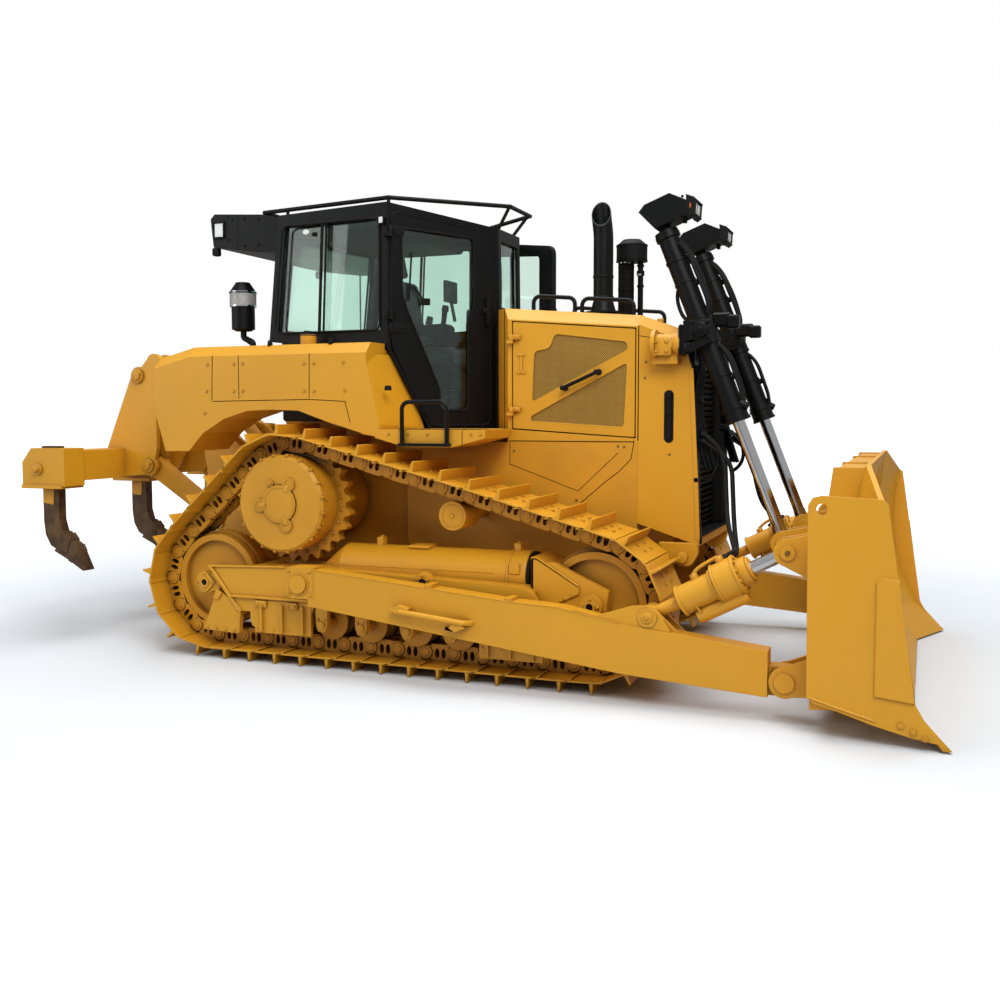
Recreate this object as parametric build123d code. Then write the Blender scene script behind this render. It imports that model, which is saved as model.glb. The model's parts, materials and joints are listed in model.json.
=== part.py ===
from build123d import *
import math
import os

# Track-type bulldozer with a semi-universal blade and a three-shank ripper, in millimetres.
# Design frame: x = 0 on the sprocket axis, +X towards the blade, +Y to the machine's left,
# z = 0 at the tips of the grousers. On export everything moves back by X_ORIGIN, so that the
# stored origin lies under the middle of the machine.

# ---------------------------------------------------------------- clearances
SEAT_GAP = 0.3            # running gap of wheels on links and of pieces that bear on each other
PIN_GAP = 1.0             # radial clearance of a pin in its bore
EAR_GAP = 6.0             # side clearance of an eye between two ears
PANEL_GAP = 8.0           # gap round a door in its frame
HINGE_OUT = 22.0          # hinge axis outside the door's face
KNUCKLE_R, HINGE_PIN_R, KNUCKLE = 16.0, 8.0, 38.0

# ---------------------------------------------------------------- undercarriage
TRACK_Y = 940.0           # centre of each track from the middle of the machine
LINK_PITCH = 203.0
PIN_PHASE = 0.2           # first pin on the upper run, in pitches past the sprocket
LINK_HEIGHT = 113.0       # from the rail surface to the shoe
PIN_TO_RAIL = 55.0        # pin axis above the rail surface
LINK_THICKNESS = 48.0
LINK_INNER_GAP = 100.0    # free width between the two rows of links
SHOE_WIDTH = 560.0
SHOE_THICKNESS = 12.0
GROUSER_HEIGHT = 65.0
GROUSER_BASE = 26.0
GROUSER_TIP = 12.0
GROUSER_SETBACK = 30.0    # grouser's rear foot from the shoe's rear edge

SPROCKET_Z = 1090.0
SPROCKET_PITCHES = 12.5   # links round the whole sprocket; it has a tooth each half link
TOOTH_THICKNESS = 75.0
TOOTH_ROOT, TOOTH_TIP = 31.0, 9.0           # below and above the pin circle
IDLER_R = 321.0
IDLER_WIDTH = 200.0
IDLER_FLANGE = 22.0       # the guide flange stands this much above the tread
REAR_IDLER_X = -625.0
FRONT_IDLER_X = 2155.0
CARRIER_X, CARRIER_Z, CARRIER_R = 1210.0, 1038.0, 94.0
ROLLER_R, ROLLER_FLANGE_R, ROLLER_WIDTH = 100.0, 122.0, 210.0
ROLLER_X = (-205.0, 50.0, 312.0, 609.0, 944.0, 1250.0, 1560.0)
AXLE_R, AXLE_HALF = 48.0, 200.0             # idler axles

DRUM_R, DRUM_COVER_R, DRUM_LENGTH = 322.0, 328.0, 222.0
DRUM_LUGS, LUG_HEIGHT = 20, 9.0             # bolt lugs round the drum's cover
HUB_R = 128.0

FRAME_OUT = 260.0         # outer face of the track frame from the track's centre
FRAME_SKIRT = 45.0
FRAME_TOP = 655.0
FRAME_DECK = 430.0        # underside of the deck, above the rollers
FRAME_BOTTOM = 345.0      # at the rear, in front of the idler
FRAME_FRONT = 1800.0
RECOIL_R, RECOIL_Z = 150.0, 668.0
RECOIL_REAR, RECOIL_FRONT = 240.0, 1740.0
ARM_TRUNNION_X, ARM_TRUNNION_Z, TRUNNION_R = 262.0, 592.0, 62.0

# ---------------------------------------------------------------- main case and power unit
CASE_HALF = 440.0         # half width of the transmission case
HULL_HALF = 555.0         # half width of the engine frame and the hood
CASE_REAR = -760.0
HULL_FRONT = 2290.0
CASE_TOP = 1575.0
CASE_BOTTOM = 430.0
HOOD_REAR, HOOD_FRONT = 1230.0, 2290.0
HOOD_REAR_HALF, HOOD_CORNER = 300.0, 1395.0 # rear face's half width and the end of the slanted corner
HOOD_TOP_REAR, HOOD_TOP_FRONT = 2411.0, 2322.0
HOOD_BOTTOM = 1500.0
HOOD_WALL, HOOD_END_WALL = 30.0, 12.0
HOOD_CHAMFER = 75.0
DOOR_REAR, DOOR_FRONT = 1425.0, 2276.0      # engine doors
DOOR_BOTTOM_REAR, DOOR_BOTTOM_FRONT = 1585.0, 1530.0
DOOR_TOP_REAR, DOOR_TOP_FRONT = 2310.0, 2238.0
HOOD_HINGE_X, HOOD_HINGE_Z = DOOR_REAR + 3.0, (1700.0, 2180.0)
ENGINE_HALF, ENGINE_REAR, ENGINE_FRONT = 330.0, 1380.0, 2200.0
ENGINE_TOP = 2180.0
NOSE_BOTTOM = 850.0
GRILLE_HALF, GRILLE_TOP, GRILLE_BOTTOM, GRILLE_X = 525.0, 2100.0, 900.0, 2500.0
GRILLE_BARS, GRILLE_BAR = 16, 22.0
STACK_X, STACK_Y, STACK_R, STACK_WALL = 1945.0, -170.0, 67.0, 7.0
STACK_BORE_Z, STACK_MOUTH_Z = 2700.0, 3039.0                # blind end of the bore, middle of the mouth
BOWL_X, BOWL_Y, BOWL_Z, BOWL_R = 2089.0, 40.0, 2737.0, 106.0
CANISTER_X, CANISTER_Y, CANISTER_Z, CANISTER_R = -645.0, -640.0, 2310.0, 84.0
CANISTER_FOOT = 80.0                                        # offset of the foot pipe towards the cab
VENT_X, VENT_LOW, VENT_HIGH, VENT_R = 2490.0, 1533.0, 1807.0, 31.0

# ---------------------------------------------------------------- cab
CAB_WALL = 50.0
CAB_HALF_REAR, CAB_HALF_MID, CAB_HALF_FRONT = 760.0, 800.0, 215.0
CAB_REAR, CAB_POST, CAB_FRONT = -345.0, 620.0, 1180.0
CAB_ROOF_REAR, CAB_ROOF_MID, CAB_ROOF_FRONT = 3085.0, 3112.0, 2985.0
CAB_SLOPE_FOOT = 826.0    # front end of the slope that rises to the posts
CAB_FLOOR = 1580.0
CAB_MARGIN = 8.0          # free space round the cab's skin
WELL_REAR, WELL_FRONT, WELL_HALF = 220.0, 815.0, 540.0      # foot well below the sill, between the tanks
CAB_SILL = 2205.0
WINDSCREEN_FOOT, WINDSCREEN_TOP, WINDSCREEN_HALF = 2440.0, 2900.0, 165.0
REAR_WINDOW_FOOT, REAR_WINDOW_TOP, REAR_WINDOW_HALF = CAB_SILL + 90.0, 2990.0, 600.0
GLASS = 8.0
CAB_DOOR_WALL = 40.0
HINGE_ALONG, CAB_HINGE_Z = 22.0, (2350.0, 2900.0)
DOOR_CORNER, PANE_CORNER = 60.0, 45.0       # rounding of the cab doors and of their panes
LEFT_DOOR_OPEN = 30.0     # the left cab door stands open by this angle

# ---------------------------------------------------------------- fenders and tanks
TANK_OUT, TANK_IN = 1075.0, 600.0
TANK_REAR, TANK_TOP = -1135.0, 2165.0
STEP_TOP, STEP_BOTTOM, STEP_FRONT = 1590.0, 1475.0, 1445.0

# ---------------------------------------------------------------- blade and its linkage
ARM_WIDTH = 130.0
ARM_Y = TRACK_Y + FRAME_OUT + 70.0 + ARM_WIDTH / 2          # push arms, outside the track frames
NOSE_Y, NOSE_WIDTH = ARM_Y - 35.0, 110.0    # the arm's front eye
BLADE_PIN_X, BLADE_PIN_Z, BLADE_PIN_R = 3327.0, 221.0, 45.0
ARM_EYE_R = 82.0
BLADE_HALF = NOSE_Y + 350.0
WING_START = NOSE_Y - 100.0
END_PLATE = 25.0
BLADE_TOP, WING_TOP = 1412.0, 1245.0
MOLDBOARD = 28.0
EDGE_Z = 215.0            # where the cutting edge starts below the moldboard
EDGE_TIP_Z = 10.0
CENTRE_TOP_X, CENTRE_MID_X = BLADE_PIN_X + 413.0, BLADE_PIN_X + 341.0
CENTRE_EDGE_X, CENTRE_TIP_X = BLADE_PIN_X + 473.0, BLADE_PIN_X + 658.0
WING_TOP_X, WING_MID_X = BLADE_PIN_X + 501.0, BLADE_PIN_X + 473.0
WING_EDGE_X, WING_TIP_X = BLADE_PIN_X + 646.0, BLADE_PIN_X + 845.0
EAR_THICKNESS = 32.0
TIE_HOLE_X, TIE_HOLE_Z, TIE_HOLE_R = BLADE_PIN_X + 200.0, 1200.0, 29.5

LIFT_Y = 580.0
LIFT_PIVOT_X, LIFT_PIVOT_Z = 2712.0, 2200.0
LIFT_EYE_X, LIFT_EYE_Z = BLADE_PIN_X - 106.0, 900.0
LIFT_BELOW, LIFT_ABOVE = 600.0, 640.0       # barrel below and above its trunnion
LIFT_BARREL_R, LIFT_ROD_R, LIFT_EYE_R, LIFT_EYE_WIDTH = 74.0, 38.0, 68.0, 84.0
LIFT_TRUNNION_R = 34.0
YOKE_BACK = LIFT_PIVOT_X - 105.0            # rear of the fork's ears
# rod's inner end and the barrel's blind end, measured from the trunnion
LIFT_ROD_START, LIFT_BORE_START = 215.0, -445.0

TILT_Y = NOSE_Y
TILT_PIN_X, TILT_PIN_Z = 2563.0, 530.0
TILT_EYE_X, TILT_EYE_Z = BLADE_PIN_X + 4.0, 935.0
TILT_BARREL_R, TILT_HEAD_R, TILT_ROD_R, TILT_EYE_R, TILT_EYE_WIDTH = 84.0, 112.0, 38.0, 70.0, 84.0
TILT_BARREL_START, TILT_HEAD_START, TILT_BARREL_END = 200.0, 430.0, 640.0
TILT_PIN_R = 32.0

# ---------------------------------------------------------------- ripper
LINK_LOW_X, LINK_LOW_Z = -1050.0, 850.0     # lower link's pin on the bracket
BEAM_PIN_X, BEAM_PIN_Z = -1715.0, 1285.0    # lower link's pin on the beam
TOWER_PIN_X, TOWER_PIN_Z = -1795.0, 1995.0  # upper link's pin on the tower
LOBE_X, LOBE_Z = -1645.0, 2100.0            # lift cylinder's eye, at the tower's second boss
RAM_PIN_X, RAM_PIN_Z = -950.0, 1350.0       # lift cylinder's foot on the bracket
TOWER_OUT_Y, TOWER_IN_Y, TOWER_PLATE = 400.0, 260.0, 40.0
RIPPER_PIN_R = 38.0
BEAM_HALF, BEAM_X, BEAM_DEPTH = 1105.0, -2100.0, 300.0
BEAM_TOP, BEAM_BOTTOM = 1425.0, 1165.0
SHANK_Y, SHANK_X, SHANK_WIDTH, SHANK_DEPTH = 1000.0, -2135.0, 75.0, 150.0
SHANK_TIP_Z = 525.0
RAM_Y, RAM_R, RAM_ROD_R = 180.0, 50.0, 28.0
RAM_FOOT_WIDTH, RAM_EYE_WIDTH = 114.0, 90.0
RAM_BARREL_START, RAM_BARREL_END, RAM_BORE_START, RAM_ROD_START = 45.0, 622.0, 130.0, 500.0
RAM_PIN_R = 30.0

# ---------------------------------------------------------------- whole machine
X_REAR = BEAM_X - BEAM_DEPTH / 2 - 90.0     # back of the ripper's outer pockets
X_ORIGIN = (X_REAR + WING_TIP_X) / 2

NODES = {}


# ================================================================ helpers
def slab(outline, y0, y1):
    """Plate with a side outline of (x, z) points, between two y values."""
    low, high = min(y0, y1), max(y0, y1)
    return extrude(Plane.XZ.offset(-high) * make_face(Polyline(*outline, close=True)), high - low)


def block(x0, x1, y0, y1, z0, z1):
    return Pos((x0 + x1) / 2, (y0 + y1) / 2, (z0 + z1) / 2) * Box(abs(x1 - x0), abs(y1 - y0), abs(z1 - z0))


def rod_y(x, z, radius, y0, y1):
    """Cylinder along Y between two y values."""
    return Pos(x, (y0 + y1) / 2, z) * Rot(90, 0, 0) * Cylinder(radius, abs(y1 - y0))


def rod_between(start, end, radius):
    a, b = Vector(*start), Vector(*end)
    return Plane(origin=a, z_dir=b - a) * Cylinder(
        radius, (b - a).length, align=(Align.CENTER, Align.CENTER, Align.MIN))


def cone_up(foot, radius, top_radius, height):
    """Upright cone on the point foot."""
    place = Plane(origin=foot, z_dir=(0, 0, 1))
    return place * Cone(radius, top_radius, height, align=(Align.CENTER, Align.CENTER, Align.MIN))


def pipe(points, radius, bend):
    """Round tube along straight runs joined by arcs."""
    path = FilletPolyline(*points, radius=bend)
    return sweep(Plane(origin=path @ 0, z_dir=path % 0) * Circle(radius), path=path)


def prism(outline, z0, z1):
    """Upright solid with a plan outline of (x, y) points, given for the right half only."""
    whole = outline + [(x, -y) for x, y in reversed(outline)]
    return Pos(0, 0, z0) * extrude(make_face(Polyline(*whole, close=True)), z1 - z0)


def lobed(x, z, count, phase, steps):
    """Outline of a wheel: for each of its teeth the (share of a pitch, radius) pairs in steps."""
    points = []
    for i in range(count):
        for share, radius in steps:
            turn = phase + 2 * math.pi * (i + share) / count
            points.append((x + radius * math.sin(turn), z + radius * math.cos(turn)))
    return points


def mirrored(shape):
    return mirror(shape, Plane.XZ)


def joined(pieces):
    """One shape from several that touch."""
    whole = pieces[0]
    for piece in pieces[1:]:
        whole = whole + piece
    return whole


def pair(name, build):
    """Right piece and its mirrored left one."""
    right = build()
    NODES[name + "_right"] = right
    NODES[name + "_left"] = mirrored(right)


def eye_plate(centre, radius, far, y0, y1):
    """Ear: a round end at centre, tapering to the two (x, z) points in far."""
    (cx, cz), (ax, az), (bx, bz) = centre, far[0], far[1]
    points = [(ax, az), (bx, bz)]
    round_end = rod_y(cx, cz, radius, y0, y1)
    legs = []
    for px, pz in points:
        length = math.hypot(px - cx, pz - cz)
        nx, nz = -(pz - cz) / length * radius, (px - cx) / length * radius
        legs.append(((cx + nx, cz + nz), (cx - nx, cz - nz)))
    middle = ((ax + bx) / 2 - cx, (az + bz) / 2 - cz)

    def outer(leg, other):
        side = [(p[0] - cx) * (other[0] - cx) + (p[1] - cz) * (other[1] - cz) for p in leg]
        return leg[0] if side[0] < side[1] else leg[1]

    first, second = outer(legs[0], points[1]), outer(legs[1], points[0])
    outline = [points[0], first, (cx + middle[0] * 0.01, cz + middle[1] * 0.01), second, points[1]]
    return round_end + slab(outline, y0, y1)


# ================================================================ track path
def path_circles():
    """Pin circles that the chain wraps, clockwise seen from the right: (x, z, radius)."""
    sprocket_r = LINK_PITCH / 2 / math.sin(math.pi / SPROCKET_PITCHES)
    half_link = math.asin(LINK_PITCH / 2 / (IDLER_R + 1.25 * PIN_TO_RAIL))
    wrap = (IDLER_R + PIN_TO_RAIL + SEAT_GAP) / math.cos(half_link)
    rail_z = GROUSER_HEIGHT + SHOE_THICKNESS + LINK_HEIGHT
    idler_z = rail_z - PIN_TO_RAIL + wrap
    return [(0.0, SPROCKET_Z, sprocket_r),
            (CARRIER_X, CARRIER_Z, CARRIER_R + PIN_TO_RAIL + 6.0),
            (FRONT_IDLER_X, idler_z, wrap),
            (REAR_IDLER_X, idler_z, wrap)]


CIRCLES = path_circles()
IDLER_Z = CIRCLES[2][1]
ROLLER_Z = GROUSER_HEIGHT + SHOE_THICKNESS + LINK_HEIGHT + ROLLER_R + SEAT_GAP
SPROCKET_R = CIRCLES[0][2]


def path_pieces():
    """Straight runs and arcs of the chain: (kind, length, data)."""
    count = len(CIRCLES)
    runs = []
    for i in range(count):
        (x1, z1, r1), (x2, z2, r2) = CIRCLES[i], CIRCLES[(i + 1) % count]
        distance = math.hypot(x2 - x1, z2 - z1)
        angle = math.atan2(z2 - z1, x2 - x1) + math.asin((r2 - r1) / distance)
        normal = (-math.sin(angle), math.cos(angle))
        start = (x1 + r1 * normal[0], z1 + r1 * normal[1])
        runs.append((angle, start, math.sqrt(distance ** 2 - (r2 - r1) ** 2)))
    pieces = []
    for i in range(count):
        angle, start, length = runs[i]
        pieces.append(("run", length, (start, angle)))
        next_angle = runs[(i + 1) % count][0]
        x, z, r = CIRCLES[(i + 1) % count]
        turn = (angle - next_angle) % (2 * math.pi)
        pieces.append(("arc", turn * r, ((x, z), r, angle)))
    return pieces


def path_point(pieces, distance):
    for kind, length, data in pieces:
        if distance <= length:
            break
        distance -= length
    if kind == "run":
        (x, z), angle = data
        return (x + distance * math.cos(angle), z + distance * math.sin(angle))
    (x, z), r, angle = data
    angle = angle - distance / r
    return (x - r * math.sin(angle), z + r * math.cos(angle))


def track_pins():
    """Pin centres, evenly spaced round the path."""
    pieces = path_pieces()
    total = sum(length for _, length, _ in pieces)
    count = round(total / LINK_PITCH)
    return [path_point(pieces, (i + PIN_PHASE) * total / count) for i in range(count)]


PINS = track_pins()


def link_axes(i):
    """Start pin, unit vector along link i and its outward normal."""
    (x1, z1), (x2, z2) = PINS[i], PINS[(i + 1) % len(PINS)]
    length = math.hypot(x2 - x1, z2 - z1)
    along = ((x2 - x1) / length, (z2 - z1) / length)
    return (x1, z1), along, (-along[1], along[0]), length


def mitre(i, offset):
    """Corner at pin i of the band that lies offset outside the pin line."""
    _, _, before, _ = link_axes(i - 1)
    (x, z), _, after, _ = link_axes(i)
    nx, nz = before[0] + after[0], before[1] + after[1]
    scale = 2 / (nx * nx + nz * nz)
    return (x + offset * nx * scale, z + offset * nz * scale)


def build_track():
    """Closed chain: two rows of links and flat shoes with one grouser each."""
    inner = LINK_HEIGHT - PIN_TO_RAIL
    outer = inner + SHOE_THICKNESS
    lug = (GROUSER_BASE - GROUSER_TIP) / 2
    outside, inside, rail = [], [], []
    for i in range(len(PINS)):
        (x, z), (ux, uz), (nx, nz), _ = link_axes(i)

        def at(along, out):
            return (x + ux * along + nx * out, z + uz * along + nz * out)

        outside += [mitre(i, outer), at(GROUSER_SETBACK, outer),
                    at(GROUSER_SETBACK + lug, outer + GROUSER_HEIGHT),
                    at(GROUSER_SETBACK + lug + GROUSER_TIP, outer + GROUSER_HEIGHT),
                    at(GROUSER_SETBACK + GROUSER_BASE, outer)]
        inside.append(mitre(i, inner))
        rail.append(mitre(i, -PIN_TO_RAIL))
    half = SHOE_WIDTH / 2
    shoes = slab(outside, -TRACK_Y - half, -TRACK_Y + half) - slab(inside, -TRACK_Y - half, -TRACK_Y + half)
    rows = []
    for side in (-1, 1):
        near = -TRACK_Y + side * LINK_INNER_GAP / 2
        far = near + side * LINK_THICKNESS
        rows.append(slab(inside, near, far) - slab(rail, near, far))
    return joined([shoes] + rows)


# ================================================================ undercarriage pieces
def build_sprocket():
    """Toothed rim, hub disc and the final drive's drum with its lugged, bolted cover."""
    last_x, last_z = PINS[-1]
    phase = math.atan2(last_x, last_z - SPROCKET_Z)
    root, flank, tip = SPROCKET_R - TOOTH_ROOT, SPROCKET_R - TOOTH_ROOT / 4, SPROCKET_R + TOOTH_TIP
    tooth = ((0.14, root), (0.3, flank), (0.4, tip), (0.6, tip), (0.7, flank), (0.86, root))
    rim = slab(lobed(0, SPROCKET_Z, round(2 * SPROCKET_PITCHES), phase, tooth),
               -TRACK_Y - TOOTH_THICKNESS / 2, -TRACK_Y + TOOTH_THICKNESS / 2)
    face = -TRACK_Y - TOOTH_THICKNESS / 2
    out = face - DRUM_LENGTH
    drum = rod_y(0, SPROCKET_Z, DRUM_R, face + 5, out + 130)
    cover = rod_y(0, SPROCKET_Z, DRUM_COVER_R, out + 135, out)
    cover = chamfer(cover.edges().filter_by(GeomType.CIRCLE).group_by(Axis.Y)[0], 18)
    lug = ((0.15, DRUM_COVER_R - 4), (0.3, DRUM_COVER_R + LUG_HEIGHT), (0.7, DRUM_COVER_R + LUG_HEIGHT),
           (0.85, DRUM_COVER_R - 4))
    ring = slab(lobed(0, SPROCKET_Z, DRUM_LUGS, 0, lug), out + 70, out + 36)
    hub = rod_y(0, SPROCKET_Z, HUB_R, out + 5, out - 14)
    bosses = []
    for degrees, radius in ((60, 46), (185, 46), (290, 46), (115, 24)):
        away = math.radians(degrees)
        x, z = HUB_R * 1.2 * math.cos(away), SPROCKET_Z + HUB_R * 1.2 * math.sin(away)
        bosses.append(rod_y(x, z, radius, out + 5, out - 12))
    inner = rod_y(0, SPROCKET_Z, DRUM_R * 0.86, -TRACK_Y + TOOTH_THICKNESS / 2 - 5, -HULL_HALF - SEAT_GAP)
    return joined([rim, drum, cover, ring, hub, inner] + bosses)


def build_wheels():
    """Both idlers, the bottom rollers and the carrier roller, each a separate solid."""
    solids = []
    half = IDLER_WIDTH / 2
    for x in (REAR_IDLER_X, FRONT_IDLER_X):
        wheel = rod_y(x, IDLER_Z, IDLER_R, -TRACK_Y - half, -TRACK_Y + half)
        groove = half * 0.45
        for side in (-1, 1):
            face = -TRACK_Y + side * half
            dish = rod_y(x, IDLER_Z, IDLER_R - 45, face, face - side * groove)
            wheel -= dish - rod_y(x, IDLER_Z, 95, face, face - side * groove)
        flange = rod_y(x, IDLER_Z, IDLER_R + IDLER_FLANGE, -TRACK_Y - 35, -TRACK_Y + 35)
        axle = rod_y(x, IDLER_Z, AXLE_R, -TRACK_Y - AXLE_HALF, -TRACK_Y + AXLE_HALF)
        solids.append(joined([wheel, flange, axle]))
    for x in ROLLER_X:
        body = rod_y(x, ROLLER_Z, ROLLER_R, -TRACK_Y - ROLLER_WIDTH / 2, -TRACK_Y + ROLLER_WIDTH / 2)
        flange = rod_y(x, ROLLER_Z, ROLLER_FLANGE_R, -TRACK_Y - 36, -TRACK_Y + 36)
        rims = [rod_y(x, ROLLER_Z, ROLLER_FLANGE_R, -TRACK_Y + s * (ROLLER_WIDTH / 2 - 3),
                      -TRACK_Y + s * (ROLLER_WIDTH / 2 + 18)) for s in (-1, 1)]
        shaft_end = FRAME_OUT - FRAME_SKIRT - SEAT_GAP
        shaft = rod_y(x, ROLLER_Z, 40, -TRACK_Y - shaft_end, -TRACK_Y + shaft_end)
        solids.append(joined([body, flange, shaft] + rims))
    carrier = rod_y(CARRIER_X, CARRIER_Z, CARRIER_R, -TRACK_Y - 130, -TRACK_Y + 110)
    stem = rod_y(CARRIER_X, CARRIER_Z, 50, -TRACK_Y + 105, -HULL_HALF - SEAT_GAP)
    solids.append(carrier + stem)
    return Compound(solids)


def build_frame():
    """Track frame: deck and skirts over the rollers, recoil housing, rear arms, front yoke, guards."""
    out, inn = -TRACK_Y - FRAME_OUT, -TRACK_Y + FRAME_OUT
    deck_rear = REAR_IDLER_X + IDLER_R + 40
    deck = slab([(deck_rear, FRAME_DECK), (deck_rear, FRAME_TOP), (RECOIL_REAR, FRAME_TOP + 15),
                 (FRAME_FRONT - 60, FRAME_TOP - 25), (FRAME_FRONT, FRAME_TOP - 60),
                 (FRAME_FRONT, FRAME_DECK)], out, inn)
    low = FRAME_DECK - 5
    skirt = [(REAR_IDLER_X + 33, FRAME_TOP - 9), (deck_rear, FRAME_TOP), (deck_rear, FRAME_TOP - 30),
             (FRAME_FRONT, FRAME_TOP - 60), (FRAME_FRONT + 40, FRAME_TOP - 130),
             (FRAME_FRONT + 40, low + 30), (FRAME_FRONT, low), (260, low), (230, FRAME_BOTTOM),
             (REAR_IDLER_X + 277, FRAME_BOTTOM)]
    skirts = [slab(skirt, y, y + s * FRAME_SKIRT) for y, s in ((out, 1), (inn, -1))]
    carriers = []
    for y, s in ((out + 20, 1), (inn - 20, -1)):
        hub = rod_y(REAR_IDLER_X, IDLER_Z, 80, y, y + s * 100)
        plate = block(REAR_IDLER_X, REAR_IDLER_X + 120, y, y + s * 100, IDLER_Z - 58, IDLER_Z + 58)
        carriers.append(hub + plate)
    guide = [(REAR_IDLER_X + 111, 482), (REAR_IDLER_X - 8, 200), (REAR_IDLER_X + 281, 190),
             (REAR_IDLER_X + 300, FRAME_BOTTOM + 20)]
    guides = [slab(guide, y, y + s * 30) for y, s in ((out + 12, 1), (inn - 12, -1))]
    tube = rod_between((RECOIL_REAR + 150, -TRACK_Y, RECOIL_Z), (RECOIL_FRONT, -TRACK_Y, RECOIL_Z),
                       RECOIL_R)
    cone_length = 151
    place = Plane(origin=(RECOIL_REAR + cone_length, -TRACK_Y, RECOIL_Z), z_dir=(-1, 0, 0))
    cone = place * Cone(RECOIL_R, 62, cone_length, align=(Align.CENTER, Align.CENTER, Align.MIN))
    yoke_rod = rod_between((RECOIL_FRONT - 10, -TRACK_Y, RECOIL_Z - 20),
                           (RECOIL_FRONT + 35, -TRACK_Y, RECOIL_Z - 20), 80)
    yoke_x = RECOIL_FRONT + 20
    yoke_head = block(yoke_x, yoke_x + 38, -TRACK_Y - 165, -TRACK_Y + 165, 540, 760)
    arm = [(yoke_x, 560), (yoke_x, 770), (yoke_x + 150, 776), (FRONT_IDLER_X + 102, 618),
           (FRONT_IDLER_X + 80, 470), (FRONT_IDLER_X - 72, 470)]
    yoke_arms = [slab(arm, -TRACK_Y + s * 125, -TRACK_Y + s * 170) for s in (-1, 1)]
    yoke_blocks = [rod_y(FRONT_IDLER_X, IDLER_Z, 72, -TRACK_Y + s * 165, -TRACK_Y + s * 214)
                   for s in (-1, 1)]
    trunnion = rod_y(ARM_TRUNNION_X, ARM_TRUNNION_Z, TRUNNION_R, out + 20, -ARM_Y - ARM_WIDTH / 2 - 18)
    boss = rod_y(1067, 620, 62, out - 20, out + 40)
    lug_z = RECOIL_Z + RECOIL_R
    lugs = [block(x - 22, x + 22, -TRACK_Y - 30, -TRACK_Y + 30, lug_z - 12, lug_z + 50) for x in (637, 1620)]
    hangers = []
    for x in ROLLER_X:
        hanger = [(x - 46, low + 10), (x - 42, ROLLER_Z - 5), (x - 26, ROLLER_Z - 46),
                  (x + 26, ROLLER_Z - 46), (x + 42, ROLLER_Z - 5), (x + 46, low + 10)]
        hangers += [slab(hanger, y, y + s * FRAME_SKIRT) for y, s in ((out, 1), (inn, -1))]
    roller_guard = []
    for x0, x1, z0 in ((-210, 234, 205), (1450, 1870, 165)):
        roller_guard.append(block(x0, x1, out - 4, out + 22, z0, low + 5))
        for x in (x0 + 60, (x0 + x1) / 2, x1 - 60):
            roller_guard.append(block(x - 9, x + 9, out - 26, out + 5, z0 + 10, low - 20))
    frame = joined([deck] + skirts + carriers + guides + [tube, cone, yoke_rod, yoke_head]
                   + yoke_arms + yoke_blocks + [trunnion, boss] + lugs + hangers + roller_guard)
    for x in (REAR_IDLER_X, FRONT_IDLER_X):
        frame -= rod_y(x, IDLER_Z, AXLE_R + SEAT_GAP, -TRACK_Y - AXLE_HALF - SEAT_GAP,
                       -TRACK_Y + AXLE_HALF + SEAT_GAP)
    return frame - rod_y(0, SPROCKET_Z, SPROCKET_R + 2 * TOOTH_ROOT, -TRACK_Y - TOOTH_THICKNESS,
                         -TRACK_Y + TOOTH_THICKNESS)


# ================================================================ main case, engine, hood
def build_case():
    """Transmission case, engine frame, bottom guard, pivot shaft and cab mounts."""
    side = [(CASE_REAR, 700), (CASE_REAR, 1330), (CASE_REAR + 180, CASE_TOP - 90),
            (HOOD_REAR, CASE_TOP - 90), (HOOD_REAR, CASE_BOTTOM), (CASE_REAR + 220, CASE_BOTTOM)]
    case = slab(side, -CASE_HALF, CASE_HALF)
    hull = [(640, 780), (640, CASE_TOP - 90), (HOOD_REAR - 4, CASE_TOP - 90),
            (HOOD_REAR, HOOD_BOTTOM - SEAT_GAP), (HULL_FRONT, HOOD_BOTTOM - SEAT_GAP), (HULL_FRONT, 700),
            (1900, 700)]
    frame = slab(hull, -HULL_HALF, HULL_HALF)
    belly = [(HOOD_REAR - 20, CASE_BOTTOM), (HOOD_REAR - 20, 800), (1450, 800), (1450, 690), (1800, 690),
             (1800, 800), (HULL_FRONT, 800), (HULL_FRONT, 620), (2050, 500), (1850, 470), (1820, 560),
             (1430, 560), (1400, CASE_BOTTOM)]
    guard = slab(belly, -CASE_HALF, CASE_HALF)
    guard -= block(1400, 1820, -CASE_HALF - 1, CASE_HALF + 1, 400, 690)
    cab_mount = block(-300, WELL_REAR - 30, -CASE_HALF, CASE_HALF, CASE_TOP - 100, 2120)
    seat_pan = block(WELL_REAR - 40, HOOD_REAR - 2, -CASE_HALF, CASE_HALF, CASE_TOP - 100,
                     CAB_FLOOR - SEAT_GAP)
    drives = [rod_y(0, SPROCKET_Z, DRUM_R * 0.86, s * (CASE_HALF - 5), s * HULL_HALF) for s in (-1, 1)]
    carriers = [block(CARRIER_X - 70, CARRIER_X + 70, s * (HULL_HALF - 10), s * HULL_HALF,
                      CARRIER_Z - 70, CARRIER_Z + 70) for s in (-1, 1)]
    pivots = [rod_y(330, 560, 105, s * (CASE_HALF - 5), s * (TRACK_Y - FRAME_OUT - SEAT_GAP))
              for s in (-1, 1)]
    return joined([case, frame, guard, cab_mount, seat_pan] + drives + carriers + pivots)


def build_equaliser():
    """Bar under the engine frame that joins the two track frames."""
    end = TRACK_Y - FRAME_OUT - SEAT_GAP
    side = [(1480, 500), (1480, 600), (1560, 660), (1680, 660), (1760, 600), (1760, 500)]
    bar = slab(side, -CASE_HALF, CASE_HALF)
    tips = [block(1520, 1720, s * (CASE_HALF - 5), s * end, 510, 600) for s in (-1, 1)]
    saddle = rod_y(1620, 655, 34, -90, 90)
    return joined([bar, saddle] + tips)


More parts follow.
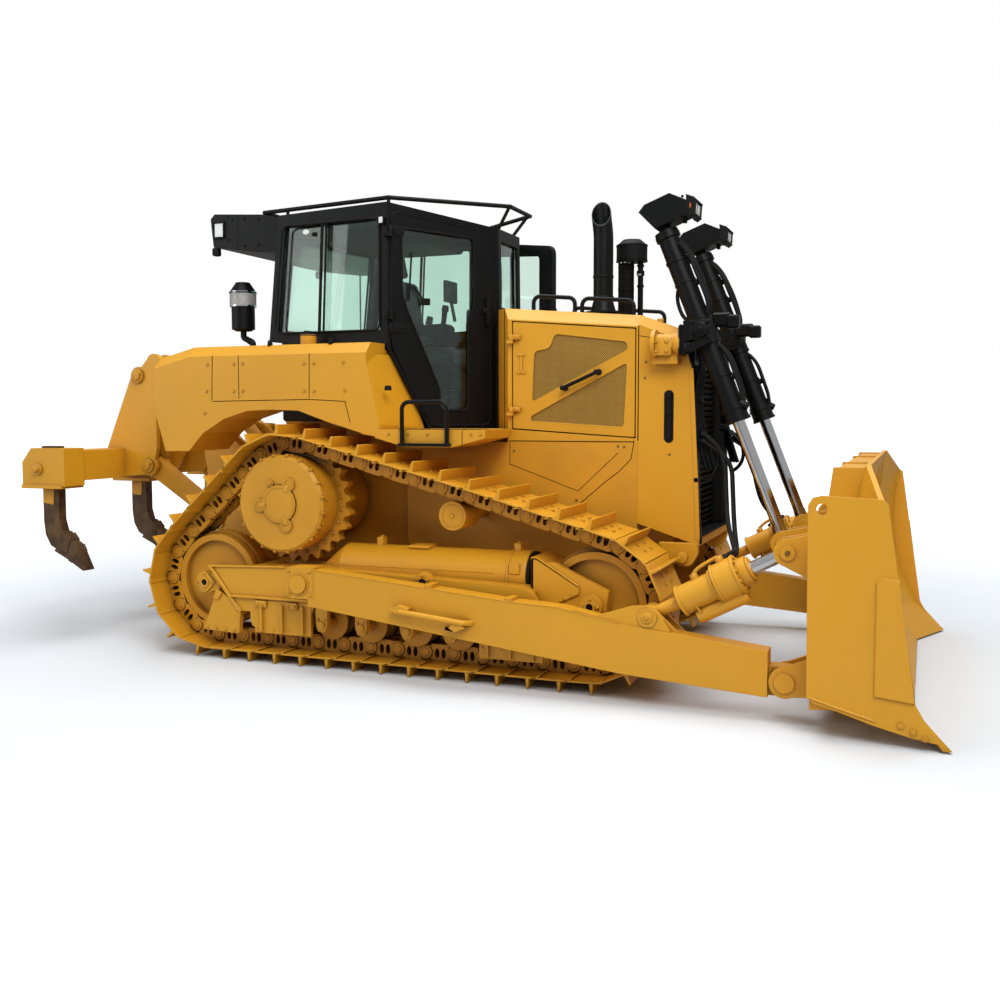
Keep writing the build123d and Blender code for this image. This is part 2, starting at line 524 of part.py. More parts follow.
def hood_top(x):
    """Height of the hood's top at x."""
    return HOOD_TOP_REAR + (HOOD_TOP_FRONT - HOOD_TOP_REAR) * (x - HOOD_REAR) / (HOOD_FRONT - HOOD_REAR)


def hood_plan(inset):
    """Right half of the hood's plan outline, drawn in by inset."""
    slant = math.atan2(HULL_HALF - HOOD_REAR_HALF, HOOD_CORNER - HOOD_REAR)
    rear_shift, side_shift = math.tan((math.pi / 2 - slant) / 2), math.tan(slant / 2)
    return [(HOOD_REAR + inset, -HOOD_REAR_HALF + inset * rear_shift),
            (HOOD_CORNER + inset * side_shift, -HULL_HALF + inset), (HOOD_FRONT, -HULL_HALF + inset)]


def door_outline(inset):
    """Engine door's side outline, drawn in by inset on every side."""
    return [(DOOR_REAR + inset, DOOR_BOTTOM_REAR + inset), (DOOR_REAR + inset, DOOR_TOP_REAR - inset),
            (DOOR_FRONT - inset, DOOR_TOP_FRONT - inset), (DOOR_FRONT - inset, DOOR_BOTTOM_FRONT + inset)]


def build_hood():
    """Engine hood: chamfered shell, open below, with an opening for the door in each side."""
    outer = slab([(HOOD_REAR, HOOD_BOTTOM), (HOOD_REAR, hood_top(HOOD_REAR)),
                  (HOOD_FRONT, hood_top(HOOD_FRONT)), (HOOD_FRONT, HOOD_BOTTOM)], -HULL_HALF, HULL_HALF)
    top_edges = outer.faces().sort_by(Axis.Z)[-1].edges()
    outer = chamfer(top_edges.filter_by(lambda e: abs(e.center().Y) > HULL_HALF - 1), HOOD_CHAMFER)
    outer &= prism(hood_plan(0), HOOD_BOTTOM - 1, HOOD_TOP_REAR + 1)
    wall = HOOD_WALL
    inside = HULL_HALF - wall
    rear, front = HOOD_REAR + wall, HOOD_FRONT - HOOD_END_WALL
    cavity = slab([(rear, HOOD_BOTTOM - 1), (rear, hood_top(HOOD_REAR) - HOOD_CHAMFER - wall),
                   (front, hood_top(HOOD_FRONT) - HOOD_CHAMFER - wall), (front, HOOD_BOTTOM - 1)],
                  -inside, inside)
    hood = outer - (cavity & prism(hood_plan(wall), HOOD_BOTTOM - 2, HOOD_TOP_REAR))
    opening = door_outline(0)
    for s in (-1, 1):
        hood -= slab(opening, s * (inside - 8), s * (HULL_HALF + 1))
    for z in HOOD_HINGE_Z:
        y = -HULL_HALF - HINGE_OUT
        bracket = block(DOOR_REAR - 25, HOOD_HINGE_X, y - KNUCKLE_R, -HULL_HALF + 5, z - 22, z - 2)
        bracket += Pos(HOOD_HINGE_X, y, z - 12) * Cylinder(KNUCKLE_R, 20)
        bracket += Pos(HOOD_HINGE_X, y, z + KNUCKLE / 2) * Cylinder(HINGE_PIN_R, KNUCKLE + 6)
        hood += bracket
        hood += mirrored(bracket)
    return hood


def build_engine_door():
    """Side door with two recessed mesh panels either side of a diagonal bar, and a pull handle."""
    y0, y1 = -HULL_HALF + HOOD_WALL, -HULL_HALF
    door = slab(door_outline(PANEL_GAP), y0, y1)
    low_r, top_r, x_r = DOOR_BOTTOM_REAR + 150, DOOR_TOP_REAR - 60, DOOR_REAR + 90
    x_f, top_f, low_f = DOOR_FRONT - 60, DOOR_TOP_FRONT - 60, DOOR_BOTTOM_FRONT + 150
    upper = [(x_r, low_r + 130), (x_r + 60, top_r), (x_f, top_f), (x_f, top_f - 70)]
    lower = [(x_r, low_r), (x_r, low_r + 30), (x_f, top_f - 170), (x_f, low_f)]
    for panel in (upper, lower):
        door -= slab(panel, y1 - 1, y1 + 14)
    centre = ((x_r + x_f) / 2, (low_r + top_f) / 2 + 60)
    handle = rod_between((centre[0] - 130, y1 - 45, centre[1] - 40),
                         (centre[0] + 130, y1 - 45, centre[1] + 30), 11)
    posts = [rod_y(centre[0] + dx, centre[1] - 5 + dx * 0.27, 9, y1 - 45, y1 + 16) for dx in (-110, 110)]
    whole = joined([door, handle] + posts)
    for z in HOOD_HINGE_Z:
        axis = Pos(HOOD_HINGE_X, y1 - HINGE_OUT, z + KNUCKLE / 2)
        tab = block(HOOD_HINGE_X, DOOR_REAR + 60, y1 - HINGE_OUT + 2, y1 + 5, z, z + KNUCKLE)
        tab -= block(HOOD_HINGE_X - 1, DOOR_REAR + PANEL_GAP + 1, y1 - 2, y1 + 6, z - 1, z + KNUCKLE + 1)
        whole += tab + axis * Cylinder(KNUCKLE_R, KNUCKLE)
        whole -= axis * Cylinder(HINGE_PIN_R + PIN_GAP, KNUCKLE + 20)
    return whole


def nose_outline():
    rear = HULL_FRONT + SEAT_GAP
    return [(rear, HOOD_BOTTOM - 520), (rear, hood_top(HOOD_FRONT)), (2540, 2226), (2585, 2140),
            (2635, 1970), (2672, 1270), (2695, NOSE_BOTTOM)]


def build_nose():
    """Radiator guard: chamfered housing with a deep front opening for the grille."""
    outer = slab(nose_outline(), -HULL_HALF, HULL_HALF)
    ridges = outer.edges().filter_by(lambda e: e.center().Z > 2200 and abs(e.center().Y) > HULL_HALF - 1
                                     and e.length > 150)
    outer = chamfer(ridges, HOOD_CHAMFER * 0.8)
    front = 2760
    nose = outer - block(GRILLE_X, front, -GRILLE_HALF, GRILLE_HALF, GRILLE_BOTTOM, GRILLE_TOP)
    for s in (-1, 1):
        y0, y1 = s * (HULL_HALF - 14), s * (HULL_HALF + 1)
        nose -= block(VENT_X - VENT_R, VENT_X + VENT_R, y0, y1, VENT_LOW, VENT_HIGH)
        nose -= rod_y(VENT_X, VENT_LOW, VENT_R, y0, y1) + rod_y(VENT_X, VENT_HIGH, VENT_R, y0, y1)
    return nose


def build_grille():
    """Radiator block and the horizontal bars in front of it."""
    half, low, high = GRILLE_HALF - SEAT_GAP, GRILLE_BOTTOM + SEAT_GAP, GRILLE_TOP - SEAT_GAP
    core = block(GRILLE_X + SEAT_GAP, GRILLE_X + 45, -half, half, low, high)
    pitch = (GRILLE_TOP - GRILLE_BOTTOM) / GRILLE_BARS
    bars = []
    for i in range(GRILLE_BARS):
        z = GRILLE_BOTTOM + (i + 0.5) * pitch
        bars.append(block(GRILLE_X + 40, GRILLE_X + 80, -half, half, z - GRILLE_BAR / 2, z + GRILLE_BAR / 2))
    posts = [block(GRILLE_X + 40, GRILLE_X + 90, y - 14, y + 14, low, high)
             for y in (-half / 2, 0, half / 2)]
    return joined([core] + bars + posts)


def below_hood():
    """Everything under the hood's top plane and the seat gap above it."""
    return slab([(HOOD_REAR, HOOD_BOTTOM), (HOOD_REAR, hood_top(HOOD_REAR) + SEAT_GAP),
                 (HOOD_FRONT, hood_top(HOOD_FRONT) + SEAT_GAP), (HOOD_FRONT, HOOD_BOTTOM)],
                -HULL_HALF, HULL_HALF)


def build_stack():
    """Exhaust stack on a cone, hollow at its slanted mouth, which faces the right side."""
    x, y, base = STACK_X, STACK_Y, hood_top(STACK_X)
    path = FilletPolyline((x, y, base - 60), (x, y, 2900), (x - 28, y - 20, 3190), radius=600)
    start = Plane(origin=path @ 0, z_dir=path % 0)
    outer = sweep(start * Circle(STACK_R), path=path)
    bore = sweep(start * Circle(STACK_R - STACK_WALL), path=path)
    bore &= block(x - 200, x + 200, y - 200, y + 200, STACK_BORE_Z, 3300)
    cut = Plane(origin=(x - 14, y - 10, STACK_MOUTH_Z), z_dir=(0.05, -0.83, 0.56))
    beyond_mouth = cut * Pos(0, 0, 200) * Box(600, 600, 400)
    flange = cone_up((x, y, base - 30), STACK_R + 39, STACK_R, 135)
    return (outer + flange) - bore - beyond_mouth - below_hood()


def build_precleaner():
    """Air pre-cleaner bowl on its banded intake tube, with the thin outlet tube beside it."""
    x, y, base = BOWL_X, BOWL_Y, hood_top(BOWL_X)
    tube = rod_between((x - 40, y, base - 30), (x - 40, y, BOWL_Z + 8), 50)
    bands = [rod_between((x - 40, y, z), (x - 40, y, z + 22), 56) for z in (2400, 2540, 2690)]
    thin = rod_between((x + 62, y, base - 30), (x + 62, y, BOWL_Z + 8), 19)
    clamp = rod_between((x + 62, y, 2640), (x + 62, y, 2672), 27)
    bowl = rod_between((x, y, BOWL_Z), (x, y, BOWL_Z + 113), BOWL_R)
    bowl = chamfer(bowl.edges().filter_by(GeomType.CIRCLE).group_by(Axis.Z)[0], 12)
    dome = cone_up((x, y, BOWL_Z + 112), BOWL_R, 62, 38)
    return joined([tube, bowl, dome, thin, clamp] + bands) - below_hood()


def build_handrails():
    """Grab rails on the hood."""
    rails = []
    for s in (-1, 1):
        y = s * (HULL_HALF - 110)
        for x0, x1 in ((1540, 1830), (1880, 2230)):
            z0, z1 = hood_top(x0), hood_top(x1)
            rail = pipe([(x0, y, z0 - 30), (x0, y, z0 + 95), (x1, y, z1 + 95), (x1, y, z1 - 30)], 14, 45)
            rails.append(rail - below_hood())
    return Compound(rails)


# ================================================================ cab
def cab_side(inset):
    """Side outline of the cab, drawn in by inset."""
    i = inset
    return [(CAB_REAR + i, CAB_SILL + i), (CAB_REAR + 90 + i, CAB_ROOF_REAR - i),
            (CAB_POST, CAB_ROOF_MID - i), (CAB_FRONT + 15 - i, CAB_ROOF_FRONT - i),
            (HOOD_REAR - 18 - i, CAB_FLOOR + i),
            (CAB_SLOPE_FOOT + i * 0.6, CAB_FLOOR + i), (CAB_POST + i * 0.3, 2130 + i)]


def cab_plan(inset):
    """Right half of the cab's plan outline, drawn in by inset."""
    slant = math.atan2(CAB_HALF_MID - CAB_HALF_FRONT, CAB_FRONT - CAB_POST)
    shift = inset * math.tan(slant / 2)
    return [(CAB_REAR - 20 + inset, -CAB_HALF_REAR + inset), (CAB_POST - shift, -CAB_HALF_MID + inset),
            (CAB_FRONT - shift, -CAB_HALF_FRONT + inset), (CAB_FRONT + 60 - inset, -CAB_HALF_FRONT + inset)]


def cab_solid(inset):
    """Solid inside the cab's skin, drawn in by inset, with the foot well below it."""
    wide = slab(cab_side(inset), -1000, 1000)
    plan = prism(cab_plan(inset), CAB_FLOOR - 10, CAB_ROOF_MID + 20)
    well = block(WELL_REAR + inset, WELL_FRONT + abs(inset), -WELL_HALF + inset, WELL_HALF - inset,
                 CAB_FLOOR + inset, CAB_SILL + 60)
    return (wide & plan) + well


def door_plane():
    """Plane of the right cab door: x runs forward along the door, y up, z outwards."""
    a = Vector(CAB_POST, -CAB_HALF_MID, 0)
    b = Vector(CAB_FRONT, -CAB_HALF_FRONT, 0)
    along = (b - a).normalized()
    return Plane(origin=a, x_dir=along, z_dir=along.cross(Vector(0, 0, 1))), (b - a).length


def door_shape(inset):
    """Cab door outline in its plane as (distance forward of the post, z)."""
    _, length = door_plane()
    i = inset
    return [(22 + i, 2140 + i * 0.4), (22 + i, 3060 - i), (length - 41 - i, 2968 - i),
            (length - 41 - i, CAB_FLOOR + 22 + i), (311 + i * 0.6, CAB_FLOOR + 22 + i)]


def door_glass_shape(inset):
    """Pane outline: wide above, and a narrow part that runs down beside the door's free edge."""
    i = inset
    return [(141 + i, 2390 + i), (103 + i, 2500), (103 + i, 2945 - i), (638 - i, 2905 - i), (638 - i, 2440),
            (590 - i, 2320), (590 - i, 1715 + i), (374 + i, 1715 + i), (374 + i, 1860)]


def on_door(outline, corner, depth_in, depth_out):
    """Plate with rounded corners that lies on the cab door's plane."""
    plane, _ = door_plane()
    face = make_face(Polyline(*outline, close=True))
    face = fillet(face.vertices(), corner)
    return extrude(plane.offset(-depth_in) * face, depth_in + depth_out)


SIDE_WINDOW = [(CAB_REAR + 75, CAB_SILL + 55), (CAB_REAR + 150, 3000), (CAB_POST - 55, 3010),
               (CAB_POST - 60, CAB_SILL + 55)]


def build_cab():
    """Hollow cab shell with its window and door openings."""
    shell = cab_solid(0) - cab_solid(CAB_WALL)
    for s in (-1, 1):
        shell -= slab(SIDE_WINDOW, s * 690, s * 820)
    hole = on_door(door_shape(0), DOOR_CORNER + PANEL_GAP, CAB_WALL + 25, 40)
    shell = shell - hole - mirrored(hole)
    shell -= block(CAB_REAR - 30, CAB_REAR + 200, -REAR_WINDOW_HALF, REAR_WINDOW_HALF, REAR_WINDOW_FOOT,
                   REAR_WINDOW_TOP)
    shell -= block(CAB_FRONT - 60, CAB_FRONT + 60, -WINDSCREEN_HALF, WINDSCREEN_HALF, WINDSCREEN_FOOT,
                   WINDSCREEN_TOP)
    plane, _ = door_plane()
    for z in CAB_HINGE_Z:
        bracket = plane * Pos(0, z - 12, HINGE_OUT / 2 + 5) * Box(2 * (HINGE_ALONG - 1), 20, HINGE_OUT + 20)
        bracket += Pos(*hinge_axis(z - 12)) * Cylinder(KNUCKLE_R, 20)
        bracket += Pos(*hinge_axis(z + KNUCKLE / 2)) * Cylinder(HINGE_PIN_R, KNUCKLE + 6)
        shell += bracket
        shell += mirrored(bracket)
    return shell


def hinge_axis(z):
    """Point on the right cab door's hinge axis."""
    plane, _ = door_plane()
    point = plane.from_local_coords(Vector(HINGE_ALONG, z, HINGE_OUT))
    return (point.X, point.Y, point.Z)


def build_glass():
    """Side, rear and front panes, each set in its opening."""
    panes = []
    gap = SEAT_GAP
    for s in (-1, 1):
        pane = [(x + (gap if i in (0, 1) else -gap), z + (gap if i in (0, 3) else -gap))
                for i, (x, z) in enumerate(SIDE_WINDOW)]
        window = slab(pane, -1000, 1000) & (cab_band(CAB_WALL * 0.5, GLASS))
        panes.append(window & block(-2000, 2000, 0, s * 1000, 0, 4000))
    skin = cab_band(CAB_WALL * 0.4, GLASS)
    half = REAR_WINDOW_HALF - gap
    rear = block(CAB_REAR - 30, CAB_REAR + 200, -half, half, REAR_WINDOW_FOOT + gap, REAR_WINDOW_TOP - gap)
    half = WINDSCREEN_HALF - gap
    front = block(CAB_FRONT - 60, CAB_FRONT + 60, -half, half, WINDSCREEN_FOOT + gap, WINDSCREEN_TOP - gap)
    return Compound(panes + [rear & skin, front & skin])


def cab_band(depth, thickness):
    """Thin layer that follows the cab's skin at a depth below it."""
    return cab_solid(depth) - cab_solid(depth + thickness)


def build_cab_door():
    """Door frame; the pane is a piece of its own."""
    frame = on_door(door_shape(PANEL_GAP), DOOR_CORNER, CAB_DOOR_WALL, 4)
    frame -= on_door(door_glass_shape(0), PANE_CORNER, CAB_DOOR_WALL + 10, 20)
    plane, length = door_plane()
    handle = plane * Pos(length - 75, 2400, 18) * Box(34, 190, 30)
    door = frame + handle
    for z in CAB_HINGE_Z:
        tab = plane * Pos(HINGE_ALONG + 20, z + KNUCKLE / 2, 11) * Box(40, KNUCKLE, 10)
        tab += plane * Pos(HINGE_ALONG + 24, z + KNUCKLE / 2, 5) * Box(30, KNUCKLE, 6)
        door += tab + Pos(*hinge_axis(z + KNUCKLE / 2)) * Cylinder(KNUCKLE_R, KNUCKLE)
        door -= Pos(*hinge_axis(z + KNUCKLE / 2)) * Cylinder(HINGE_PIN_R + PIN_GAP, KNUCKLE + 20)
    return door


def build_door_glass():
    """Pane of the cab door."""
    return on_door(door_glass_shape(SEAT_GAP), PANE_CORNER - SEAT_GAP, 22, -22 + GLASS + 8)


def open_left_doors():
    """Turn the left cab door and its pane about the hinge: it stands open."""
    x, y, _ = hinge_axis(0)
    turned = Pos(x, -y, 0) * Rot(0, 0, LEFT_DOOR_OPEN) * Pos(-x, y, 0)
    for name in ("cab_door_left", "door_glass_left"):
        NODES[name] = turned * NODES[name]


def build_seat():
    """Operator's seat on its pedestal, with arm consoles."""
    cushion = fillet(block(340, 860, -260, 260, 2040, 2170).edges().filter_by(Axis.Y), 45)
    back = slab([(340, 2160), (260, 2700), (370, 2720), (470, 2160)], -240, 240)
    head = slab([(250, 2690), (225, 2890), (315, 2905), (350, 2700)], -140, 140)
    base = block(400, 780, -190, 190, CAB_FLOOR + CAB_WALL + SEAT_GAP, 2045)
    arms = [block(330, 900, s * 275, s * 400, 2200, 2330) for s in (-1, 1)]
    arm_posts = [block(480, 600, s * 255, s * 300, 2100, 2205) for s in (-1, 1)]
    return joined([cushion, back, head, base] + arms + arm_posts)


def build_roof_unit():
    """Air-conditioning box across the rear of the cab roof."""
    def wall(z):
        return CAB_REAR - SEAT_GAP + 90 * (z - CAB_SILL) / (CAB_ROOF_REAR - CAB_SILL)

    side = [(-828, 2903), (-850, 3105), (-815, 3139), (-396, 3109), (wall(3075), 3075),
            (wall(2843), 2843), (-402, 2843)]
    return slab(side, -CAB_HALF_REAR + 30, CAB_HALF_REAR - 30)


def build_canister():
    """Filter canister behind the cab on a bent foot pipe that stands on the right tank."""
    x, y, z = CANISTER_X, CANISTER_Y, CANISTER_Z
    bowl = rod_between((x, y, z), (x, y, z + 170), CANISTER_R)
    band = rod_between((x, y, z + 168), (x, y, z + 265), CANISTER_R + 10)
    lid = cone_up((x, y, z + 264), CANISTER_R + 18, 50, 76)
    bend = x + CANISTER_FOOT
    foot = pipe([(x, y, z + 10), (x, y, z - 60), (bend, y, z - 95), (bend, y, TANK_TOP + SEAT_GAP)], 22, 25)
    return joined([bowl, band, lid, foot])


def build_roof_rail():
    """Rail round the roof on short posts, closing in to the narrow front."""
    half = CAB_HALF_MID - 30
    front = CAB_FRONT + 100
    right = [(-400, -half + 60, 3124), (CAB_POST, -half, 3144), (front, -205, 3132)]
    ring = right + [(x, -y, z) for x, y, z in reversed(right)]
    rails = [rod_between(ring[i], ring[(i + 1) % len(ring)], 15) for i in range(len(ring))]
    knots = [Pos(*p) * Sphere(16) for p in ring]
    posts = []
    for s in (-1, 1):
        post_foot = (CAB_POST, s * half, CAB_ROOF_MID + SEAT_GAP)
        posts.append(rod_between(post_foot, (CAB_POST, s * half, 3144), 12))
        y = s * (half - 48)
        posts.append(rod_between((-200, y, 3087.1 + SEAT_GAP), (-200, y, 3126), 12))
        foot = (CAB_FRONT - 10, s * 150, CAB_ROOF_FRONT + 6)
        posts.append(rod_between((front - 12, s * 190, 3130), foot, 12))
    return joined(rails + knots + posts) - cab_solid(-SEAT_GAP)


# ================================================================ fenders
def build_fender():
    """Rear tank with the arch over the track, the sloping front panel and the step."""
    arch = [(-1025, 1430), (-825, 1432), (-700, 1560), (-520, 1660), (-330, 1715), (-145, 1722), (80, 1715)]
    tank = slab([(TANK_REAR + 30, TANK_TOP - 75), (TANK_REAR + 330, TANK_TOP), (CAB_POST - 20, TANK_TOP),
                 (CAB_POST - 20, 1555), (300, 1640)] + list(reversed(arch)) + [(TANK_REAR, 1790)],
                -TANK_OUT, -TANK_IN)
    outer_edges = tank.faces().sort_by(Axis.Y)[0].edges()
    tank = chamfer(outer_edges.filter_by(lambda e: e.center().Z > TANK_TOP - 45 and e.length > 200), 70)
    outer = [(CAB_POST - 60, 2095), (CAB_POST - 35, 2085), (CAB_POST + 70, 1625), (CAB_POST + 70, 1540),
             (CAB_POST - 60, 1560)]
    inner = [(CAB_POST - 60, 2095), (CAB_POST + 15, 2095), (795, STEP_TOP), (795, 1500),
             (CAB_POST - 60, 1560)]
    panel = loft([Plane.XZ.offset(TANK_OUT) * make_face(Polyline(*outer, close=True)),
                  Plane.XZ.offset(TANK_IN) * make_face(Polyline(*inner, close=True))], ruled=True)
    step = slab([(CAB_POST + 40, 1535), (CAB_POST + 40, STEP_TOP), (STEP_FRONT, STEP_TOP),
                 (STEP_FRONT - 10, STEP_BOTTOM + 60), (1200, STEP_BOTTOM), (885, STEP_BOTTOM)],
                -TANK_OUT, -640)
    sill = block(780, STEP_FRONT - 40, -650, -CASE_HALF - SEAT_GAP, STEP_BOTTOM + 60, STEP_TOP)
    sill -= prism(hood_plan(-SEAT_GAP), HOOD_BOTTOM, HOOD_TOP_FRONT)
    cap = rod_between((60, -900, TANK_TOP - 5), (60, -900, TANK_TOP + 70), 55)
    return joined([tank, panel, step, sill, cap]) - cab_solid(-CAB_MARGIN)


def build_grab_loop():
    """Handrail loop on its small tray at the outer edge of the step."""
    y = -TANK_OUT - 18
    x0, x1, z = 867, 1184, 1768
    loop = pipe([(x0, y, 1495), (x0, y, z), (x1, y, z), (x1, y, 1495)], 14, 50)
    tray = block(x0 - 22, x1 + 22, -TANK_OUT - 40, -TANK_OUT - SEAT_GAP, 1484, 1502)
    return loop + tray


# ================================================================ blade, arms, cylinders
def build_arm():
    """Push arm: box beam with the trunnion cap at its rear and an eye at its front."""
    y0, y1 = -ARM_Y - ARM_WIDTH / 2, -ARM_Y + ARM_WIDTH / 2
    beam = slab([(330, 692), (1732, 572), (2044, 556), (2407, 485), (BLADE_PIN_X - 90, 392),
                 (BLADE_PIN_X - 90, 135), (2409, 193), (330, 450)], y0, y1)
    cap = block(ARM_TRUNNION_X - 98, ARM_TRUNNION_X + 110, y0, y1, ARM_TRUNNION_Z - 96,
                ARM_TRUNNION_Z + 110)
    cap = fillet(cap.edges().filter_by(Axis.Y).sort_by(Axis.X)[:2], 45)
    cap -= rod_y(ARM_TRUNNION_X, ARM_TRUNNION_Z, TRUNNION_R + PIN_GAP, y0 - 1, y1 + 1)
    n0, n1 = -NOSE_Y - NOSE_WIDTH / 2, -NOSE_Y + NOSE_WIDTH / 2
    nose = block(BLADE_PIN_X - 120, BLADE_PIN_X, n0, n1, BLADE_PIN_Z - ARM_EYE_R, BLADE_PIN_Z + ARM_EYE_R)
    nose += rod_y(BLADE_PIN_X, BLADE_PIN_Z, ARM_EYE_R, n0, n1)
    nose -= rod_y(BLADE_PIN_X, BLADE_PIN_Z, BLADE_PIN_R + PIN_GAP, n0 - 1, n1 + 1)
    ears = []
    half = TILT_EYE_WIDTH / 2 + EAR_GAP
    for s in (-1, 1):
        e0 = -TILT_Y + s * half
        ears.append(eye_plate((TILT_PIN_X, TILT_PIN_Z), 62, ((2420, 470), (2760, 430)), e0, e0 + s * 20))
    bridge = block(2440, 2740, -TILT_Y - half - 20, -TILT_Y + half + 20, 420, 450)
    pin = rod_y(TILT_PIN_X, TILT_PIN_Z, TILT_PIN_R, -TILT_Y - half - 30, -TILT_Y + half + 30)
    grip = [(980, y0 + 5, 478), (1020, y0 - 55, 470), (1440, y0 - 55, 428), (1480, y0 + 5, 422)]
    step = pipe(grip, 18, 30)
    pads = [block(x, x + 45, y0 + 5, y1 - 5, 545, 545 + h) for x, h in ((1161, 95), (1694, 45))]
    return joined([beam, cap, nose, bridge, pin, step] + ears + pads)


def skin_section(y, top_x, top_z, mid_x, edge_x):
    """Moldboard section at y: a concave front arc and a parallel back arc."""
    mid_z = (top_z + EDGE_Z) / 2
    t = MOLDBOARD
    front = ThreePointArc((top_x, y, top_z), (mid_x, y, mid_z), (edge_x, y, EDGE_Z))
    back = ThreePointArc((edge_x - t, y, EDGE_Z), (mid_x - t, y, mid_z), (top_x - t, y, top_z))
    wire = Wire([front, Line((edge_x, y, EDGE_Z), (edge_x - t, y, EDGE_Z)), back,
                 Line((top_x - t, y, top_z), (top_x, y, top_z))])
    return Face(wire)


def edge_section(y, edge_x, tip_x):
    """Cutting edge's section at y."""
    points = [(edge_x - 34, y, EDGE_Z + 30), (edge_x + 2, y, EDGE_Z + 8), (tip_x, y, EDGE_TIP_Z),
              (tip_x - 45, y, EDGE_TIP_Z)]
    return Face(Wire(Polyline(*points, close=True)))


def from_pin(*points):
    """Side outline of (x, z) points with x counted from the blade's pin."""
    return [(BLADE_PIN_X + x, z) for x, z in points]


def build_blade():
    """Semi-universal blade: concave moldboard, angled wings, end plates, edge, ribs and brackets."""
    centre = (CENTRE_TOP_X, BLADE_TOP, CENTRE_MID_X, CENTRE_EDGE_X)
    wing = (WING_TOP_X, WING_TOP, WING_MID_X, WING_EDGE_X)
    end_y = BLADE_HALF - END_PLATE
    pieces = [loft([skin_section(-WING_START, *centre), skin_section(WING_START, *centre)], ruled=True),
              loft([edge_section(-WING_START, CENTRE_EDGE_X, CENTRE_TIP_X),
                    edge_section(WING_START, CENTRE_EDGE_X, CENTRE_TIP_X)], ruled=True)]
    for s in (-1, 1):
        pieces.append(loft([skin_section(s * WING_START, *centre), skin_section(s * (end_y + 5), *wing)],
                           ruled=True))
        pieces.append(loft([edge_section(s * WING_START, CENTRE_EDGE_X, CENTRE_TIP_X),
                            edge_section(s * BLADE_HALF, WING_EDGE_X, WING_TIP_X)], ruled=True))
        plate = from_pin((131, 1221), (153, 1258), (199, 1270), (488, 1258), (518, 1235), (668, 224),
                         (773, 42), (653, 60), (473, 105), (293, 160), (173, 190), (139, 225))
        end = slab(plate, s * end_y, s * BLADE_HALF)
        end -= rod_y(TIE_HOLE_X, TIE_HOLE_Z, TIE_HOLE_R, s * (end_y - 5), s * (BLADE_HALF + 5))
        wear = slab(from_pin((473, 840), (503, 860), (578, 850), (663, 240), (473, 260)), s * (end_y + 5),
                    s * (BLADE_HALF + 14))
        pieces += [end, wear]
        for y in (WING_START, 500.0):
            rib = [(BLADE_PIN_X + 218, 1395), (CENTRE_TOP_X - 10, 1395), (CENTRE_MID_X - 5, 830),
                   (CENTRE_EDGE_X - 60, 235), (BLADE_PIN_X + 153, 235), (BLADE_PIN_X + 153, 900)]
            pieces.append(slab(rib, s * (y - 12), s * (y + 12)))
        pieces += blade_brackets(s)
    low = slab(from_pin((153, 150), (153, 420), (373, 420), (458, 235), (443, 170)), -end_y - 2, end_y + 2)
    top = slab(from_pin((233, 1340), (233, 1385), (403, 1385), (393, 1340)), -WING_START, WING_START)
    middle = slab(from_pin((173, 860), (173, 900), (331, 900), (331, 860)), -end_y - 2, end_y + 2)
    pieces += [low, top, middle]
    return joined(pieces)


def blade_brackets(s):
    """Ears on the back of the blade for one side's arm, tilt rod and lift rod."""
    ears = []
    half = NOSE_WIDTH / 2 + EAR_GAP
    for t in (-1, 1):
        e0 = s * NOSE_Y + t * half
        far = from_pin((173, 380), (173, 155))
        ears.append(eye_plate((BLADE_PIN_X, BLADE_PIN_Z), ARM_EYE_R + 4, far, e0, e0 + t * EAR_THICKNESS))
        ears.append(rod_y(BLADE_PIN_X, BLADE_PIN_Z, BLADE_PIN_R + 10, e0 + t * (EAR_THICKNESS - 2),
                          e0 + t * (EAR_THICKNESS + 14)))
    ears.append(rod_y(BLADE_PIN_X, BLADE_PIN_Z, BLADE_PIN_R, s * NOSE_Y - half - 5, s * NOSE_Y + half + 5))
    tilt_foot, lift_foot = from_pin((343, 1090), (313, 700)), from_pin((323, 1060), (313, 640))
    for y, width, x, z, far in ((TILT_Y, TILT_EYE_WIDTH, TILT_EYE_X, TILT_EYE_Z, tilt_foot),
                                (LIFT_Y, LIFT_EYE_WIDTH, LIFT_EYE_X, LIFT_EYE_Z, lift_foot)):
        for t in (-1, 1):
            e0 = s * y + t * (width / 2 + EAR_GAP)
            ears.append(eye_plate((x, z), 76, far, e0, e0 + t * EAR_THICKNESS))
            ears.append(rod_y(x, z, 42, e0 + t * (EAR_THICKNESS - 2), e0 + t * (EAR_THICKNESS + 12)))
    return ears


def along(start, end, distance):
    a, b = Vector(*start), Vector(*end)
    return a + (b - a).normalized() * distance


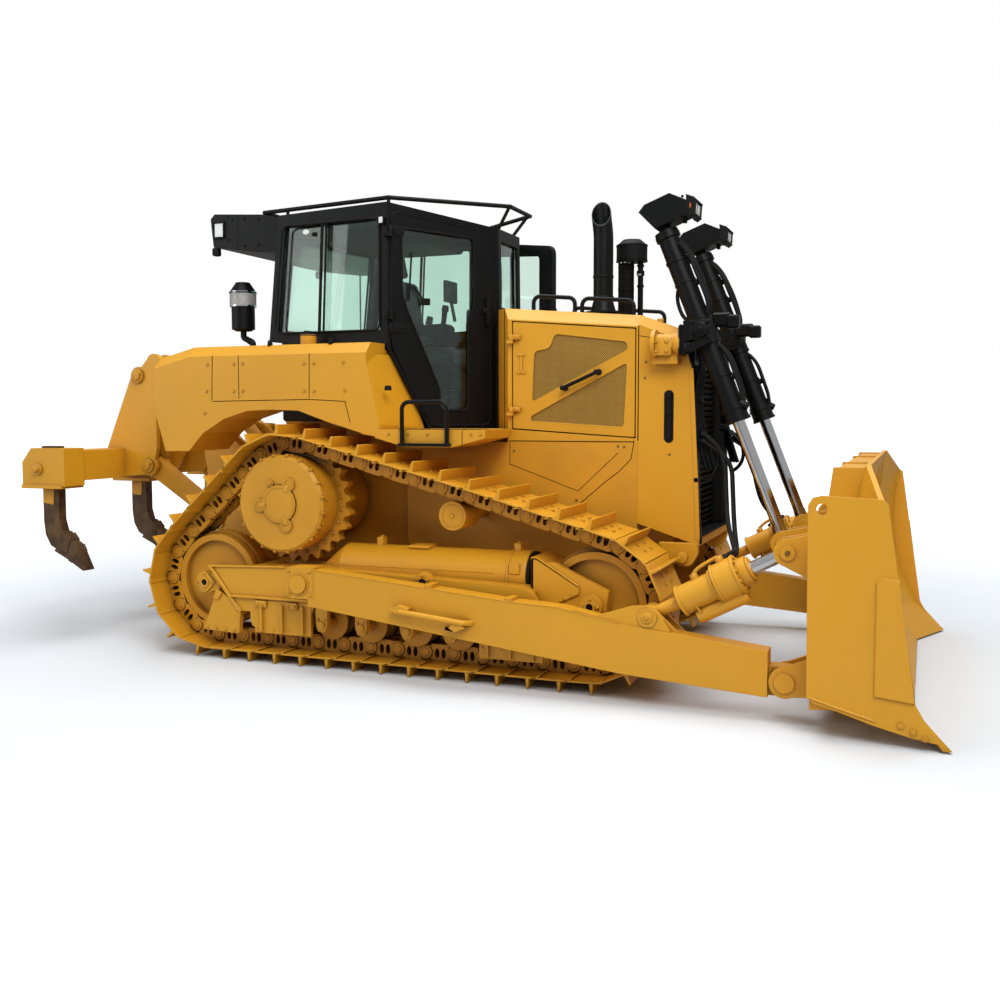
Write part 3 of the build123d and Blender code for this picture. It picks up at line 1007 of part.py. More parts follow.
def build_lift_barrel():
    """Lift cylinder's barrel with its trunnion, the gland end below and the lamp at its top."""
    pivot = (LIFT_PIVOT_X, -LIFT_Y, LIFT_PIVOT_Z)
    eye = (LIFT_EYE_X, -LIFT_Y, LIFT_EYE_Z)
    low, high = along(pivot, eye, LIFT_BELOW), along(pivot, eye, -LIFT_ABOVE)
    barrel = rod_between(high, low, LIFT_BARREL_R - 8)
    gland = rod_between(along(pivot, eye, LIFT_BELOW - 110), low, LIFT_BARREL_R)
    collar = rod_between(along(pivot, eye, -75), along(pivot, eye, 75), LIFT_BARREL_R)
    bore = rod_between(along(pivot, eye, LIFT_BORE_START), along(pivot, eye, LIFT_BELOW + 5),
                       LIFT_ROD_R + PIN_GAP)
    trunnion = rod_y(LIFT_PIVOT_X, LIFT_PIVOT_Z, LIFT_TRUNNION_R, -LIFT_Y - LIFT_BARREL_R - 34,
                     -LIFT_Y + LIFT_BARREL_R + 34)
    head = rod_between(high, along(pivot, eye, -LIFT_ABOVE - 30), LIFT_BARREL_R)
    return joined([barrel, gland, collar, head, trunnion]) - bore


def build_lamp():
    """Work lamp housing on top of the lift cylinder."""
    pivot = (LIFT_PIVOT_X, -LIFT_Y, LIFT_PIVOT_Z)
    eye = (LIFT_EYE_X, -LIFT_Y, LIFT_EYE_Z)
    top = along(pivot, eye, -LIFT_ABOVE - 30)
    side = ((-155, 116), (-119, 161), (37, 221), (171, 161), (186, 106), (-49, 8))
    housing = slab([(top.X + dx, top.Z + dz) for dx, dz in side], -LIFT_Y - 95, -LIFT_Y + 95)
    foot = rod_between(along(pivot, eye, -LIFT_ABOVE - 30 - SEAT_GAP),
                       along(pivot, eye, -LIFT_ABOVE - 120), 40)
    return housing + foot


def build_lift_rod():
    """Chrome rod of the lift cylinder with its eye."""
    pivot = (LIFT_PIVOT_X, -LIFT_Y, LIFT_PIVOT_Z)
    eye = (LIFT_EYE_X, -LIFT_Y, LIFT_EYE_Z)
    distance = (Vector(*eye) - Vector(*pivot)).length
    rod = rod_between(along(pivot, eye, LIFT_ROD_START), along(pivot, eye, distance - 20), LIFT_ROD_R)
    neck = rod_between(along(pivot, eye, distance - 110), along(pivot, eye, distance - 30), LIFT_ROD_R + 4)
    half = LIFT_EYE_WIDTH / 2
    return joined([rod, neck, rod_y(LIFT_EYE_X, LIFT_EYE_Z, LIFT_EYE_R, -LIFT_Y - half, -LIFT_Y + half)])


def build_yoke():
    """Fork with the lift cylinder's trunnion bearings."""
    x0 = YOKE_BACK
    plates = []
    for s in (-1, 1):
        y = -LIFT_Y + s * (LIFT_BARREL_R + EAR_GAP)
        ear = block(x0 - 5, LIFT_PIVOT_X, y, y + s * 24, LIFT_PIVOT_Z - 62, LIFT_PIVOT_Z + 62)
        ear += rod_y(LIFT_PIVOT_X, LIFT_PIVOT_Z, 62, y, y + s * 24)
        ear -= rod_y(LIFT_PIVOT_X, LIFT_PIVOT_Z, LIFT_TRUNNION_R + PIN_GAP, y - s * 5, y + s * 29)
        plates.append(ear)
    back = block(x0 - 30, x0, -LIFT_Y - LIFT_BARREL_R - 30, -LIFT_Y + LIFT_BARREL_R + 30,
                 LIFT_PIVOT_Z - 140, LIFT_PIVOT_Z + 5)
    return joined([back] + plates) - slab(nose_clearance(), -HULL_HALF - SEAT_GAP, HULL_HALF)


def build_lift_support():
    """Bolted tube on the nose that carries the lift cylinder's fork."""
    y, z = -LIFT_Y - 40, LIFT_PIVOT_Z - 75
    tube = rod_between((2400, y, z), (YOKE_BACK - 30 - SEAT_GAP, y, z), 62)
    flange = rod_between((2400, y, z), (2425, y, z), 90)
    saddle = block(2400, 2560, -LIFT_Y - 60, -HULL_HALF - SEAT_GAP, LIFT_PIVOT_Z - 200, LIFT_PIVOT_Z - 80)
    return joined([tube, saddle, flange]) - slab(nose_clearance(), -HULL_HALF - SEAT_GAP, HULL_HALF)


def nose_clearance():
    """Side outline of the nose, grown by the seat gap, to trim what bolts to it."""
    return [(HOOD_FRONT - 50, 800), (HOOD_FRONT - 50, 2400), (2545, 2240), (2592, 2140), (2642, 1970),
            (2680, 1270), (2700, 800)]


def build_tilt_barrel():
    """Tilt cylinder: eye on the arm, stepped barrel with a wide head, and a half-round guard."""
    pin = (TILT_PIN_X, -TILT_Y, TILT_PIN_Z)
    eye = (TILT_EYE_X, -TILT_Y, TILT_EYE_Z)
    lug = rod_y(TILT_PIN_X, TILT_PIN_Z, 56, -TILT_Y - TILT_EYE_WIDTH / 2, -TILT_Y + TILT_EYE_WIDTH / 2)
    neck = rod_between(along(pin, eye, 30), along(pin, eye, TILT_BARREL_START + 10), 38)
    barrel_end = along(pin, eye, TILT_BARREL_END - 10)
    barrel = rod_between(along(pin, eye, TILT_BARREL_START), barrel_end, TILT_BARREL_R)
    head = rod_between(along(pin, eye, TILT_HEAD_START), along(pin, eye, TILT_BARREL_END - 70), TILT_HEAD_R)
    gland = rod_between(along(pin, eye, TILT_BARREL_END - 75), along(pin, eye, TILT_BARREL_END), 66)
    body = joined([lug, neck, barrel, head, gland])
    body -= rod_y(TILT_PIN_X, TILT_PIN_Z, TILT_PIN_R + PIN_GAP, -TILT_Y - 60, -TILT_Y + 60)
    return body - rod_between(along(pin, eye, TILT_HEAD_START), along(pin, eye, TILT_BARREL_END + 5),
                              TILT_ROD_R + PIN_GAP)


def build_tilt_rod():
    """Chrome rod of the tilt cylinder with its eye on the blade."""
    pin = (TILT_PIN_X, -TILT_Y, TILT_PIN_Z)
    eye = (TILT_EYE_X, -TILT_Y, TILT_EYE_Z)
    distance = (Vector(*eye) - Vector(*pin)).length
    rod = rod_between(along(pin, eye, TILT_HEAD_START + 85), along(pin, eye, distance - 20), TILT_ROD_R)
    return rod + rod_y(TILT_EYE_X, TILT_EYE_Z, TILT_EYE_R, -TILT_Y - TILT_EYE_WIDTH / 2,
                       -TILT_Y + TILT_EYE_WIDTH / 2)


# ================================================================ ripper
UP_LINK_X = LINK_LOW_X + TOWER_PIN_X - BEAM_PIN_X     # upper link's pin on the bracket
UP_LINK_Z = LINK_LOW_Z + TOWER_PIN_Z - BEAM_PIN_Z
LINK_SLOT_IN, LINK_SLOT_OUT = TOWER_IN_Y + TOWER_PLATE / 2 + EAR_GAP, TOWER_OUT_Y - TOWER_PLATE / 2 - EAR_GAP


def build_ripper_bracket():
    """Bracket on the rear of the case with the pins of both links and the lift cylinders."""
    plates = []
    wall = 34.0
    x1 = CASE_REAR - SEAT_GAP
    for s in (-1, 1):
        for y in (LINK_SLOT_OUT + EAR_GAP, LINK_SLOT_IN - EAR_GAP - wall):
            y0, y1 = sorted((s * y, s * (y + wall)))
            plate = slab([(x1, 640), (LINK_LOW_X - 20, LINK_LOW_Z - 80), (LINK_LOW_X - 75, LINK_LOW_Z),
                          (LINK_LOW_X - 60, 950), (UP_LINK_X - 70, UP_LINK_Z - 30),
                          (UP_LINK_X - 40, UP_LINK_Z + 60), (UP_LINK_X + 55, UP_LINK_Z + 55),
                          (x1 - 60, 1400), (x1, 1330)], y0, y1)
            plates.append(plate)
        pin_ends = (s * (LINK_SLOT_IN - EAR_GAP - 10), s * (LINK_SLOT_OUT + EAR_GAP + wall + 14))
        plates.append(rod_y(LINK_LOW_X, LINK_LOW_Z, RIPPER_PIN_R, *pin_ends))
        plates.append(rod_y(UP_LINK_X, UP_LINK_Z, RIPPER_PIN_R, *pin_ends))
    base = block(x1 - 35, x1, -CASE_HALF + 10, CASE_HALF - 10, 640, 1330)
    rams = []
    for s in (-1, 1):
        y = s * (RAM_Y - RAM_FOOT_WIDTH / 2 - EAR_GAP)
        rams.append(eye_plate((RAM_PIN_X, RAM_PIN_Z), 66, ((x1 - 5, 1300), (x1 - 5, 1100)), y, y - s * 24))
        rams.append(rod_y(RAM_PIN_X, RAM_PIN_Z, RAM_PIN_R, y - s * 30, s * (LINK_SLOT_IN - EAR_GAP - 5)))
    return joined([base] + plates + rams)


def build_lower_link():
    """Lower link: two box arms joined by a cross plate."""
    parts = []
    for s in (-1, 1):
        y0, y1 = sorted((s * LINK_SLOT_IN, s * LINK_SLOT_OUT))
        dx, dz = BEAM_PIN_X - LINK_LOW_X, BEAM_PIN_Z - LINK_LOW_Z
        length = math.hypot(dx, dz)
        nx, nz = -dz / length, dx / length
        outline = [(LINK_LOW_X + nx * 62, LINK_LOW_Z + nz * 62),
                   (BEAM_PIN_X + nx * 74, BEAM_PIN_Z + nz * 74),
                   (BEAM_PIN_X - nx * 74, BEAM_PIN_Z - nz * 74),
                   (LINK_LOW_X - nx * 62, LINK_LOW_Z - nz * 62)]
        arm = slab(outline, y0, y1)
        arm += rod_y(LINK_LOW_X, LINK_LOW_Z, 62, y0, y1)
        arm += rod_y(BEAM_PIN_X, BEAM_PIN_Z, 74, y0, y1)
        arm -= rod_y(LINK_LOW_X, LINK_LOW_Z, RIPPER_PIN_R + PIN_GAP, y0 - 1, y1 + 1)
        arm -= rod_y(BEAM_PIN_X, BEAM_PIN_Z, RIPPER_PIN_R + PIN_GAP, y0 - 1, y1 + 1)
        parts.append(arm)
    middle = along((LINK_LOW_X, 0, LINK_LOW_Z), (BEAM_PIN_X, 0, BEAM_PIN_Z), 330)
    dx, dz = BEAM_PIN_X - LINK_LOW_X, BEAM_PIN_Z - LINK_LOW_Z
    place = Plane(origin=middle, x_dir=(dx, 0, dz), z_dir=(dz, 0, -dx))
    tie = place * Pos(0, 0, -20) * Box(150, 2 * LINK_SLOT_IN + 10, 22)
    return joined(parts + [tie])


def build_upper_links():
    """Pair of straight upper links between the bracket and the towers."""
    links = []
    for s in (-1, 1):
        y0, y1 = sorted((s * LINK_SLOT_IN, s * LINK_SLOT_OUT))
        dx, dz = TOWER_PIN_X - UP_LINK_X, TOWER_PIN_Z - UP_LINK_Z
        length = math.hypot(dx, dz)
        nx, nz = -dz / length, dx / length
        outline = [(UP_LINK_X + nx * 42, UP_LINK_Z + nz * 42),
                   (TOWER_PIN_X + nx * 42, TOWER_PIN_Z + nz * 42),
                   (TOWER_PIN_X - nx * 42, TOWER_PIN_Z - nz * 42),
                   (UP_LINK_X - nx * 42, UP_LINK_Z - nz * 42)]
        link = slab(outline, y0 + 8, y1 - 8)
        for x, z in ((UP_LINK_X, UP_LINK_Z), (TOWER_PIN_X, TOWER_PIN_Z)):
            link += rod_y(x, z, 60, y0, y1)
        for x, z in ((UP_LINK_X, UP_LINK_Z), (TOWER_PIN_X, TOWER_PIN_Z)):
            link -= rod_y(x, z, RIPPER_PIN_R + PIN_GAP, y0 - 1, y1 + 1)
        links.append(link)
    return Compound(links)


def build_beam():
    """Ripper beam with three shank pockets and two towers."""
    x0, x1 = BEAM_X - BEAM_DEPTH / 2, BEAM_X + BEAM_DEPTH / 2
    pieces = [block(x0 + 40, x1, -BEAM_HALF + 90, BEAM_HALF - 90, BEAM_BOTTOM + 25, BEAM_TOP - 5)]
    for y in (-SHANK_Y, 0.0, SHANK_Y):
        rear = X_REAR
        pocket = slab([(rear, BEAM_BOTTOM - 10), (rear, BEAM_TOP - 90), (rear + 90, BEAM_TOP + 15),
                       (x1 + 15, BEAM_TOP + 15), (x1 + 15, BEAM_BOTTOM - 10)], y - 105, y + 105)
        pieces += [pocket, block(rear, x1 - 10, y - 120, y + 120, BEAM_BOTTOM - 28, BEAM_BOTTOM)]
    for s in (-1, 1):
        for y in (TOWER_OUT_Y, TOWER_IN_Y):
            y0, y1 = sorted((s * (y - TOWER_PLATE / 2), s * (y + TOWER_PLATE / 2)))
            tower = slab([(x1 - 180, BEAM_TOP - 20), (TOWER_PIN_X - 72, TOWER_PIN_Z),
                          (TOWER_PIN_X, TOWER_PIN_Z + 10), (LOBE_X + 10, LOBE_Z - 40),
                          (LOBE_X + 15, BEAM_TOP), (BEAM_PIN_X + 60, BEAM_PIN_Z + 40),
                          (BEAM_PIN_X + 40, BEAM_PIN_Z - 65), (x1 - 20, BEAM_BOTTOM + 30)], y0, y1)
            tower += rod_y(TOWER_PIN_X, TOWER_PIN_Z, 74, y0, y1)
            lobe_foot = ((TOWER_PIN_X, TOWER_PIN_Z + 40), (LOBE_X + 12, 1900))
            tower += eye_plate((LOBE_X, LOBE_Z), 68, lobe_foot, y0, y1)
            tower += rod_y(BEAM_PIN_X, BEAM_PIN_Z, 78, y0, y1)
            pieces.append(tower)
        ends = (s * (TOWER_IN_Y - 10), s * (TOWER_OUT_Y + TOWER_PLATE / 2 + 14))
        pieces.append(rod_y(TOWER_PIN_X, TOWER_PIN_Z, RIPPER_PIN_R, *ends))
        pieces.append(rod_y(BEAM_PIN_X, BEAM_PIN_Z, RIPPER_PIN_R, *ends))
        y = s * (RAM_Y - RAM_EYE_WIDTH / 2 - EAR_GAP)
        cheek = [(x1 - 150, BEAM_TOP - 20), (TOWER_PIN_X - 20, TOWER_PIN_Z), (LOBE_X - 40, LOBE_Z + 55),
                 (LOBE_X + 30, LOBE_Z + 55), (LOBE_X + 62, LOBE_Z), (LOBE_X + 10, 1960),
                 (TOWER_PIN_X + 35, BEAM_TOP - 60), (x1 + 120, 1250), (x1 - 20, BEAM_BOTTOM + 30)]
        pieces.append(slab(cheek, y, y - s * 24))
    beam = joined(pieces)
    for y in (-SHANK_Y, 0.0, SHANK_Y):
        beam -= block(SHANK_X - SHANK_DEPTH / 2 - SEAT_GAP, SHANK_X + SHANK_DEPTH / 2 + SEAT_GAP,
                      y - SHANK_WIDTH / 2 - SEAT_GAP, y + SHANK_WIDTH / 2 + SEAT_GAP, BEAM_BOTTOM - 60,
                      BEAM_TOP + 60)
    return beam


def build_shanks():
    """Three curved ripper shanks with their points, pinned in the beam's pockets."""
    shanks = []
    r, f = SHANK_X - SHANK_DEPTH / 2, SHANK_X + SHANK_DEPTH / 2
    outline = [(r, BEAM_TOP + 30), (f, BEAM_TOP + 30), (f, 900), (f + 25, 815), (f + 75, 740),
               (f + 150, 690), (f + 245, SHANK_TIP_Z), (f + 225, SHANK_TIP_Z + 4), (f + 60, 620),
               (r + 60, 700), (r + 14, 780), (r, 880)]
    for y in (-SHANK_Y, 0.0, SHANK_Y):
        shanks.append(slab(outline, y - SHANK_WIDTH / 2, y + SHANK_WIDTH / 2))
    return Compound(shanks)


def build_ram_barrel(s):
    """Barrel of one ripper cylinder, hung from the bracket."""
    foot = (RAM_PIN_X, s * RAM_Y, RAM_PIN_Z)
    eye = (LOBE_X, s * RAM_Y, LOBE_Z)
    half = RAM_FOOT_WIDTH / 2
    lug = rod_y(RAM_PIN_X, RAM_PIN_Z, 50, s * RAM_Y - half, s * RAM_Y + half)
    barrel = rod_between(along(foot, eye, RAM_BARREL_START), along(foot, eye, RAM_BARREL_END), RAM_R)
    body = lug + barrel
    body -= rod_y(RAM_PIN_X, RAM_PIN_Z, RAM_PIN_R + PIN_GAP, s * RAM_Y - half - 5, s * RAM_Y + half + 5)
    return body - rod_between(along(foot, eye, RAM_BORE_START), along(foot, eye, RAM_BARREL_END + 5),
                              RAM_ROD_R + PIN_GAP)


def build_ram_rod(s):
    """Rod of one ripper cylinder with its eye; its inner end stays in the barrel when it is run out."""
    foot = (RAM_PIN_X, s * RAM_Y, RAM_PIN_Z)
    eye = (LOBE_X, s * RAM_Y, LOBE_Z)
    distance = (Vector(*eye) - Vector(*foot)).length
    rod = rod_between(along(foot, eye, RAM_ROD_START), along(foot, eye, distance - 10), RAM_ROD_R)
    return rod + rod_y(LOBE_X, LOBE_Z, 54, s * RAM_Y - RAM_EYE_WIDTH / 2, s * RAM_Y + RAM_EYE_WIDTH / 2)


# ================================================================ assembly
def main():
    pair("track", build_track)
    pair("sprocket", build_sprocket)
    pair("track_wheels", build_wheels)
    pair("track_frame", build_frame)
    NODES["main_case"] = build_case()
    NODES["equaliser_bar"] = build_equaliser()
    NODES["engine_block"] = block(ENGINE_REAR, ENGINE_FRONT, -ENGINE_HALF, ENGINE_HALF, HOOD_BOTTOM,
                                  ENGINE_TOP)
    NODES["hood"] = build_hood()
    pair("engine_door", build_engine_door)
    NODES["radiator_guard"] = build_nose()
    NODES["grille"] = build_grille()
    NODES["exhaust_stack"] = build_stack()
    NODES["air_precleaner"] = build_precleaner()
    NODES["handrails"] = build_handrails()
    NODES["cab_shell"] = build_cab()
    NODES["cab_glass"] = build_glass()
    NODES["operator_seat"] = build_seat()
    NODES["roof_unit"] = build_roof_unit()
    NODES["filter_canister"] = build_canister()
    NODES["roof_rail"] = build_roof_rail()
    pair("cab_door", build_cab_door)
    pair("door_glass", build_door_glass)
    open_left_doors()
    pair("fender", build_fender)
    pair("grab_loop", build_grab_loop)
    pair("lift_support", build_lift_support)
    pair("lift_yoke", build_yoke)
    pair("lift_barrel", build_lift_barrel)
    pair("work_lamp", build_lamp)
    pair("lift_rod", build_lift_rod)
    pair("push_arm", build_arm)
    NODES["blade"] = build_blade()
    pair("tilt_barrel", build_tilt_barrel)
    pair("tilt_rod", build_tilt_rod)
    NODES["ripper_bracket"] = build_ripper_bracket()
    NODES["ripper_lower_link"] = build_lower_link()
    NODES["ripper_upper_links"] = build_upper_links()
    NODES["ripper_beam"] = build_beam()
    NODES["ripper_shanks"] = build_shanks()
    NODES["ripper_barrels"] = Compound([build_ram_barrel(-1), build_ram_barrel(1)])
    NODES["ripper_rods"] = Compound([build_ram_rod(-1), build_ram_rod(1)])
    os.makedirs("parts", exist_ok=True)
    for name, shape in NODES.items():
        export_step(Pos(-X_ORIGIN, 0, 0) * shape, "parts/" + name + ".step")


main()
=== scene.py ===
"""Track-type bulldozer: the looks of every piece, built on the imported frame."""
import sys

import json
import logging
import math
from dataclasses import dataclass, field
from enum import Enum
from typing import Callable, Iterable, Sequence

import bmesh
import bpy
from mathutils import Matrix, Vector

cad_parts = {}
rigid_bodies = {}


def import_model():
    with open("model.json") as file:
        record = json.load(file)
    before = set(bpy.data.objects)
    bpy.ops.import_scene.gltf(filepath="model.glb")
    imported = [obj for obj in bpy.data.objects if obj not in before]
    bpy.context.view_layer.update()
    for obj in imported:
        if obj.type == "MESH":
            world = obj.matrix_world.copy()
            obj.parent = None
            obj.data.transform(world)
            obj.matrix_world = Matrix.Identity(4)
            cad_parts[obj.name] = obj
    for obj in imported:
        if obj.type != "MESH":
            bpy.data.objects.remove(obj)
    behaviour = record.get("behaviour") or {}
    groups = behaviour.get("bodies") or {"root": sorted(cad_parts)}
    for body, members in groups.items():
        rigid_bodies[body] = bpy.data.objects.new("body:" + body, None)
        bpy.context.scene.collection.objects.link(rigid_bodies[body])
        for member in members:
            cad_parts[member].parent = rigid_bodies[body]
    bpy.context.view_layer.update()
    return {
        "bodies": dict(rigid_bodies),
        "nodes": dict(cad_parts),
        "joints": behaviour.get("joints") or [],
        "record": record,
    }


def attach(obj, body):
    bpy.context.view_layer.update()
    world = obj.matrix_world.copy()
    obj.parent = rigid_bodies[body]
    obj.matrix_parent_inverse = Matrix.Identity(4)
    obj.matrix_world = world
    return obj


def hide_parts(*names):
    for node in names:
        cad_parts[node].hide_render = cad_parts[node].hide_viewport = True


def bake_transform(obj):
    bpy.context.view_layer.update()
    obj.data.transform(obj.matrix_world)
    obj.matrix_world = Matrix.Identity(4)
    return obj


LOG = logging.getLogger("bulldozer")

Point = tuple[float, float, float]
Corner = tuple[float, float]

# The source's design frame has x = 0 on the sprocket axis; the stored frame lies this much further forward.
ORIGIN_X = 916.0
TO_METRES = Matrix.Scale(0.001, 4) @ Matrix.Translation((-ORIGIN_X, 0.0, 0.0))


class Body(Enum):
    """The frame's bodies that pieces ride on."""

    CHASSIS = "chassis"
    ARMS = "push_arms"
    BLADE = "blade"
    LIFT_BARRELS = "lift_barrels"
    LIFT_RODS = "lift_rods"
    TILT_BARRELS = "tilt_barrels"
    TILT_RODS = "tilt_rods"
    RIPPER_LINKS = "ripper_lower_links"
    RIPPER_TOOL = "ripper_tool"
    RIPPER_TOPS = "ripper_top_links"
    RIPPER_RAMS = "ripper_rams"
    RIPPER_PISTONS = "ripper_pistons"
    DOOR_RIGHT = "door_right"
    DOOR_LEFT = "door_left"
    COVER_RIGHT = "engine_cover_right"
    COVER_LEFT = "engine_cover_left"


class Slot(Enum):
    """The record's material slots."""

    YELLOW = "yellow_paint"
    BLACK = "black_paint"
    CHROME = "chrome_rod"
    GLASS = "tinted_glass"
    CAST = "cast_engine"
    CLOTH = "seat_cloth"
    STEEL = "worn_steel"


# ---------------------------------------------------------------- finishes
def linear(code: str) -> tuple[float, float, float, float]:
    """Turns an sRGB hex colour into linear RGBA.

    Args:
        code: six hex digits, with or without a leading hash.

    Returns:
        The linear colour with an alpha of 1.
    """
    digits = code.lstrip("#")
    values = [int(digits[i:i + 2], 16) / 255 for i in (0, 2, 4)]
    return tuple(v / 12.92 if v <= 0.04045 else ((v + 0.055) / 1.055) ** 2.4 for v in values) + (1.0,)


def add_node(tree: bpy.types.NodeTree, kind: str, inputs: dict | None = None, **settings) -> bpy.types.Node:
    """Adds a shader node with its settings and links.

    Args:
        tree: the material's node tree.
        kind: the node's type name.
        inputs: values or sockets for the node's inputs, by name or number.
        settings: properties of the node.

    Returns:
        The new node.
    """
    node = tree.nodes.new(kind)
    for key, value in settings.items():
        setattr(node, key, value)
    for key, value in (inputs or {}).items():
        if isinstance(value, bpy.types.NodeSocket):
            tree.links.new(value, node.inputs[key])
        else:
            node.inputs[key].default_value = value
    return node


def set_ramp(node: bpy.types.Node, stops: Sequence[tuple[float, tuple]]) -> None:
    """Gives a colour ramp its stops of (place, linear colour)."""
    ramp = node.color_ramp
    ramp.elements[0].position, ramp.elements[0].color = stops[0]
    ramp.elements[1].position, ramp.elements[1].color = stops[-1]
    for place, colour in stops[1:-1]:
        ramp.elements.new(place).color = colour


@dataclass(frozen=True)
class Finish:
    """A finish: what it is called, its colour, its shine and the record's slot that it stands for."""

    name: str
    colour: str
    slot: Slot
    roughness: float = 0.5
    metallic: float = 0.0
    shade: float = 0.9
    patch_mm: float = 500.0
    grain_mm: float = 30.0
    grain: float = 0.04
    edge_mm: float = 0.0
    coat: float = 0.0
    specular: float = 0.5
    # Painted shade: the next two fields give how far the ambient-occlusion darkening reaches into recesses, in
    # mm (0 leaves it out), and the dark colour it fades to.
    painted_shade_mm: float = 0.0
    painted_shade_colour: str = "#6E4A12"

    def material(self) -> bpy.types.Material:
        """Builds the material once and returns it.

        Returns:
            The material.
        """
        made = bpy.data.materials.get(self.name)
        if made is None:
            made = bpy.data.materials.new(self.name)
            made.use_nodes = True
            made.diffuse_color = linear(self.colour)
            tree = made.node_tree
            tree.nodes.clear()
            shader = add_node(tree, "ShaderNodeBsdfPrincipled",
                              {"Roughness": self.roughness, "Metallic": self.metallic, "Coat Weight": self.coat,
                               "Specular IOR Level": self.specular})
            output = add_node(tree, "ShaderNodeOutputMaterial", {"Surface": shader.outputs[0]})
            self.dress(tree, shader, output)
        return made

    def place(self, tree: bpy.types.NodeTree) -> bpy.types.NodeSocket:
        """Object coordinates, in metres, for the patterns."""
        return add_node(tree, "ShaderNodeTexCoord").outputs["Object"]

    def noise(self, tree: bpy.types.NodeTree, size_mm: float, detail: float = 3.0) -> bpy.types.NodeSocket:
        """A noise value whose patches are about size_mm across."""
        node = add_node(tree, "ShaderNodeTexNoise",
                        {"Vector": self.place(tree), "Scale": 1000.0 / size_mm, "Detail": detail})
        return node.outputs["Fac"]

    def dress(self, tree: bpy.types.NodeTree, shader: bpy.types.Node, output: bpy.types.Node) -> None:
        """Adds the tone's patches, painted shade in recesses and between parts, the surface's grain and the
        softened edges.

        Args:
            tree: the material's node tree.
            shader: its Principled shader.
            output: its output node; not used.
        """
        tone = add_node(tree, "ShaderNodeValToRGB", {"Fac": self.noise(tree, self.patch_mm)})
        full = linear(self.colour)
        dim = tuple(c * self.shade for c in full[:3]) + (1.0,)
        set_ramp(tone, [(0.36, dim), (0.62, full)])
        colour = tone.outputs["Color"]
        # Painted shade: ambient occlusion darkens the colour towards a dark brown in recesses and between
        # parts.
        if self.painted_shade_mm:
            near = add_node(tree, "ShaderNodeAmbientOcclusion", {"Distance": self.painted_shade_mm / 1000}, samples=4)
            open_air = add_node(tree, "ShaderNodeMapRange", {"Value": near.outputs["AO"], "From Min": 0.15,
                                                             "From Max": 0.85}, clamp=True)
            sockets = {0: open_air.outputs["Result"], 6: linear(self.painted_shade_colour), 7: colour}
            mixed = add_node(tree, "ShaderNodeMix", sockets, data_type="RGBA")
            colour = mixed.outputs[2]
        tree.links.new(colour, shader.inputs["Base Color"])
        shine = add_node(tree, "ShaderNodeMapRange",
                         {"Value": self.noise(tree, self.patch_mm / 3), "To Min": self.roughness * 0.88,
                          "To Max": min(1.0, self.roughness * 1.12)})
        tree.links.new(shine.outputs["Result"], shader.inputs["Roughness"])
        settings = {"Height": self.noise(tree, self.grain_mm), "Strength": self.grain, "Distance": 0.01}
        if self.edge_mm:
            soft = add_node(tree, "ShaderNodeBevel", {"Radius": self.edge_mm / 1000}, samples=4)
            settings["Normal"] = soft.outputs["Normal"]
        bump = add_node(tree, "ShaderNodeBump", settings)
        tree.links.new(bump.outputs["Normal"], shader.inputs["Normal"])


@dataclass(frozen=True)
class CastFinish(Finish):
    """A sand casting under paint: a pebbled skin of a few millimetres' grit."""

    pebble_mm: float = 9.0

    def dress(self, tree: bpy.types.NodeTree, shader: bpy.types.Node, output: bpy.types.Node) -> None:
        """Adds the pebbles over the paint's own patches.

        Args:
            tree: the material's node tree.
            shader: its main shader.
            output: its output node.
        """
        super().dress(tree, shader, output)
        pebbles = add_node(tree, "ShaderNodeTexVoronoi",
                           {"Vector": self.place(tree), "Scale": 1000.0 / self.pebble_mm}, feature="SMOOTH_F1")
        bump = add_node(tree, "ShaderNodeBump", {"Height": pebbles.outputs["Distance"], "Strength": 0.12,
                                                 "Distance": 0.004,
                                                 "Normal": shader.inputs["Normal"].links[0].from_socket})
        tree.links.new(bump.outputs["Normal"], shader.inputs["Normal"])


@dataclass(frozen=True)
class SheetMesh(Finish):
    """Perforated sheet: round holes in staggered rows, painted dark brown for the shade behind them."""

    pitch_mm: float = 15.0

    def dress(self, tree: bpy.types.NodeTree, shader: bpy.types.Node, output: bpy.types.Node) -> None:
        """Draws the holes, painted dark brown for the shade behind them; real ones are 5 mm on an 8 mm pitch,
        drawn coarser so that they show.

        Args:
            tree: the material's node tree.
            shader: its main shader.
            output: its output node.
        """
        super().dress(tree, shader, output)
        split = add_node(tree, "ShaderNodeSeparateXYZ", {"Vector": self.place(tree)})
        rate = 2 * math.pi * 1000 / self.pitch_mm
        waves = []
        for axis in ("X", "Z"):
            angle = add_node(tree, "ShaderNodeMath", {0: split.outputs[axis], 1: rate}, operation="MULTIPLY")
            waves.append(add_node(tree, "ShaderNodeMath", {0: angle.outputs[0]}, operation="COSINE").outputs[0])
        both = add_node(tree, "ShaderNodeMath", {0: waves[0], 1: waves[1]}, operation="MULTIPLY")
        hole = add_node(tree, "ShaderNodeMapRange",
                        {"Value": both.outputs[0], "From Min": 0.12, "From Max": 0.3}, clamp=True)
        # Painted shade: the holes take a dark brown that stands in for the shaded bay behind the sheet.
        mixed = add_node(tree, "ShaderNodeMix",
                         {0: hole.outputs["Result"], 6: shader.inputs["Base Color"].links[0].from_socket,
                          7: linear("#3B2E10")}, data_type="RGBA")
        tree.links.new(mixed.outputs[2], shader.inputs["Base Color"])


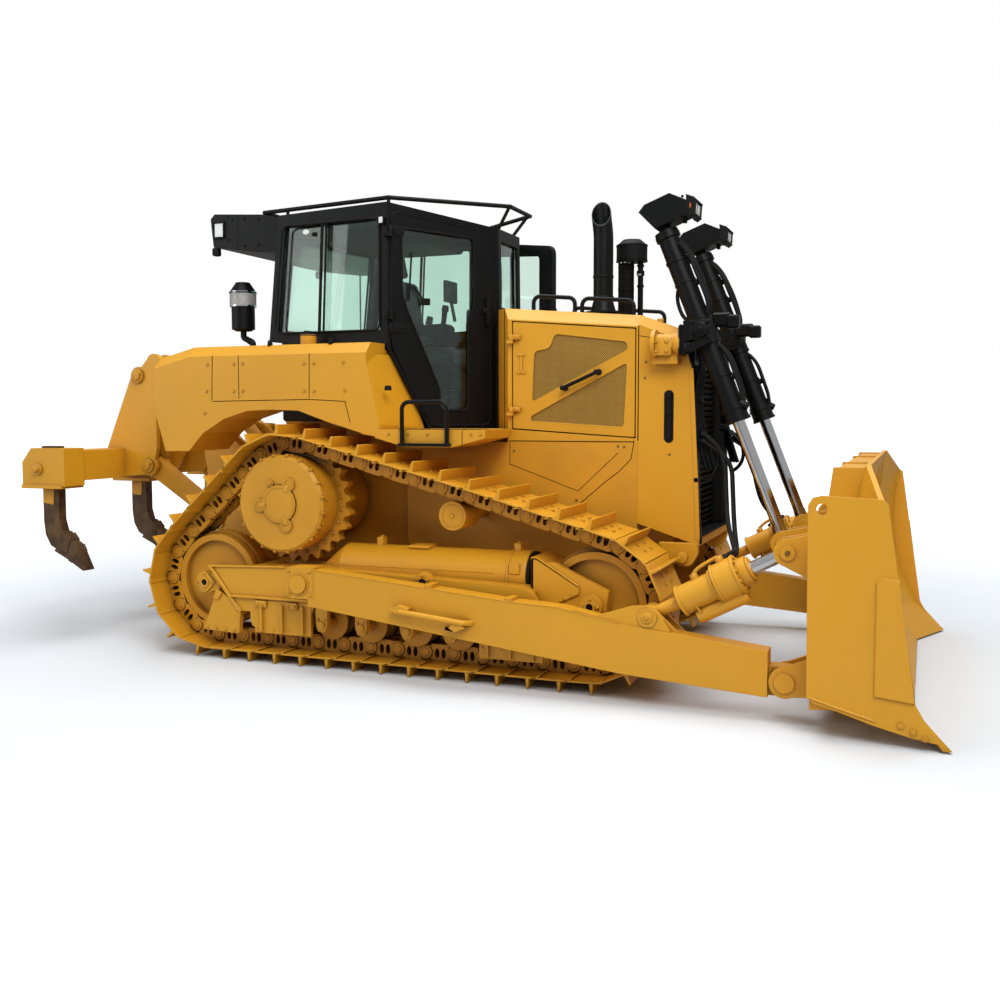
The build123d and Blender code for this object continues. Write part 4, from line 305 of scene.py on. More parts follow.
@dataclass(frozen=True)
class WornFinish(Finish):
    """Bare ground-engaging steel under patches of brown film."""

    film: str = "#4A3522"

    def dress(self, tree: bpy.types.NodeTree, shader: bpy.types.Node, output: bpy.types.Node) -> None:
        """Mixes the bare steel with its brown film in patches.

        Args:
            tree: the material's node tree.
            shader: its main shader.
            output: its output node.
        """
        super().dress(tree, shader, output)
        patches = add_node(tree, "ShaderNodeMapRange", {"Value": self.noise(tree, 90.0, 8.0), "From Min": 0.4,
                                                        "From Max": 0.62}, clamp=True)
        mixed = add_node(tree, "ShaderNodeMix",
                         {0: patches.outputs["Result"], 6: shader.inputs["Base Color"].links[0].from_socket,
                          7: linear(self.film)}, data_type="RGBA")
        tree.links.new(mixed.outputs[2], shader.inputs["Base Color"])


@dataclass(frozen=True)
class ClothFinish(Finish):
    """Woven seat cloth: crossing threads with a soft sheen."""

    thread_mm: float = 6.0

    def dress(self, tree: bpy.types.NodeTree, shader: bpy.types.Node, output: bpy.types.Node) -> None:
        """Draws a plain weave; real threads are under 1 mm, drawn coarser so that they show.

        Args:
            tree: the material's node tree.
            shader: its main shader.
            output: its output node.
        """
        super().dress(tree, shader, output)
        shader.inputs["Sheen Weight"].default_value = 0.3
        split = add_node(tree, "ShaderNodeSeparateXYZ", {"Vector": self.place(tree)})
        rate = 2 * math.pi * 1000 / self.thread_mm
        waves = []
        for axis in ("X", "Y", "Z"):
            angle = add_node(tree, "ShaderNodeMath", {0: split.outputs[axis], 1: rate}, operation="MULTIPLY")
            waves.append(add_node(tree, "ShaderNodeMath", {0: angle.outputs[0]}, operation="SINE").outputs[0])
        first = add_node(tree, "ShaderNodeMath", {0: waves[0], 1: waves[1]}, operation="MULTIPLY")
        both = add_node(tree, "ShaderNodeMath", {0: first.outputs[0], 1: waves[2]}, operation="ADD")
        bump = add_node(tree, "ShaderNodeBump", {"Height": both.outputs[0], "Strength": 0.25, "Distance": 0.001,
                                                 "Normal": shader.inputs["Normal"].links[0].from_socket})
        tree.links.new(bump.outputs["Normal"], shader.inputs["Normal"])


@dataclass(frozen=True)
class ClearFinish(Finish):
    """Toughened glass or clear plastic with a tint that lets the view through."""

    def dress(self, tree: bpy.types.NodeTree, shader: bpy.types.Node, output: bpy.types.Node) -> None:
        """Makes the shader clear, with a film of uneven cleanness.

        Args:
            tree: the material's node tree.
            shader: its main shader.
            output: its output node; not used.
        """
        shader.inputs["Transmission Weight"].default_value = 1.0
        shader.inputs["IOR"].default_value = 1.45
        film = add_node(tree, "ShaderNodeValToRGB", {"Fac": self.noise(tree, 400.0)})
        full = linear(self.colour)
        set_ramp(film, [(0.35, tuple(c * 0.96 for c in full[:3]) + (1.0,)), (0.65, full)])
        tree.links.new(film.outputs["Color"], shader.inputs["Base Color"])


# Two-pack enamel sprayed on plate: an even, semi-gloss yellow with a little orange peel and soft edges,
# darkened with painted shade in recesses.
YELLOW = Finish("yellow_enamel", "#E5A523", Slot.YELLOW, roughness=0.42, shade=0.94, patch_mm=900.0,
                grain_mm=45.0, grain=0.025, edge_mm=5.0, painted_shade_mm=110.0, painted_shade_colour="#9A6C1A")
# The same enamel over sand castings: a pebbled skin that breaks up the highlights, darkened with painted shade
# in recesses.
CAST_YELLOW = CastFinish("yellow_cast_iron", "#DF9F22", Slot.YELLOW, roughness=0.5, shade=0.9, patch_mm=300.0,
                         grain_mm=40.0, grain=0.06, edge_mm=5.0, painted_shade_mm=120.0, painted_shade_colour="#553810")
# Powder coat on the cab and guards: a satin black that shows broad soft highlights.
BLACK = Finish("black_powder_coat", "#0B0C0D", Slot.BLACK, roughness=0.42, shade=0.8, patch_mm=300.0,
               grain_mm=12.0, grain=0.04, edge_mm=4.0, specular=0.2)
# Moulded black plastic and rubber: duller than the coat, with a fine grain.
RUBBER = Finish("black_moulded_rubber", "#0C0D0E", Slot.BLACK, roughness=0.62, shade=0.85, patch_mm=120.0,
                grain_mm=6.0, grain=0.08, specular=0.22)
# Hard-chromed rods: a mirror with faint lengthways polishing.
CHROME = Finish("hard_chrome", "#D5D7DA", Slot.CHROME, roughness=0.12, metallic=1.0, shade=0.96, patch_mm=80.0,
                grain_mm=20.0, grain=0.01)
# Cast engine under paint, seen only through the doors.
ENGINE = CastFinish("engine_paint", "#9A6F1E", Slot.CAST, roughness=0.6, shade=0.7, patch_mm=200.0,
                    grain_mm=60.0, grain=0.3)
# Toughened cab glass: a pale mint tint.
GLASS = ClearFinish("tinted_safety_glass", "#D9EFE6", Slot.GLASS, roughness=0.0)
# Punched sheet over the engine bay: olive gold, as its holes are painted dark for the shade behind them.
MESH = SheetMesh("perforated_sheet", "#B58A2C", Slot.YELLOW, roughness=0.55, shade=0.9, patch_mm=500.0)
# Ripper shanks below the beam: bare forged steel under a brown film.
WORN = WornFinish("forged_steel_worn", "#6A4E30", Slot.STEEL, roughness=0.55, metallic=0.35, shade=0.75,
                  patch_mm=160.0, grain_mm=14.0, grain=0.3, edge_mm=4.0)
# The shadow inside a gap between two panels.
GAP = Finish("panel_gap", "#33230A", Slot.YELLOW, roughness=0.8, shade=0.8, patch_mm=200.0, specular=0.1)
# Plated panel screws, dulled by dust.
SCREW = Finish("plated_screw", "#8A6C2C", Slot.STEEL, roughness=0.5, metallic=0.4, shade=0.8, patch_mm=20.0,
               grain_mm=6.0, grain=0.1)
# The light gauze band of the filter canister.
GAUZE = Finish("metal_gauze", "#B9BBB8", Slot.CHROME, roughness=0.5, metallic=0.3, shade=0.7, patch_mm=12.0)
# White LED faces of the work lamps, lit from outside only.
LED = Finish("led_cover", "#F2F5F6", Slot.GLASS, roughness=0.15, shade=0.97, patch_mm=30.0, grain_mm=5.0,
             grain=0.15)
# Amber side reflectors.
AMBER = Finish("amber_reflector", "#C8621A", Slot.GLASS, roughness=0.2, shade=0.8, patch_mm=20.0, grain_mm=4.0,
               grain=0.3)
# Cab lining and controls: mid-grey moulded plastic.
LINING = Finish("grey_lining", "#3C4142", Slot.BLACK, roughness=0.7, shade=0.85, patch_mm=200.0, grain_mm=5.0,
                grain=0.1, specular=0.3)
# Seat cloth: charcoal weave.
CLOTH = ClothFinish("seat_weave", "#2B2C2F", Slot.CLOTH, roughness=0.85, shade=0.85, patch_mm=60.0)


# ---------------------------------------------------------------- shaping
def frame_at(place: Point, direction: Vector, upright: Vector | None = None) -> Matrix:
    """A frame at a place whose z axis runs along a direction.

    Args:
        place: its origin.
        direction: where its z axis points.
        upright: where its x axis points as nearly as it can, if that matters.

    Returns:
        The frame as a matrix.
    """
    z = Vector(direction).normalized()
    usual = Vector((0, 0, 1)) if abs(z.z) < 0.9 else Vector((1, 0, 0))
    guide = Vector(upright) if upright is not None else usual
    x = (guide - z * guide.dot(z)).normalized()
    y = z.cross(x)
    made = Matrix((x, y, z)).transposed().to_4x4()
    made.translation = Vector(place)
    return made


SIDE = Matrix(((1, 0, 0, 0), (0, 0, -1, 0), (0, 1, 0, 0), (0, 0, 0, 1)))


def rounded(outline: Sequence[Corner], radius: float, steps: int = 5) -> list[Corner]:
    """Rounds the corners of an outline.

    Args:
        outline: its corners in turn.
        radius: how far from each corner the curve starts, at most.
        steps: runs in each curve.

    Returns:
        The outline with its curves.
    """
    made = []
    count = len(outline)
    for i, corner in enumerate(outline):
        here = Vector(corner)
        before, after = Vector(outline[i - 1]) - here, Vector(outline[(i + 1) % count]) - here
        reach = min(radius, before.length * 0.45, after.length * 0.45)
        start, end = here + before.normalized() * reach, here + after.normalized() * reach
        for k in range(steps + 1):
            t = k / steps
            point = start * (1 - t) ** 2 + here * 2 * t * (1 - t) + end * t ** 2
            made.append((point.x, point.y))
    return made


class Form:
    """A mesh in millimetres of the design frame, shaped by operators and closed as one piece."""

    def __init__(self) -> None:
        """Starts empty."""
        self.mesh = bmesh.new()

    def soften(self, faces: Iterable[bmesh.types.BMFace], width: float, steps: int = 1) -> None:
        """Bevels the sharp edges between the given faces."""
        if width <= 0:
            return
        edges = {e for f in faces for e in f.edges if len(e.link_faces) == 2 and e.calc_face_angle(0) > 0.45}
        bmesh.ops.bevel(self.mesh, geom=list(edges), offset=width, offset_type="OFFSET", segments=steps,
                        profile=0.5, affect="EDGES", clamp_overlap=True, material=-1)

    def block(self, low: Point, high: Point, edge: float = 0.0, steps: int = 1) -> None:
        """Adds a block between two corners with softened edges."""
        size = [abs(b - a) for a, b in zip(low, high)]
        middle = [(a + b) / 2 for a, b in zip(low, high)]
        made = bmesh.ops.create_cube(self.mesh, size=1.0,
                                     matrix=Matrix.Translation(middle) @ Matrix.Diagonal((*size, 1.0)))
        self.soften({f for v in made["verts"] for f in v.link_faces}, edge, steps)

    def panel(self, frame: Matrix, outline: Sequence[Corner], depth: float, corner: float = 0.0,
              edge: float = 0.0, steps: int = 3) -> None:
        """Adds a plate: an outline in a frame's x and y, with rounded corners, extruded along z.

        Args:
            frame: where the outline lies.
            outline: its corners in turn.
            depth: the plate's thickness along the frame's z axis.
            corner: radius of its corners.
            edge: bevel of its edges.
            steps: segments of each rounded corner.
        """
        corners = [self.mesh.verts.new(frame @ Vector((x, y, 0.0))) for x, y in outline]
        face = self.mesh.faces.new(corners)
        if corner > 0:
            curved = bmesh.ops.bevel(self.mesh, geom=corners, offset=corner, offset_type="OFFSET",
                                     segments=steps, profile=0.5, affect="VERTICES", clamp_overlap=True,
                                     material=-1)
            face = curved["verts"][0].link_faces[0]
        made = bmesh.ops.extrude_face_region(self.mesh, geom=[face], use_keep_orig=True)
        moved = [g for g in made["geom"] if isinstance(g, bmesh.types.BMVert)]
        bmesh.ops.translate(self.mesh, verts=moved, vec=frame.to_3x3() @ Vector((0, 0, depth)))
        self.soften({f for v in moved for f in v.link_faces} | {face}, edge)

    def pierced(self, frame: Matrix, outline: Sequence[Corner], holes: Sequence[Sequence[Corner]],
                depth: float) -> None:
        """Adds a plate with holes through it.

        Args:
            frame: where the outline lies.
            outline: its corners in turn.
            holes: the corners of each hole.
            depth: the plate's thickness along the frame's z axis.
        """
        edges = []
        for loop in (outline, *holes):
            corners = [self.mesh.verts.new(frame @ Vector((x, y, 0.0))) for x, y in loop]
            edges += [self.mesh.edges.new(pair) for pair in zip(corners, corners[1:] + corners[:1])]
        axis = frame.to_3x3() @ Vector((0, 0, 1))
        filled = bmesh.ops.triangle_fill(self.mesh, use_beauty=True, edges=edges, normal=axis)
        faces = [g for g in filled["geom"] if isinstance(g, bmesh.types.BMFace)]
        made = bmesh.ops.extrude_face_region(self.mesh, geom=faces, use_keep_orig=True)
        moved = [g for g in made["geom"] if isinstance(g, bmesh.types.BMVert)]
        bmesh.ops.translate(self.mesh, verts=moved, vec=axis * depth)

    def plate(self, outline: Sequence[Corner], y0: float, y1: float, corner: float = 0.0, edge: float = 0.0,
              steps: int = 3) -> None:
        """Adds a plate with a side outline of (x, z), between two y values."""
        self.panel(Matrix.Translation((0, max(y0, y1), 0)) @ SIDE, outline, abs(y1 - y0), corner, edge, steps)

    def rod(self, start: Point, end: Point, radius: float, far_radius: float | None = None, sides: int = 24,
            edge: float = 0.0) -> None:
        """Adds a round bar or cone between two points with softened rims.

        Args:
            start: centre of its first end.
            end: centre of its far end.
            radius: its radius.
            far_radius: its radius at the far end, when it tapers.
            sides: faces round it.
            edge: softening of its rims.
        """
        a, b = Vector(start), Vector(end)
        far = radius if far_radius is None else far_radius
        frame = frame_at(tuple((a + b) / 2), b - a)
        made = bmesh.ops.create_cone(self.mesh, cap_ends=True, segments=sides, radius1=radius, radius2=far,
                                     depth=(b - a).length, matrix=frame)
        if edge > 0:
            faces = [f for f in {f for v in made["verts"] for f in v.link_faces} if len(f.verts) > 4]
            rims = {e for f in faces for e in f.edges}
            bmesh.ops.bevel(self.mesh, geom=list(rims), offset=edge, offset_type="OFFSET", segments=2,
                            profile=0.5, affect="EDGES", clamp_overlap=True, material=-1)

    def lathe(self, frame: Matrix, profile: Sequence[Corner], steps: int = 32) -> None:
        """Spins a profile of (radius, height) about a frame's z axis; ends on the axis close it.

        Args:
            frame: its origin and z axis are the axis of the turned form.
            profile: its section, as radius and height.
            steps: faces round it.
        """
        points = [self.mesh.verts.new(frame @ Vector((max(r, 0.0), 0.0, h))) for r, h in profile]
        edges = [self.mesh.edges.new(pair) for pair in zip(points, points[1:])]
        axis = frame.to_3x3() @ Vector((0, 0, 1))
        bmesh.ops.spin(self.mesh, geom=points + edges, cent=frame.translation, axis=axis,
                       angle=2 * math.pi, steps=steps, use_merge=True)
        bmesh.ops.remove_doubles(self.mesh, verts=[v for v in self.mesh.verts if v.is_valid], dist=0.01)

    def tube(self, points: Sequence[Point], radius: float, closed: bool = False, smooth: bool = True,
             sides: int = 4) -> None:
        """Adds a round tube along a NURBS curve, or along straight runs when not smooth.

        Args:
            points: places that it follows.
            radius: its radius.
            closed: whether its ends meet.
            smooth: whether it bends smoothly or runs straight from place to place.
            sides: how finely it is rounded.
        """
        curve = bpy.data.curves.new("route", "CURVE")
        curve.dimensions = "3D"
        curve.resolution_u, curve.bevel_resolution = (5, sides - 2) if smooth else (1, sides - 2)
        curve.bevel_depth, curve.use_fill_caps = radius, True
        spline = curve.splines.new("NURBS" if smooth else "POLY")
        spline.points.add(len(points) - 1)
        for slot_point, place in zip(spline.points, points):
            slot_point.co = (*place, 1.0)
        if smooth:
            spline.order_u, spline.use_endpoint_u = 3, not closed
        spline.use_cyclic_u = closed
        holder = bpy.data.objects.new("route", curve)
        made = bpy.data.meshes.new_from_object(holder)
        self.mesh.from_mesh(made)
        bpy.data.objects.remove(holder)
        bpy.data.curves.remove(curve)
        bpy.data.meshes.remove(made)

    def bolt(self, place: Point, direction: Point, size: float = 14.0, washer: bool = True) -> None:
        """Adds a hexagon bolt head on its washer, standing out along a direction."""
        start, way = Vector(place), Vector(direction).normalized()
        if washer:
            self.rod(tuple(start - way), tuple(start + way * size * 0.2), size * 1.15, sides=12)
        self.rod(tuple(start), tuple(start + way * size * 0.75), size * 0.9, size * 0.82, sides=6)

    def bolts(self, centre: Point, direction: Point, radius: float, count: int, size: float,
              start: float = 0.0) -> None:
        """Adds a ring of bolt heads.

        Args:
            centre: the ring's middle.
            direction: the heads' direction.
            radius: the ring's radius.
            count: how many heads.
            size: each head's radius.
            start: the first head's angle, in radians.
        """
        frame = frame_at(centre, Vector(direction))
        for i in range(count):
            turn = start + 2 * math.pi * i / count
            place = frame @ Vector((radius * math.cos(turn), radius * math.sin(turn), 0))
            self.bolt(tuple(place), direction, size)

    def strip(self, points: Sequence[Point], normal: Point, width: float = 5.0, lift: float = 0.7) -> None:
        """Adds a thin flat strip along points on a surface, such as a panel gap."""
        for a, b in zip(points, points[1:]):
            start, end = Vector(a), Vector(b)
            frame = frame_at(tuple((start + end) / 2), end - start, Vector(normal))
            size = (2 * lift, width, (end - start).length + width, 1.0)
            bmesh.ops.create_cube(self.mesh, size=1.0, matrix=frame @ Matrix.Diagonal(size))

    def ring(self, place: Point, direction: Point, inner: float, outer: float, height: float,
             steps: int = 32) -> None:
        """Adds a flat ring that stands on a surface."""
        self.lathe(frame_at(place, Vector(direction)),
                   [(inner, -0.5), (inner, height), (outer, height), (outer, -0.5), (inner, -0.5)], steps)

    def add(self, other: "Form", frame: Matrix | None = None) -> None:
        """Adds a copy of another form, moved by a frame.

        Args:
            other: the form that is copied.
            frame: where the copy goes, when it is moved.
        """
        made = bpy.data.meshes.new("copy")
        other.mesh.to_mesh(made)
        if frame is not None:
            made.transform(frame)
        self.mesh.from_mesh(made)
        bpy.data.meshes.remove(made)

    def handed(self, side: int) -> "Form":
        """Turns the form into its mirror image when side is -1, and returns it."""
        if side < 0:
            bmesh.ops.transform(self.mesh, matrix=Matrix.Diagonal((1, -1, 1, 1)), verts=self.mesh.verts[:])
        return self

    def turned(self, centre: Corner, degrees: float) -> "Form":
        """Turns the form about an upright axis, and returns it."""
        there = Matrix.Translation((centre[0], centre[1], 0))
        turn = there @ Matrix.Rotation(math.radians(degrees), 4, "Z") @ there.inverted()
        bmesh.ops.transform(self.mesh, matrix=turn, verts=self.mesh.verts[:])
        return self

    def mirror(self) -> None:
        """Adds the same shape on the other side of the machine."""
        bmesh.ops.mirror(self.mesh, geom=self.mesh.verts[:] + self.mesh.edges[:] + self.mesh.faces[:],
                         matrix=Matrix.Identity(4), merge_dist=-1.0, axis="Y")

    def close(self, name: str, body: Body | None, finish: Finish, sharp_deg: float = 35.0) -> bpy.types.Object:
        """Turns the form into a piece of the machine.

        Args:
            name: the piece's name.
            body: the body it rides on, or None when it rides on none.
            finish: its finish.
            sharp_deg: edges sharper than this stay crisp.

        Returns:
            The piece.
        """
        bmesh.ops.recalc_face_normals(self.mesh, faces=self.mesh.faces[:])
        made = bpy.data.meshes.new(name)
        self.mesh.to_mesh(made)
        self.mesh.free()
        made.transform(TO_METRES)
        made.polygons.foreach_set("use_smooth", [True] * len(made.polygons))
        made.set_sharp_from_angle(angle=math.radians(sharp_deg))
        made.materials.append(finish.material())
        piece = bpy.data.objects.new(name, made)
        bpy.context.scene.collection.objects.link(piece)
        if body is not None:
            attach(piece, body.value)
        LOG.info("%s: %d faces on %s", name, len(made.polygons), body.value if body else "two bodies")
        return piece


# ---------------------------------------------------------------- studio
@dataclass
class Studio:
    """Camera, lamps, world and floor, in metres."""

    camera_place: Point = (3.0992, -7.4168, 1.6959)
    azimuth_deg: float = 22.241
    elevation_deg: float = 4.182
    roll_deg: float = -0.153
    lens_mm: float = 39.135
    shift: Corner = (0.0175, -0.0075)
    key_power: float = 850.0
    fill_power: float = 260.0
    top_power: float = 950.0
    sky: float = 0.22
    mirrored_sky: float = 0.28
    floor_tint: Point = (0.93, 0.985, 1.04)
    floor_half: float = 60.0

    def build(self) -> None:
        """Makes the whole studio."""
        self.camera()
        self.lamps()
        self.world()
        self.floor()

    def camera(self) -> None:
        """Sets the camera at its place with its turn worked out from the angles."""
        turn, lift, roll = (math.radians(a) for a in (self.azimuth_deg, self.elevation_deg, self.roll_deg))
        back = Vector((math.sin(turn) * math.cos(lift), -math.cos(turn) * math.cos(lift), math.sin(lift)))
        right = Vector((math.cos(turn), math.sin(turn), 0.0))
        up = back.cross(right)
        side = right * math.cos(roll) + up * math.sin(roll)
        top = up * math.cos(roll) - right * math.sin(roll)
        data = bpy.data.cameras.new("camera")
        data.lens, data.sensor_width = self.lens_mm, 36.0
        data.shift_x, data.shift_y = self.shift
        data.clip_start, data.clip_end = 0.1, 200.0
        made = bpy.data.objects.new("camera", data)
        turned = Matrix((side, top, back)).transposed().to_4x4()
        made.matrix_world = Matrix.Translation(self.camera_place) @ turned
        bpy.context.scene.collection.objects.link(made)
        bpy.context.scene.camera = made

    def lamp(self, name: str, place: Point, size: float, power: float) -> None:
        """Adds a square soft box aimed at the machine's middle.

        Args:
            name: the lamp's name.
            place: where it stands.
            size: the box's side.
            power: its power in watts.
        """
        data = bpy.data.lights.new(name, "AREA")
        data.size, data.energy = size, power
        made = bpy.data.objects.new(name, data)
        back = Vector(place) - Vector((0.0, 0.0, 1.2))
        made.matrix_world = Matrix.Translation(place) @ back.to_track_quat("Z", "Y").to_matrix().to_4x4()
        bpy.context.scene.collection.objects.link(made)

    def lamps(self) -> None:
        """A high key from the front right, a lower fill from the rear and a broad light overhead."""
        self.lamp("key", (5.5, -8.5, 9.5), 6.0, self.key_power)
        self.lamp("fill", (-9.0, -8.0, 5.0), 6.0, self.fill_power)
        self.lamp("top", (0.0, 0.5, 11.0), 9.0, self.top_power)

    def world(self) -> None:
        """A plain sky that is pure white to the camera and through glass, and dimmer to mirrors."""
        world = bpy.data.worlds.new("sky")
        world.use_nodes = True
        tree = world.node_tree
        tree.nodes.clear()
        ray = add_node(tree, "ShaderNodeLightPath")
        seen = add_node(tree, "ShaderNodeMath", {0: ray.outputs["Is Glossy Ray"], 1: self.mirrored_sky},
                        operation="MULTIPLY").outputs[0]
        for kind in ("Is Camera Ray", "Is Transmission Ray"):
            seen = add_node(tree, "ShaderNodeMath", {0: seen, 1: ray.outputs[kind]},
                            operation="MAXIMUM").outputs[0]
        strength = add_node(tree, "ShaderNodeMapRange", {"Value": seen, "To Min": self.sky, "To Max": 1.0})
        sky = add_node(tree, "ShaderNodeBackground", {"Strength": strength.outputs["Result"]})
        sky.inputs["Color"].default_value = (1.0, 1.0, 1.0, 1.0)
        add_node(tree, "ShaderNodeOutputWorld", {"Surface": sky.outputs[0]})
        bpy.context.scene.world = world

    def floor(self) -> None:
        """A pale floor that is white in the open and keeps the machine's soft shadow."""
        mesh = bmesh.new()
        bmesh.ops.create_grid(mesh, x_segments=1, y_segments=1, size=self.floor_half)
        bmesh.ops.translate(mesh, verts=mesh.verts[:], vec=(0.0, 0.0, -0.002))
        data = bpy.data.meshes.new("floor")
        mesh.to_mesh(data)
        mesh.free()
        paint = bpy.data.materials.new("floor_paint")
        paint.use_nodes = True
        tree = paint.node_tree
        tree.nodes.clear()
        ray = add_node(tree, "ShaderNodeLightPath")
        grain = add_node(tree, "ShaderNodeTexNoise", {"Scale": 3.0})
        tone = add_node(tree, "ShaderNodeMapRange",
                        {"Value": grain.outputs["Fac"], "To Min": 0.5, "To Max": 0.54})
        matt = add_node(tree, "ShaderNodeBsdfDiffuse", {"Color": tone.outputs["Result"]})
        bright = add_node(tree, "ShaderNodeMapRange",
                          {"Value": grain.outputs["Fac"], "To Min": 0.86, "To Max": 0.88})
        cool = add_node(tree, "ShaderNodeVectorMath", {0: bright.outputs["Result"], 1: self.floor_tint},
                        operation="MULTIPLY")
        seen = add_node(tree, "ShaderNodeBsdfDiffuse", {"Color": cool.outputs["Vector"]})
        place = add_node(tree, "ShaderNodeTexCoord").outputs["Object"]
        away = add_node(tree, "ShaderNodeVectorMath", {0: place}, operation="LENGTH")
        haze = add_node(tree, "ShaderNodeMapRange", {"Value": away.outputs["Value"], "From Min": 4.0,
                                                     "From Max": 12.0}, clamp=True)
        glow = add_node(tree, "ShaderNodeEmission", {"Strength": haze.outputs["Result"]})
        lit = add_node(tree, "ShaderNodeAddShader", {0: seen.outputs[0], 1: glow.outputs[0]})
        mixed = add_node(tree, "ShaderNodeMixShader",
                         {0: ray.outputs["Is Camera Ray"], 1: matt.outputs[0], 2: lit.outputs[0]})
        add_node(tree, "ShaderNodeOutputMaterial", {"Surface": mixed.outputs[0]})
        data.materials.append(paint)
        made = bpy.data.objects.new("floor", data)
        bpy.context.scene.collection.objects.link(made)


# ---------------------------------------------------------------- finishes of the frame's own pieces
NODE_FINISHES: dict[str, Finish] = {
    "main_case": CAST_YELLOW, "engine_block": ENGINE, "track_right": YELLOW, "track_left": YELLOW,
    "sprocket_right": CAST_YELLOW, "sprocket_left": CAST_YELLOW, "track_wheels_right": CAST_YELLOW,
    "track_wheels_left": CAST_YELLOW, "track_frame_right": YELLOW, "track_frame_left": YELLOW,
    "equaliser_bar": CAST_YELLOW, "hood": YELLOW, "engine_door_right": YELLOW, "engine_door_left": YELLOW,
    "radiator_guard": YELLOW, "grille": BLACK, "exhaust_stack": BLACK, "air_precleaner": RUBBER,
    "handrails": BLACK, "cab_shell": BLACK, "cab_glass": GLASS, "roof_unit": BLACK, "roof_rail": BLACK,
    "cab_door_right": BLACK, "cab_door_left": BLACK, "door_glass_right": GLASS, "door_glass_left": GLASS,
    "filter_canister": BLACK, "fender_right": YELLOW, "fender_left": YELLOW, "grab_loop_right": BLACK,
    "grab_loop_left": BLACK, "lift_support_right": YELLOW, "lift_support_left": YELLOW,
    "lift_yoke_right": BLACK, "lift_yoke_left": BLACK,
    "lift_barrel_right": BLACK, "lift_barrel_left": BLACK, "work_lamp_right": BLACK, "work_lamp_left": BLACK,
    "lift_rod_right": CHROME, "lift_rod_left": CHROME, "push_arm_right": YELLOW, "push_arm_left": YELLOW,
    "blade": YELLOW, "tilt_barrel_right": YELLOW, "tilt_barrel_left": YELLOW, "tilt_rod_right": CHROME,
    "tilt_rod_left": CHROME, "ripper_bracket": YELLOW, "ripper_lower_link": YELLOW,
    "ripper_upper_links": YELLOW,
    "ripper_beam": YELLOW, "ripper_shanks": WORN, "ripper_barrels": YELLOW, "ripper_rods": CHROME,
}


def dress_nodes(nodes: dict[str, bpy.types.Object]) -> None:
    """Gives each of the frame's own pieces its finish."""
    for name, piece in nodes.items():
        finish = NODE_FINISHES.get(name, YELLOW)
        piece.data.materials.clear()
        piece.data.materials.append(finish.material())


# ---------------------------------------------------------------- track chain
def oval(centre: Corner, half: Corner, steps: int = 10) -> list[Corner]:
    """Corners of an upright oval."""
    return [(centre[0] + half[0] * math.cos(2 * math.pi * i / steps),
             centre[1] + half[1] * math.sin(2 * math.pi * i / steps)) for i in range(steps)]


